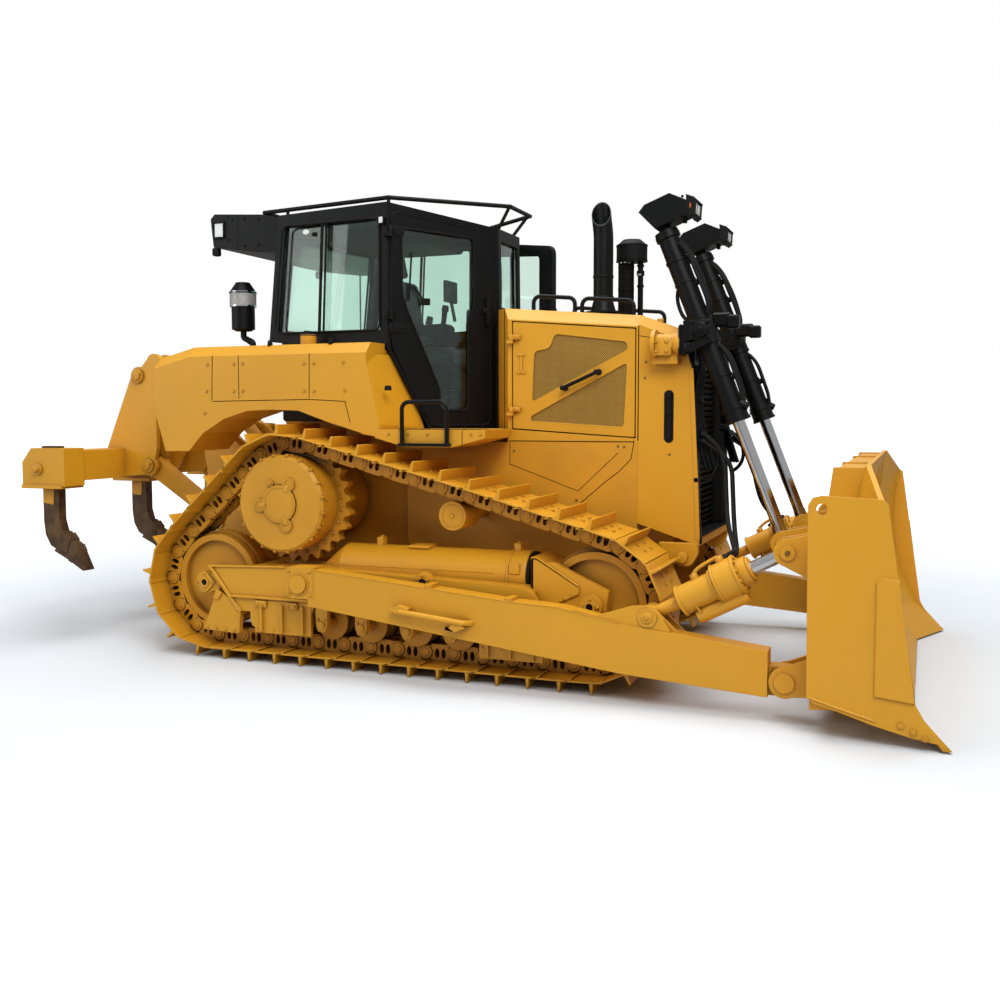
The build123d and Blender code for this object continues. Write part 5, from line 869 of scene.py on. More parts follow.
@dataclass
class Chain:
    """Both track chains: links with their pins, and shoes with their bolts, in millimetres."""

    track_y: float = 940.0
    pitch: float = 203.0
    link_height: float = 113.0
    pin_to_rail: float = 55.0
    link_thickness: float = 48.0
    inner_gap: float = 100.0
    shoe_width: float = 560.0
    shoe_thickness: float = 12.0
    grouser_height: float = 65.0
    grouser_base: float = 26.0
    grouser_tip: float = 12.0
    grouser_setback: float = 30.0
    sprocket_z: float = 1090.0
    sprocket_pitches: float = 12.5
    idler_r: float = 321.0
    seat_gap: float = 0.3
    idlers_x: Corner = (-625.0, 2155.0)
    carrier: Point = (1210.0, 1038.0, 94.0)
    boss_r: float = 52.0
    bolt_size: float = 14.0
    pin_phase: float = 0.2

    def circles(self) -> list[Point]:
        """Pin circles that the chain wraps, as (x, z, radius).

        Returns:
            The circles in the order that the chain meets them.
        """
        sprocket_r = self.pitch / 2 / math.sin(math.pi / self.sprocket_pitches)
        lean = math.asin(self.pitch / 2 / (self.idler_r + 1.25 * self.pin_to_rail))
        wrap = (self.idler_r + self.pin_to_rail + self.seat_gap) / math.cos(lean)
        idler_z = self.grouser_height + self.shoe_thickness + self.link_height - self.pin_to_rail + wrap
        x, z, r = self.carrier
        return [(0.0, self.sprocket_z, sprocket_r), (x, z, r + self.pin_to_rail + 6.0),
                (self.idlers_x[1], idler_z, wrap), (self.idlers_x[0], idler_z, wrap)]

    def runs(self) -> list[tuple[float, Callable[[float], Corner]]]:
        """Straight runs and arcs of the pin line, each with its length and its own place function.

        Returns:
            Each run as its length and a function from distance along it to a place.
        """
        circles = self.circles()
        lines = []
        for (x1, z1, r1), (x2, z2, r2) in zip(circles, circles[1:] + circles[:1]):
            distance = math.hypot(x2 - x1, z2 - z1)
            angle = math.atan2(z2 - z1, x2 - x1) + math.asin((r2 - r1) / distance)
            start = (x1 - r1 * math.sin(angle), z1 + r1 * math.cos(angle))
            lines.append((angle, start, math.sqrt(distance ** 2 - (r2 - r1) ** 2)))
        made = []
        for i, (angle, start, length) in enumerate(lines):
            made.append((length, lambda d, s=start, a=angle: (s[0] + d * math.cos(a), s[1] + d * math.sin(a))))
            after = lines[(i + 1) % len(lines)][0]
            x, z, r = circles[(i + 1) % len(circles)]
            turn = (angle - after) % (2 * math.pi)
            made.append((turn * r, lambda d, x=x, z=z, r=r, a=angle: (x - r * math.sin(a - d / r),
                                                                     z + r * math.cos(a - d / r))))
        return made

    def pins(self) -> list[Corner]:
        """Pin centres spaced evenly round the loop.

        Returns:
            The centres as (x, z).
        """
        runs = self.runs()
        total = sum(length for length, _ in runs)
        count = round(total / self.pitch)
        places = []
        for i in range(count):
            left = (i + self.pin_phase) * total / count
            for length, place in runs:
                if left <= length:
                    break
                left -= length
            places.append(place(left))
        return places

    def frames(self) -> list[tuple[Matrix, float]]:
        """A frame at each pin with x along its link, y outwards and z across, with the link's length.

        Returns:
            Each frame with the length of its link.
        """
        pins = self.pins()
        made = []
        for (x1, z1), (x2, z2) in zip(pins, pins[1:] + pins[:1]):
            along = Vector((x2 - x1, 0.0, z2 - z1))
            x = along.normalized()
            y = Vector((-x.z, 0.0, x.x))
            frame = Matrix((x, y, x.cross(y))).transposed().to_4x4()
            frame.translation = (x1, 0.0, z1)
            made.append((frame, along.length))
        return made

    def link(self) -> Form:
        """One link plate with its two oval windows and overlapping round ends.

        Returns:
            The link's form.
        """
        form = Form()
        shoe_side, half = self.link_height - self.pin_to_rail, self.link_thickness / 2
        rail, length = -self.pin_to_rail, self.pitch
        body = [(34, rail + 8), (52, rail), (length - 52, rail), (length - 34, rail + 8), (length - 30, 30),
                (length - 24, shoe_side), (24, shoe_side), (30, 30)]
        windows = [oval((length / 2 + side * 23, 6), (17, 33)) for side in (-1, 1)]
        form.pierced(Matrix.Translation((0, 0, -half)), body, windows, 2 * half)
        for centre, low, high in ((0.0, 1.0, half), (length, -half, -1.0)):
            way = 1 if centre == 0.0 else -1
            section = ((40, rail + 4), (40, shoe_side - 6), (-18, shoe_side - 8), (-44, 22), (-50, -6),
                       (-38, -38), (-8, rail + 3))
            end = [(centre + way * x, z) for x, z in section]
            form.panel(Matrix.Translation((0, 0, low)), end if way > 0 else end[::-1], high - low, edge=2.0)
        return form

    def shoe(self) -> Form:
        """One shoe: a flat plate with a lapped lip, a tapered grouser and four bolt heads.

        Returns:
            The shoe's form.
        """
        form = Form()
        inner = self.link_height - self.pin_to_rail
        outer, half, length = inner + self.shoe_thickness, self.shoe_width / 2, self.pitch
        lip = [(-34, inner - 15), (-6, inner), (length - 12, inner), (length + 16, inner + 4),
               (length + 17, outer + 2), (length - 14, outer), (-4, outer), (-36, inner - 6)]
        form.panel(Matrix.Translation((0, 0, -half)), lip, 2 * half, edge=1.5)
        taper = (self.grouser_base - self.grouser_tip) / 2
        back, top = self.grouser_setback, outer + self.grouser_height
        blade = [(back, outer - 2), (back + taper, top), (back + taper + self.grouser_tip, top),
                 (back + self.grouser_base, outer - 2)]
        form.panel(Matrix.Translation((0, 0, -half + 1)), blade, 2 * half - 2, edge=2.0)
        row = self.inner_gap / 2 + self.link_thickness / 2
        for side in (-1, 1):
            for x in (length * 0.45, length * 0.72):
                form.bolt((x, outer, side * row), (0, 1, 0), self.bolt_size, washer=False)
        return form

    def pin(self) -> Form:
        """One pin with its bushing, a boss on each side and its upset ends.

        Returns:
            The pin's form.
        """
        form = Form()
        near, far = self.inner_gap / 2, self.inner_gap / 2 + self.link_thickness
        form.rod((0, 0, -near - 2), (0, 0, near + 2), 33, sides=12)
        for side in (-1, 1):
            form.rod((0, 0, side * (far - 4)), (0, 0, side * (far + 9)),
                     self.boss_r - 5, self.boss_r - 9, sides=18)
            form.rod((0, 0, side * (far + 8)), (0, 0, side * (far + 14)), 28, 25, sides=12)
        return form

    def build(self) -> None:
        """Makes the near chain and its mirror image."""
        link, shoe, pin = self.link(), self.shoe(), self.pin()
        row = self.inner_gap / 2 + self.link_thickness / 2
        for side, tag in ((-1, "right"), (1, "left")):
            links, shoes = Form(), Form()
            across = Matrix.Translation((0, side * self.track_y, 0))
            for frame, length in self.frames():
                fit = across @ frame @ Matrix.Diagonal((length / self.pitch, 1, 1, 1))
                for rank in (-1, 1):
                    flip = Matrix.Diagonal((1, 1, -1, 1)) if rank > 0 else Matrix.Identity(4)
                    links.add(link, fit @ Matrix.Translation((0, 0, -rank * row)) @ flip)
                links.add(pin, across @ frame)
                shoes.add(shoe, fit)
            chain = links.close(f"track_links_{tag}", Body.CHASSIS, CAST_YELLOW)
            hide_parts(f"track_{tag}")
            shoes.close(f"track_shoes_{tag}", Body.CHASSIS, YELLOW)
        for form in (link, shoe, pin):
            form.mesh.free()


# ---------------------------------------------------------------- operator's seat
@dataclass
class Seat:
    """Air-sprung seat: cloth cushion, back and headrest over a moulded pan, in millimetres."""

    floor: float = 1631.0
    cushion: tuple[Point, Point] = ((350, -240, 2035), (850, 240, 2160))
    pressure: float = 4.0
    voxel: float = 0.012
    swell: float = 0.016

    def padded(self, name: str, shape: Form, band: float) -> bpy.types.Object:
        """Inflates a plain form into a cushion with softened edges.

        Args:
            name: the piece's name.
            shape: its plain form, a little smaller than the finished pad.
            band: softening of its edges in millimetres.

        Returns:
            The padded piece.
        """
        shape.soften(shape.mesh.faces[:], band, 3)
        piece = shape.close(name, Body.CHASSIS, CLOTH, 180.0)
        remesh = piece.modifiers.new("remesh", "REMESH")
        remesh.mode, remesh.voxel_size, remesh.use_smooth_shade = "VOXEL", self.voxel, True
        self.apply(piece)
        rest = [v.co.copy() for v in piece.data.vertices]
        cloth = piece.modifiers.new("cloth", "CLOTH")
        cloth.settings.use_pressure = True
        cloth.settings.uniform_pressure_force = self.pressure
        cloth.settings.effector_weights.gravity = 0.0
        scene = bpy.context.scene
        for number in range(1, 21):
            scene.frame_set(number)
        self.apply(piece)
        scene.frame_set(1)
        for vertex, start in zip(piece.data.vertices, rest):
            move = vertex.co - start
            if move.length > self.swell:
                vertex.co = start + move.normalized() * self.swell
        for polygon in piece.data.polygons:
            polygon.use_smooth = True
        return piece

    def apply(self, piece: bpy.types.Object) -> None:
        """Replaces the piece's mesh with what its modifiers give.

        Args:
            piece: the piece, changed in place.
        """
        graph = bpy.context.evaluated_depsgraph_get()
        made = bpy.data.meshes.new_from_object(piece.evaluated_get(graph), depsgraph=graph)
        material = piece.data.materials[0]
        piece.modifiers.clear()
        piece.data = made
        made.materials.clear()
        made.materials.append(material)

    def build(self) -> None:
        """Makes the pads, the pan, the base and the arm consoles."""
        low, high = self.cushion
        pad = Form()
        pad.block(low, high)
        cushion = self.padded("seat_cushion", pad, 45)
        back = Form()
        back.plate([(352, 2175), (285, 2640), (288, 2690), (365, 2705), (455, 2190)], -222, 222)
        rest = self.padded("seat_back", back, 40)
        head = Form()
        head.plate([(262, 2712), (242, 2875), (305, 2890), (340, 2712)], -125, 125)
        headrest = self.padded("seat_headrest", head, 30)
        shell = Form()
        shell.plate([(330, 2040), (255, 2690), (272, 2695), (350, 2120), (870, 2050), (860, 2020), (350, 2000)],
                    -215, 215, corner=12, edge=4)
        shell.block((400, -180, self.floor), (780, 180, 2010), 20, 2)
        for level in (1720, 1790, 1860, 1930):
            shell.block((390, -190, level), (790, 190, level + 30), 10, 2)
        for side in (-1, 1):
            shell.plate([(335, 2215), (345, 2305), (860, 2325), (895, 2290), (880, 2250), (800, 2225)],
                        side * 285, side * 390, corner=25, edge=10)
            shell.plate([(480, 2100), (500, 2220), (600, 2220), (580, 2100)], side * 245, side * 300, edge=6)
            shell.rod((820, side * 338, 2300), (835, side * 338, 2420), 17, 20, edge=4)
            shell.rod((835, side * 338, 2410), (842, side * 338, 2455), 27, 22, edge=8)
        base = shell.close("seat_base", Body.CHASSIS, RUBBER)
        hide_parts("operator_seat")
        del rest, headrest, base


# ---------------------------------------------------------------- final drive
@dataclass
class FinalDrive:
    """Bolts, plugs and joints on the drums of the final drives, in millimetres."""

    axis_z: float = 1090.0
    lug_r: float = 331.0
    lug_face: float = -1163.5
    rim_face: float = -977.5
    cover_face: float = -1199.5
    boss_face: float = -1211.5
    boss_reach: float = 153.6
    hub_r: float = 128.0
    lugs: int = 20
    rim_bolts: int = 25

    def at(self, radius: float, degrees: float, y: float) -> Point:
        """A place on a drum at a radius and a turn."""
        turn = math.radians(degrees)
        return (radius * math.cos(turn), y, self.axis_z + radius * math.sin(turn))

    def build(self) -> None:
        """Makes the fasteners and the fine joints of both sides."""
        outward = (0, -1, 0)
        bolts = Form()
        for i in range(self.lugs):
            turn = (i + 0.5) * 360 / self.lugs
            bolts.rod(self.at(self.lug_r - 5, turn, self.lug_face), self.at(self.lug_r - 5, turn, -1192), 13,
                      sides=12, edge=2)
            bolts.bolt(self.at(self.lug_r - 5, turn, -1192), outward, 9, washer=False)
        for i in range(self.rim_bolts):
            bolts.bolt(self.at(351, (i + 0.5) * 360 / self.rim_bolts, self.rim_face), outward, 13)
        for degrees in (60, 185, 290):
            bolts.ring(self.at(self.boss_reach, degrees, self.boss_face), outward, 28, 37, 3)
        plug = self.at(self.boss_reach, 115, self.boss_face)
        bolts.bolt(plug, outward, 13)
        bolts.ring((0, self.boss_face - 2, self.axis_z), outward, 108, 116, 1.5, 48)
        for degrees in (60, 185, 290, 115):
            side = 46 if degrees != 115 else 24
            start, end = self.at(100, degrees, self.cover_face + 4), self.at(150, degrees, self.cover_face + 4)
            bolts.rod(start, end, side * 0.55, side * 0.5, sides=16)
        bolts.mirror()
        bolts.close("final_drive_bolts", Body.CHASSIS, CAST_YELLOW)
        joint = Form()
        joint.ring((0, self.cover_face, self.axis_z), outward, self.hub_r, self.hub_r + 4, 0.8, 48)
        joint.mirror()
        joint.close("final_drive_joints", Body.CHASSIS, GAP)


# ---------------------------------------------------------------- track frames
@dataclass
class RunningGear:
    """What is bolted and welded to the track frames, the rollers and the idlers, in millimetres."""

    face: float = -1200.0
    rollers: tuple[float, ...] = (-205.0, 50.0, 312.0, 609.0, 944.0, 1250.0, 1560.0)
    roller_z: float = 290.3
    rear_idler: Corner = (-625.0, 525.0)
    front_idler: Corner = (2155.0, 525.0)
    recoil_z: float = 668.0
    carrier: Corner = (1210.0, 1038.0)

    def idler_caps(self, form: Form) -> None:
        """Adds the bolted caps at the idlers' axles.

        Args:
            form: takes the parts.
        """
        for (x, z), y, reach in ((self.rear_idler, -1180.0, 84), (self.front_idler, -1154.0, 66)):
            diamond = [(x, z + reach), (x + reach, z), (x, z - reach), (x - reach, z)]
            form.plate(diamond, y - 14, y + 1, corner=12, edge=3)
            form.ring((x, y - 13, z), (0, -1, 0), 22, 36, 8)
            for dx, dz in ((0, 1), (1, 0), (0, -1), (-1, 0)):
                form.bolt((x + dx * reach * 0.72, y - 14, z + dz * reach * 0.72), (0, -1, 0), 10)

    def frame_plates(self, form: Form) -> None:
        """Adds the flange down the frame's rear end, its ledge and the bolted guide guard.

        Args:
            form: takes the parts.
        """
        face = self.face
        form.plate([(-592, 650), (-556, 650), (-312, 343), (-350, 343)], face - 14, face + 2, edge=4)
        form.plate([(-560, 650), (38, 672), (38, 660), (-552, 638)], face - 14, face + 2, edge=3)
        form.block((-392, face - 24, 438), (250, face + 2, 456), 4)
        guard = [(-514, 486), (-636, 196), (-344, 184), (-325, 372)]
        form.plate(guard, -1204, -1186, corner=10, edge=4)
        form.plate([(-514, 486), (-545, 420), (-500, 410), (-470, 460)], -1216, -1203, edge=3)
        for x, z in ((-600, 216), (-525, 213), (-450, 210), (-375, 207), (-505, 440)):
            form.bolt((x, -1204, z), (0, -1, 0), 12)
        form.tube([(-342, -1204, 190), (-325, -1204, 366)], 5, smooth=False)

    def roller_caps(self, form: Form) -> None:
        """Adds the rollers' end caps with their bolts, and the brackets of the guards.

        Args:
            form: takes the parts.
        """
        for x in self.rollers[2:6]:
            form.rod((x, self.face + 2, self.roller_z), (x, self.face - 12, self.roller_z), 27, 24, edge=3)
            for side in (-1, 1):
                form.bolt((x + side * 26, self.face, self.roller_z + 34), (0, -1, 0), 10)
        for x in (-150, 95, 1510, 1640, 1790):
            form.block((x - 42, -1226, 382), (x + 42, -1203, 428), 6)
            for side in (-1, 1):
                form.bolt((x + side * 24, -1226, 404), (0, -1, 0), 10)
        for x in (-190, -60, 60, 190, 1470, 1600, 1730, 1850):
            form.bolt((x, -1204, 232), (0, -1, 0), 8, washer=False)

    def recoil(self, form: Form) -> None:
        """Adds the collar, pad, lugs and flange of the recoil housing.

        Args:
            form: takes the parts.
        """
        y, z = -940.0, self.recoil_z
        form.rod((1598, y, z), (1716, y, z), 157, sides=48, edge=5)
        form.rod((1586, y, z), (1600, y, z), 162, sides=48, edge=4)
        form.block((868, y - 75, z + 138), (1018, y + 75, z + 162), 8)
        form.block((1610, y - 163, z + 20), (1680, y - 150, z + 90), 4)
        for x in (637, 1620):
            form.plate([(x - 26, z + 140), (x - 4, z + 212), (x + 10, z + 212), (x + 34, z + 140)],
                       y - 14, y + 14, corner=6, edge=3)
        form.ring((1067, -1220, 620), (0, -1, 0), 27, 62, 6)
        form.bolts((1067, -1226, 620), (0, -1, 0), 45, 6, 9)
        form.tube([(400, -1088, z + 20), (1500, -1088, z + 20)], 4, smooth=False)

    def yoke(self, form: Form) -> None:
        """Adds the wedge of plates from the recoil rod to the idler's axle.

        Args:
            form: takes the parts.
        """
        wedge = [(1762, 500), (1762, 802), (1800, 806), (2075, 640), (2075, 588), (1880, 500)]
        form.plate(wedge, -1122, -1106, edge=5)
        form.plate([(1762, 786), (1762, 806), (1800, 810), (2078, 644), (2068, 628), (1798, 788)],
                   -1122, -800, edge=4)
        form.block((1762, -1122, 500), (1784, -770, 802), 5)
        for x, z in ((1990, 560), (2040, 585)):
            form.bolt((x, -1122, z), (0, -1, 0), 11)

    def build(self) -> None:
        """Makes the fittings of both sides."""
        plates = Form()
        self.idler_caps(plates)
        self.frame_plates(plates)
        self.roller_caps(plates)
        self.recoil(plates)
        self.yoke(plates)
        x, z = self.carrier
        plates.ring((x, -1070, z), (0, -1, 0), 70, 76, 2.5)
        plates.bolt((x, -1070, z), (0, -1, 0), 14)
        plates.mirror()
        plates.close("track_frame_fittings", Body.CHASSIS, YELLOW)
        boot = Form()
        boot.rod((1716, -940, self.recoil_z), (1741, -940, self.recoil_z), 151.5, sides=48, edge=3)
        boot.rod((1067, -1219, 620), (1067, -1221.2, 620), 27)
        for x, z, y in ((*self.rear_idler, -1194.5), (*self.front_idler, -1168.5)):
            boot.rod((x, y + 1, z), (x, y - 1, z), 22)
        boot.mirror()
        boot.close("recoil_boots", Body.CHASSIS, RUBBER)
        rod = Form()
        rod.rod((1739, -940, self.recoil_z), (1763, -940, self.recoil_z), 92, sides=40)
        rod.mirror()
        rod.close("recoil_rods", Body.CHASSIS, CHROME)


# ---------------------------------------------------------------- push arms
@dataclass
class PushArms:
    """Caps, welds and foot rungs of the push arms, in millimetres."""

    face: float = -1400.0
    trunnion: Corner = (262.0, 592.0)

    def build(self) -> None:
        """Makes the fittings of both arms."""
        face = self.face
        form = Form()
        for x in (190, 346):
            for z in (522, 676):
                form.bolt((x, face, z), (0, -1, 0), 12)
        form.ring((self.trunnion[0], face, self.trunnion[1]), (0, -1, 0), 64, 78, 5, 40)
        for x, z in ((948, 478), (1455, 398)):
            way = 1 if x < 1200 else -1
            outline = [(x - way * 6, z), (x + way * 60, z + 34), (x + way * 130, z + 18 * way - 4),
                       (x + way * 120, z - 22 * way - 14), (x + way * 70, z - 30)]
            form.plate(outline, face - 58, face + 2, corner=8, edge=4)
        form.tube([(374, face, 500), (374, face, 700)], 5, smooth=False)
        form.tube([(395, face - 1, 688), (1732, face - 1, 570), (2044, face - 1, 554), (2400, face - 1, 485)],
                  3, smooth=False)
        form.plate([(2120, 548), (2260, 520), (2470, 590), (2560, 598), (2632, 560), (2700, 450), (2420, 440)],
                   -1392, -1368, corner=14, edge=4)
        form.ring((2563, -1392, 530), (0, -1, 0), 30, 56, 8)
        form.rod((2563, -1380, 530), (2563, -1412, 530), 34, 31, edge=4)
        form.bolt((2563, -1412, 530), (0, -1, 0), 13)
        for x in (3225, 3262):
            form.tube([(x, -1355, 142), (x, -1355, 300)], 4, smooth=False)
        form.mirror()
        form.close("push_arm_fittings", Body.ARMS, YELLOW)


# ---------------------------------------------------------------- tilt cylinders
@dataclass
class TiltCylinders:
    """Bands, bolts and guards on the tilt cylinders' barrels, in millimetres."""

    pin: Point = (2563.0, -1300.0, 530.0)
    eye: Point = (3331.0, -1300.0, 935.0)

    def along(self, distance: float, aside: float = 0.0) -> Point:
        """A place on the cylinder's axis, or aside of it towards the ground."""
        way = (Vector(self.eye) - Vector(self.pin)).normalized()
        below = Vector((way.z, 0.0, -way.x))
        return tuple(Vector(self.pin) + way * distance + below * aside)

    def build(self) -> None:
        """Makes the fittings of both cylinders."""
        way = Vector(self.eye) - Vector(self.pin)
        form = Form()
        for start, end, radius in ((196, 214, 92), (408, 432, 98), (432, 446, 118), (556, 572, 118),
                                   (628, 644, 72)):
            form.rod(self.along(start), self.along(end), radius, sides=40, edge=4)
        form.bolts(self.along(572), tuple(way), 98, 10, 13)
        form.rod(self.along(250, 118), self.along(560, 118), 47, sides=28, edge=6)
        form.rod(self.along(275, 70), self.along(285, 70), 60, sides=16)
        form.rod(self.along(520, 70), self.along(530, 70), 60, sides=16)
        form.rod(self.along(330, -70), self.along(330, -112), 26, 24, sides=16, edge=3)
        form.rod(self.along(500, -100), self.along(500, -142), 26, 24, sides=16, edge=3)
        hose = ((330, -108), (360, -126), (430, -136), (500, -138))
        form.tube([self.along(distance, aside) for distance, aside in hose], 11)
        form.mirror()
        form.close("tilt_cylinder_fittings", Body.TILT_BARRELS, YELLOW)


# ---------------------------------------------------------------- hood and its doors
@dataclass
class EngineDoors:
    """Engine doors: a frame and a diagonal bar over perforated sheet, with their hardware, in millimetres."""

    outline: tuple[Corner, ...] = ((1433, 1593), (1433, 2302), (2268, 2230), (2268, 1538))
    upper: tuple[Corner, ...] = ((1580, 2106), (1690, 2122), (1724, 2218), (2214, 2152), (2222, 2100),
                                 (1566, 1764))
    lower: tuple[Corner, ...] = ((1558, 1640), (1560, 1676), (2218, 2022), (2198, 1600))
    face: float = -555.0
    depth: float = 30.0
    hinge_x: float = 1428.0
    hinge_y: float = -577.0
    hinges_z: Corner = (1700.0, 2180.0)
    knuckle: float = 38.0
    bracket_x: float = 1492.0
    bracket_z: Corner = (1966.0, 2084.0)
    handle_ends: tuple[Corner, Corner] = ((1785.0, 1852.0), (2044.0, 1966.0))
    handle_out: float = 48.0

    def panel(self) -> Form:
        """The pressed frame with its two openings and their folded rims.

        Returns:
            The panel's form.
        """
        form = Form()
        place = Matrix.Translation((0, self.face + self.depth, 0)) @ SIDE
        holes = [rounded(hole, 34) for hole in (self.upper, self.lower)]
        form.pierced(place, rounded(self.outline, 10, 2), holes, self.depth)
        for hole in holes:
            form.tube([(x, self.face + 3, z) for x, z in hole], 4, closed=True, smooth=False)
        for z in self.hinges_z:
            form.rod((self.hinge_x, self.hinge_y, z), (self.hinge_x, self.hinge_y, z + self.knuckle), 15,
                     sides=16, edge=2)
            form.block((self.hinge_x + 6, self.hinge_y - 4, z + 3),
                       (self.hinge_x + 62, self.face + 1, z + 35), 4)
            for x in (self.hinge_x + 28, self.hinge_x + 48):
                form.bolt((x, self.hinge_y - 4, z + 19), (0, -1, 0), 7)
        x, (low, high) = self.bracket_x, self.bracket_z
        form.block((x - 9, self.face - 9, low), (x + 9, self.face + 1, high), 3)
        for z in (low, high):
            form.block((x - 30, self.face - 9, z - 9), (x + 30, self.face + 1, z + 9), 3)
        return form

    def handle(self) -> Form:
        """The black pull handle across the diagonal bar.

        Returns:
            The handle's form.
        """
        form = Form()
        y = self.face - self.handle_out
        start, end = (Vector((x, y, z)) for x, z in self.handle_ends)
        form.rod(tuple(start), tuple(end), 12, sides=16, edge=4)
        for t in (0.06, 0.94):
            spot = start.lerp(end, t)
            form.rod((spot.x, y, spot.z), (spot.x, self.face + 1, spot.z), 10, 13, sides=16)
            form.rod((spot.x, self.face - 3, spot.z), (spot.x, self.face + 1, spot.z), 21, sides=16, edge=1)
            form.block((spot.x - 20, self.face - 62, spot.z - 15),
                       (spot.x + 20, self.face - 34, spot.z + 15), 6)
        return form

    def sheet(self) -> Form:
        """The perforated sheet behind both openings."""
        form = Form()
        for hole in (self.upper, self.lower):
            form.plate(rounded(hole, 10, 2), self.face + 9, self.face + 12)
        return form

    def build(self) -> None:
        """Makes the right door and the left one."""
        for side, tag, body in ((1, "right", Body.COVER_RIGHT), (-1, "left", Body.COVER_LEFT)):
            door = self.panel().handed(side).close(f"engine_door_panel_{tag}", body, YELLOW)
            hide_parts(f"engine_door_{tag}")
            self.sheet().handed(side).close(f"engine_door_sheet_{tag}", body, MESH)
            self.handle().handed(side).close(f"engine_door_handle_{tag}", body, RUBBER)


@dataclass
class HoodTrim:
    """Panel gaps, screws and small fittings of the hood, the case and the nose, in millimetres."""

    face: float = -555.0
    # Each gap as (places, width).
    gap_lines: tuple[tuple[tuple[Corner, ...], float], ...] = (
        (((1372, 2380), (1372, 1515)), 5),
        (((2266, 1513), (2246, 1397), (2170, 1316), (2074, 1244), (1877, 1074)), 5),
        (((1410, 1500), (1410, 1352), (1890, 1181), (2160, 1435)), 4),
        (((2291, 2245), (2291, 1520)), 7),
        (((1405, 1508), (2262, 1508)), 6),
        (((2300, 2185), (2440, 2160)), 4),
    )
    screw_places: tuple[Corner, ...] = ((2160, 1478), (2200, 1474), (2340, 2018), (2334, 1916), (2497, 1428),
                                        (1440, 1440), (1880, 1120))
    screw_size: float = 7.0
    flange: Point = (2468.0, -682.0, 2108.0)
    vent_x: float = 2490.0
    vent_z: Corner = (1533.0, 1807.0)

    def gaps(self, form: Form) -> None:
        """Draws the gaps between the lower panels."""
        for line, width in self.gap_lines:
            form.strip([(x, self.face, z) for x, z in line], (0, -1, 0), width)

    def screws(self, form: Form) -> None:
        """Adds the panel screws."""
        for x, z in self.screw_places:
            form.bolt((x, self.face, z), (0, -1, 0), self.screw_size)

    def nose(self, form: Form) -> None:
        """Adds the folded rim, the lug and the bottom bracket of the nose.

        Args:
            form: takes the parts.
        """
        rim = ((2683, 900), (2668, 1270), (2631, 1960))
        form.strip([(x, self.face, z) for x, z in rim], (0, -1, 0), 26, 4)
        form.rod((2404, -440, 2240), (2404, -440, 2300), 24, 20, sides=20, edge=4)
        form.block((2380, -470, 2236), (2428, -410, 2262), 5)
        form.plate([(2420, 868), (2680, 868), (2690, 800), (2640, 716), (2560, 716), (2470, 800)], -560, -520,
                   corner=26, edge=5)
        form.rod((2590, -556, 775), (2590, -606, 775), 36, sides=20, edge=5)

    def support(self, form: Form) -> None:
        """Adds the four-bolt flange and the neck on the lift cylinders' carriers."""
        x, y, z = self.flange
        form.block((x - 62, y - 4, z - 58), (x + 62, y + 40, z + 58), 14, 2)
        for dx, dz in ((-1, -1), (1, -1), (-1, 1), (1, 1)):
            form.bolt((x + dx * 34, y - 4, z + dz * 30), (0, -1, 0), 12)
        form.rod((2540, -620, 2125), (2580, -620, 2125), 70, sides=28, edge=5)

    def build(self) -> None:
        """Makes the trim of both sides."""
        gaps, screws, plates = Form(), Form(), Form()
        self.gaps(gaps)
        self.screws(screws)
        self.nose(plates)
        self.support(plates)
        for form, name, finish in ((gaps, "hood_panel_gaps", GAP), (screws, "hood_screws", SCREW),
                                   (plates, "nose_fittings", YELLOW)):
            form.mirror()
            form.close(name, Body.CHASSIS, finish)
        capsule = Form()
        outline = oval((0, 0), (29, 29), 24)
        low, high = self.vent_z
        shape = [(self.vent_x + x, (high if z >= 0 else low) + z) for x, z in outline]
        capsule.plate(shape, self.face + 2, self.face + 14, edge=2)
        inner = [(self.vent_x + (x - self.vent_x) * 0.6, z) for x, z in shape]
        capsule.plate(inner, self.face - 6, self.face + 6, edge=3)
        for z in (1800, 1690, 1540):
            capsule.rod((self.vent_x, self.face - 12, z), (self.vent_x, self.face, z), 14, 16, sides=16, edge=3)
        capsule.mirror()
        capsule.close("nose_vents", Body.CHASSIS, RUBBER)


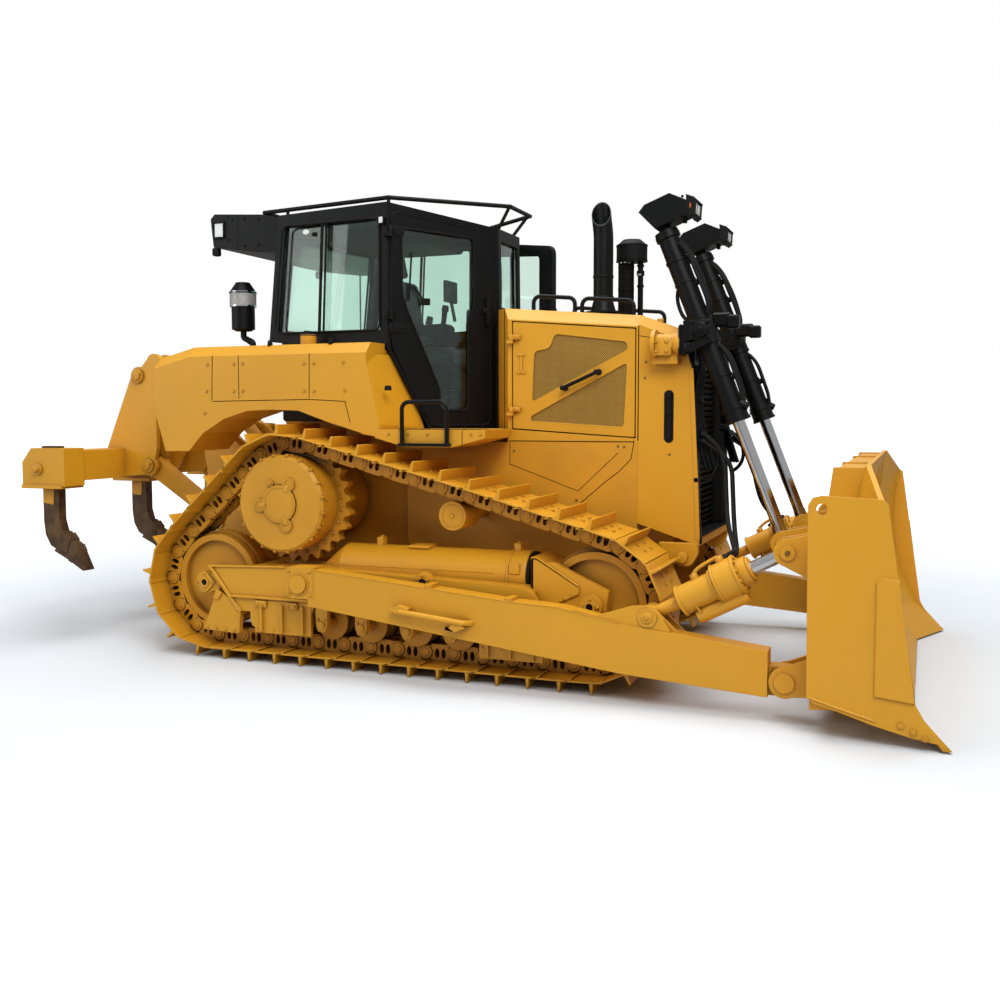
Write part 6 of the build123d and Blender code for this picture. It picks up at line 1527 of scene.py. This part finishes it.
@dataclass
class NoseFront:
    """Black front of the radiator guard: lining, louvres, ducts and rim, in millimetres."""

    half: float = 525.0
    low: float = 900.0
    high: float = 2100.0
    rear: float = 2546.0
    louvres: int = 30
    louvre_pitch: float = 39.0

    def front_x(self, z: float) -> float:
        """How far the nose reaches at a height."""
        return 2695 - (z - 850) * 23 / 420 if z < 1270 else 2672 - (z - 1270) * 37 / 700

    def build(self) -> None:
        """Makes the black lining and what stands in it."""
        form = Form()
        side = [(self.rear, self.low + 1), (self.front_x(self.low) + 5, self.low + 1),
                (self.front_x(1270) + 5, 1270), (self.front_x(1970) + 5, 1970), (2600, self.high - 1),
                (self.rear, self.high - 1)]
        for way in (-1, 1):
            form.plate(side, way * self.half, way * (self.half - 8))
            form.block((2690, way * 555, 860), (2702, way * 505, 905), 2)
        form.block((self.rear, -517, self.low), (self.front_x(self.low) + 5, 517, self.low + 8))
        form.block((self.rear, -517, self.high - 8), (2600, 517, self.high))
        for i in range(self.louvres):
            z = self.low + 30 + i * self.louvre_pitch
            form.plate([(2592, z), (2612, z + 24), (2616, z + 22), (2598, z)], -400, 400)
        for y in (-500, -405, 405, 500):
            form.block((2585, y - 14, self.low + 8), (2640, y + 14, self.high - 8), 4)
        for y in (-455, 455):
            form.block((2600, y - 34, self.low + 10), (2668, y + 34, 1560), 10)
        form.block((2560, -520, 1986), (2634, 520, 2092), 8)
        form.close("nose_lining", Body.CHASSIS, RUBBER)
        rim = Form()
        for way in (-1, 1):
            foot, bend, top = self.front_x(870), self.front_x(1270), self.front_x(1970)
            outline = [(foot - 6, 870), (foot + 9, 870), (bend + 9, 1270), (top + 9, 1970), (2594, 2136),
                       (2578, 2136), (top - 6, 1960), (bend - 6, 1270)]
            rim.plate(outline, way * 551, way * 512, edge=2)
        rim.plate([(2580, 2105), (2590, 2140), (2602, 2136), (2650, 1975), (2638, 1972)], -512, 512, edge=2)
        rim.close("nose_rim", Body.CHASSIS, BLACK)


# ---------------------------------------------------------------- lift cylinders
@dataclass
class LiftCylinders:
    """Hoses, clamps, trunnion caps and lamps of the lift cylinders, in millimetres."""

    pivot: Point = (2712.0, -580.0, 2200.0)
    eye: Point = (3221.0, -580.0, 900.0)
    # Upper hoses as (y, reach ahead of the axis, start, end); lower ones as (y, reach).
    upper_hoses: tuple[tuple[float, ...], ...] = ((-632, 92, -560, -90), (-590, 106, -590, -90),
                                                  (-545, 94, -560, -90))
    lower_hoses: tuple[Corner, ...] = ((-610, 92), (-560, 100))
    # Bands as (start, height, radius).
    bands: tuple[Point, ...] = ((-652, 32, 78), (-480, 18, 72), (-330, 14, 70), (-92, 16, 77), (76, 16, 77),
                                (300, 12, 70), (516, 12, 80), (586, 16, 80))
    ports: tuple[float, ...] = (-440, -300, 330, 480)
    cap_bolts: tuple[Corner, ...] = ((-52, 48), (46, 48), (-52, -46), (46, -46))
    nose_hoses_y: tuple[float, ...] = (-492, -468, -446)
    clamp_depths: tuple[float, ...] = (230, 420, 610)
    lamp_place: Corner = (2648.0, 2966.0)

    def along(self, distance: float, ahead: float = 0.0, y: float = -580.0) -> Point:
        """A place on the cylinder's axis, or ahead of it."""
        way = (Vector(self.eye) - Vector(self.pivot)).normalized()
        front = Vector((-way.z, 0.0, way.x))
        place = Vector(self.pivot) + way * distance + front * ahead
        return (place.x, y, place.z)

    def hoses(self, form: Form) -> None:
        """Adds the hoses that run down the barrel from its blind end.

        Args:
            form: takes the parts.
        """
        for y, bulge, start, end in self.upper_hoses:
            form.tube([self.along(start, 58, y), self.along(start + 60, 92, y),
                       self.along(start + 200, bulge, y),
                       self.along((start + end) / 2 + 60, bulge + 4, y), self.along(end - 40, 96, y),
                       self.along(end, 66, y)], 13)
        form.tube([self.along(-300, -60), self.along(-260, -84), self.along(-180, -92, -585),
                   self.along(-120, -84, -590), self.along(-90, -60, -590)], 12)
        for y, bulge in self.lower_hoses:
            form.tube([self.along(120, 60, y), self.along(180, bulge, y), self.along(330, bulge - 4, y),
                       self.along(470, bulge - 8, y), self.along(520, 62, y)], 12)

    def castings(self, form: Form) -> None:
        """Adds the barrel's bands and ports.

        Args:
            form: takes the parts.
        """
        way = (Vector(self.eye) - Vector(self.pivot)).normalized()
        for start, height, radius in self.bands:
            form.ring(self.along(start), way, 60, radius, height, 40)
        for distance in self.ports:
            form.rod(self.along(distance, 40, -590), self.along(distance, 88, -590), 24, 18, sides=14, edge=4)
        form.rod(self.along(500, 50, -610), self.along(540, 92, -610), 28, 22, sides=12, edge=4)

    def trunnions(self, form: Form) -> None:
        """Adds the bearing caps, their bolts and the outrigger block on the fork.

        Args:
            form: takes the parts.
        """
        x, z = self.pivot[0], self.pivot[2]
        form.block((x - 70, -704, z - 62), (x + 62, -683, z + 66), 12, 2)
        form.rod((x, -700, z), (x, -722, z), 52, 46, sides=32, edge=5)
        form.bolt((x, -722, z), (0, -1, 0), 17)
        for dx, dz in self.cap_bolts:
            form.bolt((x + dx, -704, z + dz), (0, -1, 0), 11)
        low = [(x - 96, z - 128), (x - 82, z - 84), (x + 66, z - 34), (x + 78, z - 70), (x - 60, z - 136)]
        form.plate(low, -704, -682, corner=8, edge=5)
        form.block((x - 140, -690, z - 150), (x - 112, -470, z + 40), 10)
        form.block((x + 30, -500, z + 30), (x + 150, -440, z + 120), 12)
        form.block((x + 120, -505, z + 20), (x + 200, -420, z + 105), 10)
        for i, y in enumerate(self.nose_hoses_y):
            form.tube([(x - 60, y, z - 90), (x - 20, y - 10, z - 190), (x - 55 + 12 * i, y - 14, z - 320),
                       (x - 66 + 14 * i, y - 8, z - 520), (x - 40 + 20 * i, y, z - 700),
                       (x + 10 + 22 * i, y - 6, z - 860)], 14)
        form.tube([(x - 10, -490, z - 640), (x + 62, -490, z - 700), (x + 96, -490, z - 800),
                   (x + 60, -490, z - 900), (x + 2, -490, z - 930)], 13)
        for depth in self.clamp_depths:
            form.block((x - 96, -508, z - depth - 26), (x - 24, -426, z - depth + 26), 10)

    def lamp(self) -> tuple[Form, Form, Form]:
        """The lamp's bezel and lens with its reflector, in the housing's front.

        Returns:
            The bezel, the lens and the reflector.
        """
        bezel, lens, amber = Form(), Form(), Form()
        x, z = self.lamp_place
        outline = [(x - 30, z - 66), (x - 8, z - 74), (x + 22, z - 52), (x + 26, z + 22), (x + 4, z + 48),
                   (x - 40, z + 66)]
        for y0, y1 in ((-678, -668), (-492, -482)):
            bezel.plate(outline, y0, y1, edge=3)
        bezel.plate([(x + 2, z + 40), (x + 28, z + 18), (x + 32, z + 26), (x + 4, z + 52)], -676, -484, edge=2)
        bezel.plate([(x - 8, z - 74), (x + 22, z - 54), (x + 27, z - 60), (x - 4, z - 82)], -676, -484, edge=2)
        bezel.rod((x - 60, -588, z - 96), (x - 60, -588, z - 30), 14, sides=12)
        for y0, y1 in ((-664, -584), (-576, -496)):
            lens.plate([(x - 4, z - 60), (x + 16, z - 48), (x + 20, z + 14), (x, z + 34)], y0, y1, edge=5)
        amber.block((x - 16, -680, z - 20), (x - 5, -677.5, z + 8), 1)
        for dx, dz in ((-190, 10), (-60, 52), (-40, -52), (-230, -18)):
            bezel.bolt((x + dx, -675, z + dz), (0, -1, 0), 8)
        return bezel, lens, amber

    def build(self) -> None:
        """Makes the fittings of both cylinders."""
        hoses, castings, trunnions = Form(), Form(), Form()
        self.hoses(hoses)
        self.castings(castings)
        self.trunnions(trunnions)
        bezel, lens, amber = self.lamp()
        for form, name, body, finish in ((hoses, "lift_hoses", Body.LIFT_BARRELS, RUBBER),
                                         (castings, "lift_castings", Body.LIFT_BARRELS, BLACK),
                                         (trunnions, "lift_trunnion_caps", Body.CHASSIS, BLACK),
                                         (bezel, "work_lamp_bezels", Body.LIFT_BARRELS, RUBBER),
                                         (lens, "work_lamp_faces", Body.LIFT_BARRELS, LED),
                                         (amber, "work_lamp_reflectors", Body.LIFT_BARRELS, AMBER)):
            form.mirror()
            form.close(name, body, finish)


@dataclass
class BladeHoses:
    """Hoses from the nose to the tilt cylinders, in millimetres."""

    radius: float = 15.0
    bend_start: Corner = (2850.0, 1300.0)
    bend_end: Corner = (3040.0, 880.0)

    def build(self) -> None:
        """Makes the hoses of both sides and leaves them on no body."""
        form = Form()
        for shift in (0.0, 42.0):
            form.tube([(2700, -505, 1560 - shift), (2790, -520, 1500 - shift), (2850 + shift, -560, 1380),
                       (2868 + shift, -620, 1200), (2900 + shift, -740, 1020 - shift),
                       (2980 + shift / 2, -960, 890 - shift), (3010 - shift, -1150, 900 - shift / 2),
                       (2975 - shift, -1262, 885 - shift / 2),
                       (2925 - shift, -1292, 826 - shift / 2)], self.radius)
        for shift in (0.0, 36.0):
            form.rod((2690, -505, 1560 - shift * 1.2), (2716, -508, 1548 - shift * 1.2), 21, sides=6)
        form.mirror()
        piece = form.close("blade_hoses", None, RUBBER)
        start, end = (TO_METRES @ Vector((x, 0.0, z)) for x, z in (self.bend_start, self.bend_end))
        tuple(start)
        tuple(end)
        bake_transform(piece)


# ---------------------------------------------------------------- stack and air intake
@dataclass
class Intake:
    """Bands and clamps of the exhaust stack and the air pre-cleaner, in millimetres."""

    stack: Corner = (1945.0, -170.0)
    pipe: Corner = (2049.0, 40.0)
    drain: Corner = (2151.0, 40.0)
    bowl: Corner = (2089.0, 40.0)
    rib_count: int = 10
    rib_r: float = 52.0

    def build(self) -> None:
        """Makes the bands, the ribs, the bowl's cap, the stack's base ring and the clamps."""
        bands = Form()
        for (x, y), z, radius in ((self.stack, 2610, 70.5), (self.stack, 2470, 73), (self.pipe, 2622, 54),
                                  (self.drain, 2560, 24), (self.drain, 2700, 25)):
            bands.rod((x, y, z), (x, y, z + 16), radius, sides=36, edge=2)
        bands.ring((*self.bowl, 2737), (0, 0, 1), 100, 109, 8, 48)
        bands.ring((*self.bowl, 2842), (0, 0, 1), 96, 109, 9, 48)
        bands.lathe(frame_at((*self.bowl, 2880), Vector((0, 0, 1))),
                    [(0, 12), (30, 11), (52, 6), (64, 0), (60, -4), (0, -4)], 32)
        for i in range(self.rib_count):
            turn = 2 * math.pi * i / self.rib_count
            x, y = self.pipe[0] + self.rib_r * math.cos(turn), self.pipe[1] + self.rib_r * math.sin(turn)
            bands.block((x - 4, y - 4, 2420), (x + 4, y + 4, 2730), 1)
        bands.ring((*self.stack, 2370), (0, 0, 1), 66, 128, 12, 40)
        bands.close("intake_bands", Body.CHASSIS, RUBBER)
        clamps = Form()
        for (x, y), z, radius in ((self.drain, 2640, 24), (self.pipe, 2725, 56)):
            clamps.rod((x, y, z), (x, y, z + 9), radius, sides=32)
            clamps.block((x - 14, y - radius - 12, z - 2), (x + 14, y - radius + 4, z + 11), 2)
        clamps.close("intake_clamps", Body.CHASSIS, CHROME)


# ---------------------------------------------------------------- cab
@dataclass
class CabDoors:
    """Seals, frames, wipers, latches and hinges of the cab doors, in millimetres on the door's own plane."""

    foot: Corner = (620.0, -800.0)
    along: Corner = (0.691, 0.722)
    hinge: Corner = (651.11, 799.32)
    open_deg: float = 30.0
    edge: tuple[Corner, ...] = ((22, 2140), (22, 3060), (769, 2968), (769, 1602), (311, 1602))
    hinges_z: Corner = (2240.0, 2890.0)
    pane: tuple[Corner, ...] = ((141, 2390), (103, 2500), (103, 2945), (638, 2905), (638, 2440), (590, 2320),
                                (590, 1715), (374, 1715), (374, 1860))

    def place(self) -> Matrix:
        """The door's frame: along its sill, up, and outward."""
        x, y = self.along
        return Matrix(((x, 0, y, self.foot[0]), (y, 0, -x, self.foot[1]), (0, 1, 0, 0), (0, 0, 0, 1)))

    def on(self, points: Sequence[Corner], out: float) -> list[Point]:
        """Places of points on the door's plane at a distance outward."""
        place = self.place()
        return [tuple(place @ Vector((x, z, out))) for x, z in points]

    def seals(self) -> Form:
        """The rubber around the pane and the door, the wiper, the latch and the hinges.

        Returns:
            One form with all of them.
        """
        form = Form()
        form.tube(self.on(rounded(self.pane, 48), 5), 8, closed=True, smooth=False)
        inner = [(x + (9 if x < 300 else -9), z + (9 if z < 2300 else -9)) for x, z in self.edge]
        form.tube(self.on(rounded(inner, 60), 3), 6, closed=True, smooth=False)
        form.tube(self.on([(173, 2783), (160, 2610), (151, 2456)], 10), 7)
        form.tube(self.on([(176, 2560), (230, 2500), (260, 2462)], 14), 6)
        place = self.place()
        form.add(self.bar(place, (722, 2350), (752, 2475), 3, 34))
        form.add(self.bar(place, (690, 2392), (730, 2424), 22, 40))
        form.add(self.bar(place, (235, 2432), (300, 2478), 3, 30))
        for low in self.hinges_z:
            form.add(self.bar(place, (26, low), (120, low + 62), 3, 12))
            for x in (64, 100):
                spot = self.on([(x, low + 31)], 12)[0]
                form.bolt(spot, (self.along[1], -self.along[0], 0), 9)
            knuckle = self.on([(22, low - 4), (22, low + 66)], 8)
            form.rod(knuckle[0], knuckle[1], 15, sides=16, edge=2)
        return form

    def bar(self, place: Matrix, low: Corner, high: Corner, inner: float, outer: float) -> Form:
        """A small rounded block on the door's plane."""
        part = Form()
        part.block((low[0], low[1], inner), (high[0], high[1], outer), 4)
        bmesh.ops.transform(part.mesh, matrix=place, verts=part.mesh.verts[:])
        return part

    def build(self) -> None:
        """Makes the right door's pieces and the left ones, which stand open."""
        self.seals().close("cab_door_seals_right", Body.DOOR_RIGHT, RUBBER)
        left = self.seals()
        left.tube(self.on([(700, 2200), (700, 2250), (700, 2500), (700, 2560)], -50), 11)
        for z in (2215, 2545):
            left.tube(self.on([(700, z), (700, z + 1)], -50) + self.on([(700, z)], -8), 11)
        left.handed(-1).turned(self.hinge, self.open_deg)
        left.close("cab_door_seals_left", Body.DOOR_LEFT, RUBBER)


@dataclass
class CabTrim:
    """Window seals, posts, lamps and the inside of the cab, in millimetres."""

    window: tuple[Corner, ...] = ((-270, 2260), (-195, 3000), (565, 3010), (560, 2260))
    rear_window: tuple[Corner, ...] = ((-600, 2295), (-600, 2990), (600, 2990), (600, 2295))
    windscreen: tuple[Corner, ...] = ((-165, 2440), (-165, 2900), (165, 2900), (165, 2440))
    rear_x: float = -352.0
    screen_x: float = 1186.0
    box_side: float = -730.0
    box_bolts: tuple[Corner, ...] = ((-690, 2950), (-660, 3090), (-560, 2900), (-560, 3090), (-440, 2900),
                                     (-440, 3080))
    console_y: Corner = (300.0, 440.0)

    def outside(self, form: Form) -> None:
        """Adds seals, the sliding window's post and the outer fittings.

        Args:
            form: takes the parts.
        """
        ring = rounded(self.window, 50)
        form.tube([(x, -802, z) for x, z in ring], 7, closed=True, smooth=False)
        form.rod((121, -796, 2998), (86, -796, 2264), 11, sides=12)
        form.rod((150, -790, 2998), (116, -790, 2264), 8, sides=12)
        form.block((575, -838, 2960), (612, -802, 3012), 8)
        form.block((-828, -742, 2962), (-814, -728, 3082), 3)
        form.block((-740, -742, 2962), (-727, -728, 3082), 3)
        form.block((-828, -742, 3072), (-727, -728, 3084), 3)
        form.block((-828, -742, 2960), (-727, -728, 2972), 3)
        form.block((-835, -748, 2840), (-785, -690, 2898), 9)
        form.strip([(-620, -730.5, 2870), (-612, -730.5, 3118)], (0, -1, 0), 4)
        form.strip([(-705, -730.5, 2930), (-700, -730.5, 3128)], (0, -1, 0), 4)
        for x, z in self.box_bolts:
            form.bolt((x, self.box_side, z), (0, -1, 0), 9)

    def inside(self, form: Form) -> None:
        """Adds consoles, levers, the dash, a monitor and the headlining.

        Args:
            form: takes the parts.
        """
        for way in (-1, 1):
            y0, y1 = sorted(way * y for y in self.console_y)
            form.block((180, y0, 1640), (640, y1, 2190), 26, 2)
            form.block((420, y0 + 8, 2190), (740, y1 - 8, 2235), 18, 2)
            form.rod((700, way * 370, 2230), (726, way * 370, 2330), 13, 9, sides=14)
            form.rod((722, way * 370, 2318), (736, way * 370, 2378), 27, 22, sides=20, edge=7)
        form.block((1050, -170, 1640), (1130, 170, 2380), 24, 2)
        form.block((930, -200, 2300), (1100, 200, 2440), 26, 2)
        form.rod((900, -310, 2340), (880, -330, 2480), 12, sides=12)
        form.block((862, -430, 2470), (892, -240, 2620), 8, 2)
        for y in (-110, 110):
            form.rod((1040, y, 1700), (960, y, 1800), 10, sides=10)
            form.block((925, y - 45, 1780), (985, y + 45, 1796), 4)
        form.block((-230, -700, 2960), (540, 700, 3030), 24, 2)
        for way in (-1, 1):
            y0, y1 = sorted((way * 742, way * 690))
            form.block((-262, y0, 1640), (560, y1, 2236), 14)
        form.block((-255, -690, 1640), (-205, 690, 2270), 14)
        form.tube([(1120, 0, 2430), (1150, -40, 2560), (1158, -90, 2760)], 7)

    def build(self) -> None:
        """Makes the trim."""
        outside, inside, led, white = Form(), Form(), Form(), Form()
        self.outside(outside)
        outside.mirror()
        for x, opening, corner, radius in ((self.rear_x, self.rear_window, 50, 7),
                                           (self.screen_x, self.windscreen, 30, 6)):
            outside.tube([(x, y, z) for y, z in rounded(opening, corner)], radius, closed=True, smooth=False)
        outside.close("cab_seals", Body.CHASSIS, RUBBER)
        self.inside(inside)
        inside.close("cab_interior", Body.CHASSIS, LINING)
        led.block((-812, self.box_side - 7, 2974), (-742, self.box_side - 1, 3070), 2)
        led.block((579, -842, 2966), (608, -836, 3006), 3)
        led.mirror()
        led.close("cab_lamp_faces", Body.CHASSIS, LED)
        white.plate([(x - 7, 2950 + z) for x, z in oval((0, 0), (26, 17), 24)], -796, -806, edge=3)
        white.close("cab_window_device", Body.CHASSIS, LED)


# ---------------------------------------------------------------- fenders
@dataclass
class FenderTrim:
    """Seams, bolts, caps and lugs of the fenders and the filter canister, in millimetres."""

    face: float = -1075.0
    # Each gap as (places, width).
    gap_lines: tuple[tuple[tuple[Corner, ...], float], ...] = (
        (((-609, 2096), (-619, 1790)), 6),
        (((-394, 2096), (-394, 1800)), 5),
        (((171, 2096), (166, 1800)), 5),
        (((-612, 1782), (165, 1790), (440, 1775), (476, 1640)), 5),
        (((1283, 1582), (1283, 1484)), 5),
    )
    bolt_places: tuple[Corner, ...] = ((-430, 2038), (-434, 1852), (207, 2032), (204, 1846), (-650, 2038),
                                       (-660, 1852), (-680, 1700), (430, 2032), (440, 1846), (-360, 2038),
                                       (-360, 1852), (130, 2032), (130, 1846))
    step_bolts_x: tuple[float, ...] = (760, 900, 1040, 1180, 1340, 1410)
    lugs_x: Corner = (-184.0, 296.0)
    filler: Corner = (60.0, -900.0)
    canister: Corner = (-645.0, -640.0)
    tread: tuple[int, int] = (12, 4)

    def build(self) -> None:
        """Makes the trim of both fenders and of the canister."""
        gaps, bolts, rubber = Form(), Form(), Form()
        out = (0, -1, 0)
        for line, width in self.gap_lines:
            gaps.strip([(x, self.face, z) for x, z in line], out, width)
        for x, z in self.bolt_places:
            bolts.bolt((x, self.face, z), out, 10)
        for x in self.step_bolts_x:
            bolts.bolt((x, self.face, 1560), out, 9)
        for x in self.lugs_x:
            rubber.rod((x, -1000, 2160), (x, -1000, 2198), 20, 14, sides=18, edge=3)
        x, y = self.filler
        rubber.rod((x, y, 2226), (x, y, 2244), 58, 50, sides=36, edge=4)
        rubber.block((x - 12, y - 45, 2240), (x + 12, y + 45, 2262), 6)
        rubber.rod((721, -1000, 1846), (721, -1000, 1878), 26, 20, sides=20, edge=6)
        for form in (gaps, bolts, rubber):
            form.mirror()
        gaps.close("fender_panel_gaps", Body.CHASSIS, GAP)
        bolts.close("fender_bolts", Body.CHASSIS, CAST_YELLOW)
        mat = Form()
        for i in range(self.tread[0]):
            for k in range(self.tread[1]):
                x, y = 820 + i * 50, -1050 + k * 44
                mat.block((x, y, 1588), (x + 30, y + 9, 1593), 1)
        rubber.add(mat)
        rubber.rod((*self.canister, 2298), (*self.canister, 2312), 60, 76, sides=36, edge=4)
        rubber.tube([(-650, -640, 2304), (-648, -650, 2262), (-620, -650, 2226), (-585, -645, 2206)], 10)
        rubber.close("fender_fittings", Body.CHASSIS, RUBBER)
        band = Form()
        band.ring((*self.canister, 2484), (0, 0, 1), 90, 96, 84, 56)
        band.close("canister_band", Body.CHASSIS, GAUZE)
        fitting = Form()
        fitting.rod((-740, -640, 2457), (-722, -640, 2457), 16, sides=16, edge=3)
        fitting.ring((*self.canister, 2572), (0, 0, 1), 92, 98, 12, 48)
        fitting.ring((*self.canister, 2474), (0, 0, 1), 86, 97, 10, 48)
        fitting.close("canister_clamps", Body.CHASSIS, CHROME)


# ---------------------------------------------------------------- blade
@dataclass
class BladeTrim:
    """Weld beads, edge bolts and pin caps of the blade, in millimetres."""

    pin: Corner = (3327.0, 221.0)
    face: float = -1650.0
    wear_plate: tuple[Corner, ...] = ((473, 39), (473, 619), (503, 639), (578, 629))
    corner_bolts: tuple[Corner, ...] = ((600, 120), (660, 92), (716, 64))
    edge_bolts: int = 12
    edge_pitch: float = 98.0
    rib_y: float = -1212.0
    bead_feet_z: Point = (235.0, 480.0, 720.0)

    def build(self) -> None:
        """Makes the trim of both sides."""
        beads, bolts, caps = Form(), Form(), Form()
        px, pz = self.pin
        y = self.face
        beads.tube([(px + x, y, pz + z) for x, z in self.wear_plate], 7, smooth=False)
        beads.tube([(px + 139, y, 225), (px + 300, y, 178), (px + 480, y, 130)], 8, smooth=False)
        for x, z in self.corner_bolts:
            bolts.rod((px + x, y + 1, z), (px + x, y - 9, z), 17, sides=20, edge=2)
        for cap in ((px, -1376, pz), (px + 4, -1395, 935)):
            caps.bolt(cap, (0, -1, 0), 12)
        for i in range(self.edge_bolts):
            across = -1130 + i * self.edge_pitch
            bolts.rod((px + 400, across, 150), (px + 392, across, 158), 17, sides=16)
        for z in self.bead_feet_z:
            beads.tube([(px + 160, self.rib_y, z), (px + 160, self.rib_y, z + 190)], 6, smooth=False)
        for form, name, finish in ((beads, "blade_weld_beads", YELLOW),
                                   (bolts, "blade_edge_bolts", CAST_YELLOW),
                                   (caps, "blade_pin_screws", SCREW)):
            form.mirror()
            form.close(name, Body.BLADE, finish)


# ---------------------------------------------------------------- ripper
@dataclass
class RipperTrim:
    """Pins, caps, shank guards, tips and hoses of the ripper, in millimetres."""

    rear: float = -2210.0
    front: float = -2060.0
    shanks: tuple[float, ...] = (-1000.0, 0.0, 1000.0)
    shank_pin: Corner = (-2185.0, 1282.0)
    link_pins: tuple[Point, ...] = ((-1715, -436, 1285), (-1795, -436, 1995))
    weld_x: float = -1948.0

    def shank_parts(self, guards: Form, tips: Form) -> None:
        """Adds the yellow guards under the beam and the worn tips with their collars.

        Args:
            guards: the form that takes the guards.
            tips: the form that takes the tips.
        """
        r, f = self.rear, self.front
        for y in self.shanks:
            for way in (-1, 1):
                y0, y1 = sorted((y + way * 36, y + way * 44))
                guards.plate([(r + 4, 1136), (f - 34, 1136), (f - 48, 1010), (r + 6, 1022)], y0, y1, corner=14,
                             edge=3)
            tips.plate([(f + 40, 812), (f + 92, 752), (f + 164, 704), (f + 252, 524), (f + 222, 519),
                        (f + 52, 612), (r + 96, 660), (f - 8, 700)], y - 46, y + 46, corner=8, edge=7)
            tips.plate([(f + 66, 800), (f + 112, 748), (f + 72, 640), (f + 10, 668), (f + 6, 700)],
                       y - 54, y + 54, corner=8, edge=6)
            tips.plate([(f + 158, 716), (f + 186, 660), (f + 118, 574), (f + 84, 592)],
                       y - 50, y + 50, corner=5, edge=4)
            for way in (-1, 1):
                tips.rod((f + 66, y + way * 52, 716), (f + 66, y + way * 60, 716), 17, sides=20, edge=3)

    def pins(self, form: Form) -> None:
        """Adds the pins' collars and caps on one side.

        Args:
            form: takes the parts.
        """
        x, z = self.shank_pin
        for y in self.shanks[:2]:
            form.rod((x, y - 105, z), (x, y - 122, z), 44, sides=28, edge=4)
            form.rod((x, y - 118, z), (x, y - 152, z), 24, sides=24, edge=4)
            form.block((x - 30, y - 130, z - 20), (x + 30, y - 120, z + 20), 5)
        for x, y, z in self.link_pins:
            form.rod((x, y + 4, z), (x, y - 6, z), 56, sides=32, edge=3)
            form.rod((x, y - 4, z), (x, y - 20, z), 34, sides=28, edge=5)
            form.bolt((x + 40, y - 6, z + 22), (0, -1, 0), 10)
        form.tube([(-2060, -280, 1440), (-1960, -280, 1440)], 7, smooth=False)
        for y in (-895, -105):
            form.tube([(self.weld_x, y, 1190), (self.weld_x, y, 1415)], 7, smooth=False)

    def build(self) -> None:
        """Makes the ripper's trim."""
        guards, tips, pins = Form(), Form(), Form()
        self.shank_parts(guards, tips)
        self.pins(pins)
        pins.mirror()
        guards.add(pins)
        guards.close("ripper_pin_caps", Body.RIPPER_TOOL, CAST_YELLOW)
        tips.close("ripper_tips", Body.RIPPER_TOOL, WORN)


ASSEMBLIES: tuple[type, ...] = (
    Chain, Seat, FinalDrive, RunningGear, PushArms, TiltCylinders, EngineDoors, HoodTrim, NoseFront,
    LiftCylinders, BladeHoses, Intake, CabDoors, CabTrim, FenderTrim, BladeTrim, RipperTrim,
)


def main() -> None:
    """Builds the studio and every sub-assembly in order."""
    logging.basicConfig(level=logging.INFO, format="%(name)s: %(message)s", stream=sys.stdout)
    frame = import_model()
    scene = bpy.context.scene
    scene.view_settings.view_transform = "Standard"
    Studio().build()
    dress_nodes(frame["nodes"])
    for assembly in ASSEMBLIES:
        LOG.info("building %s", assembly.__name__)
        assembly().build()
    bpy.context.view_layer.update()


if __name__ == "__main__":
    main()
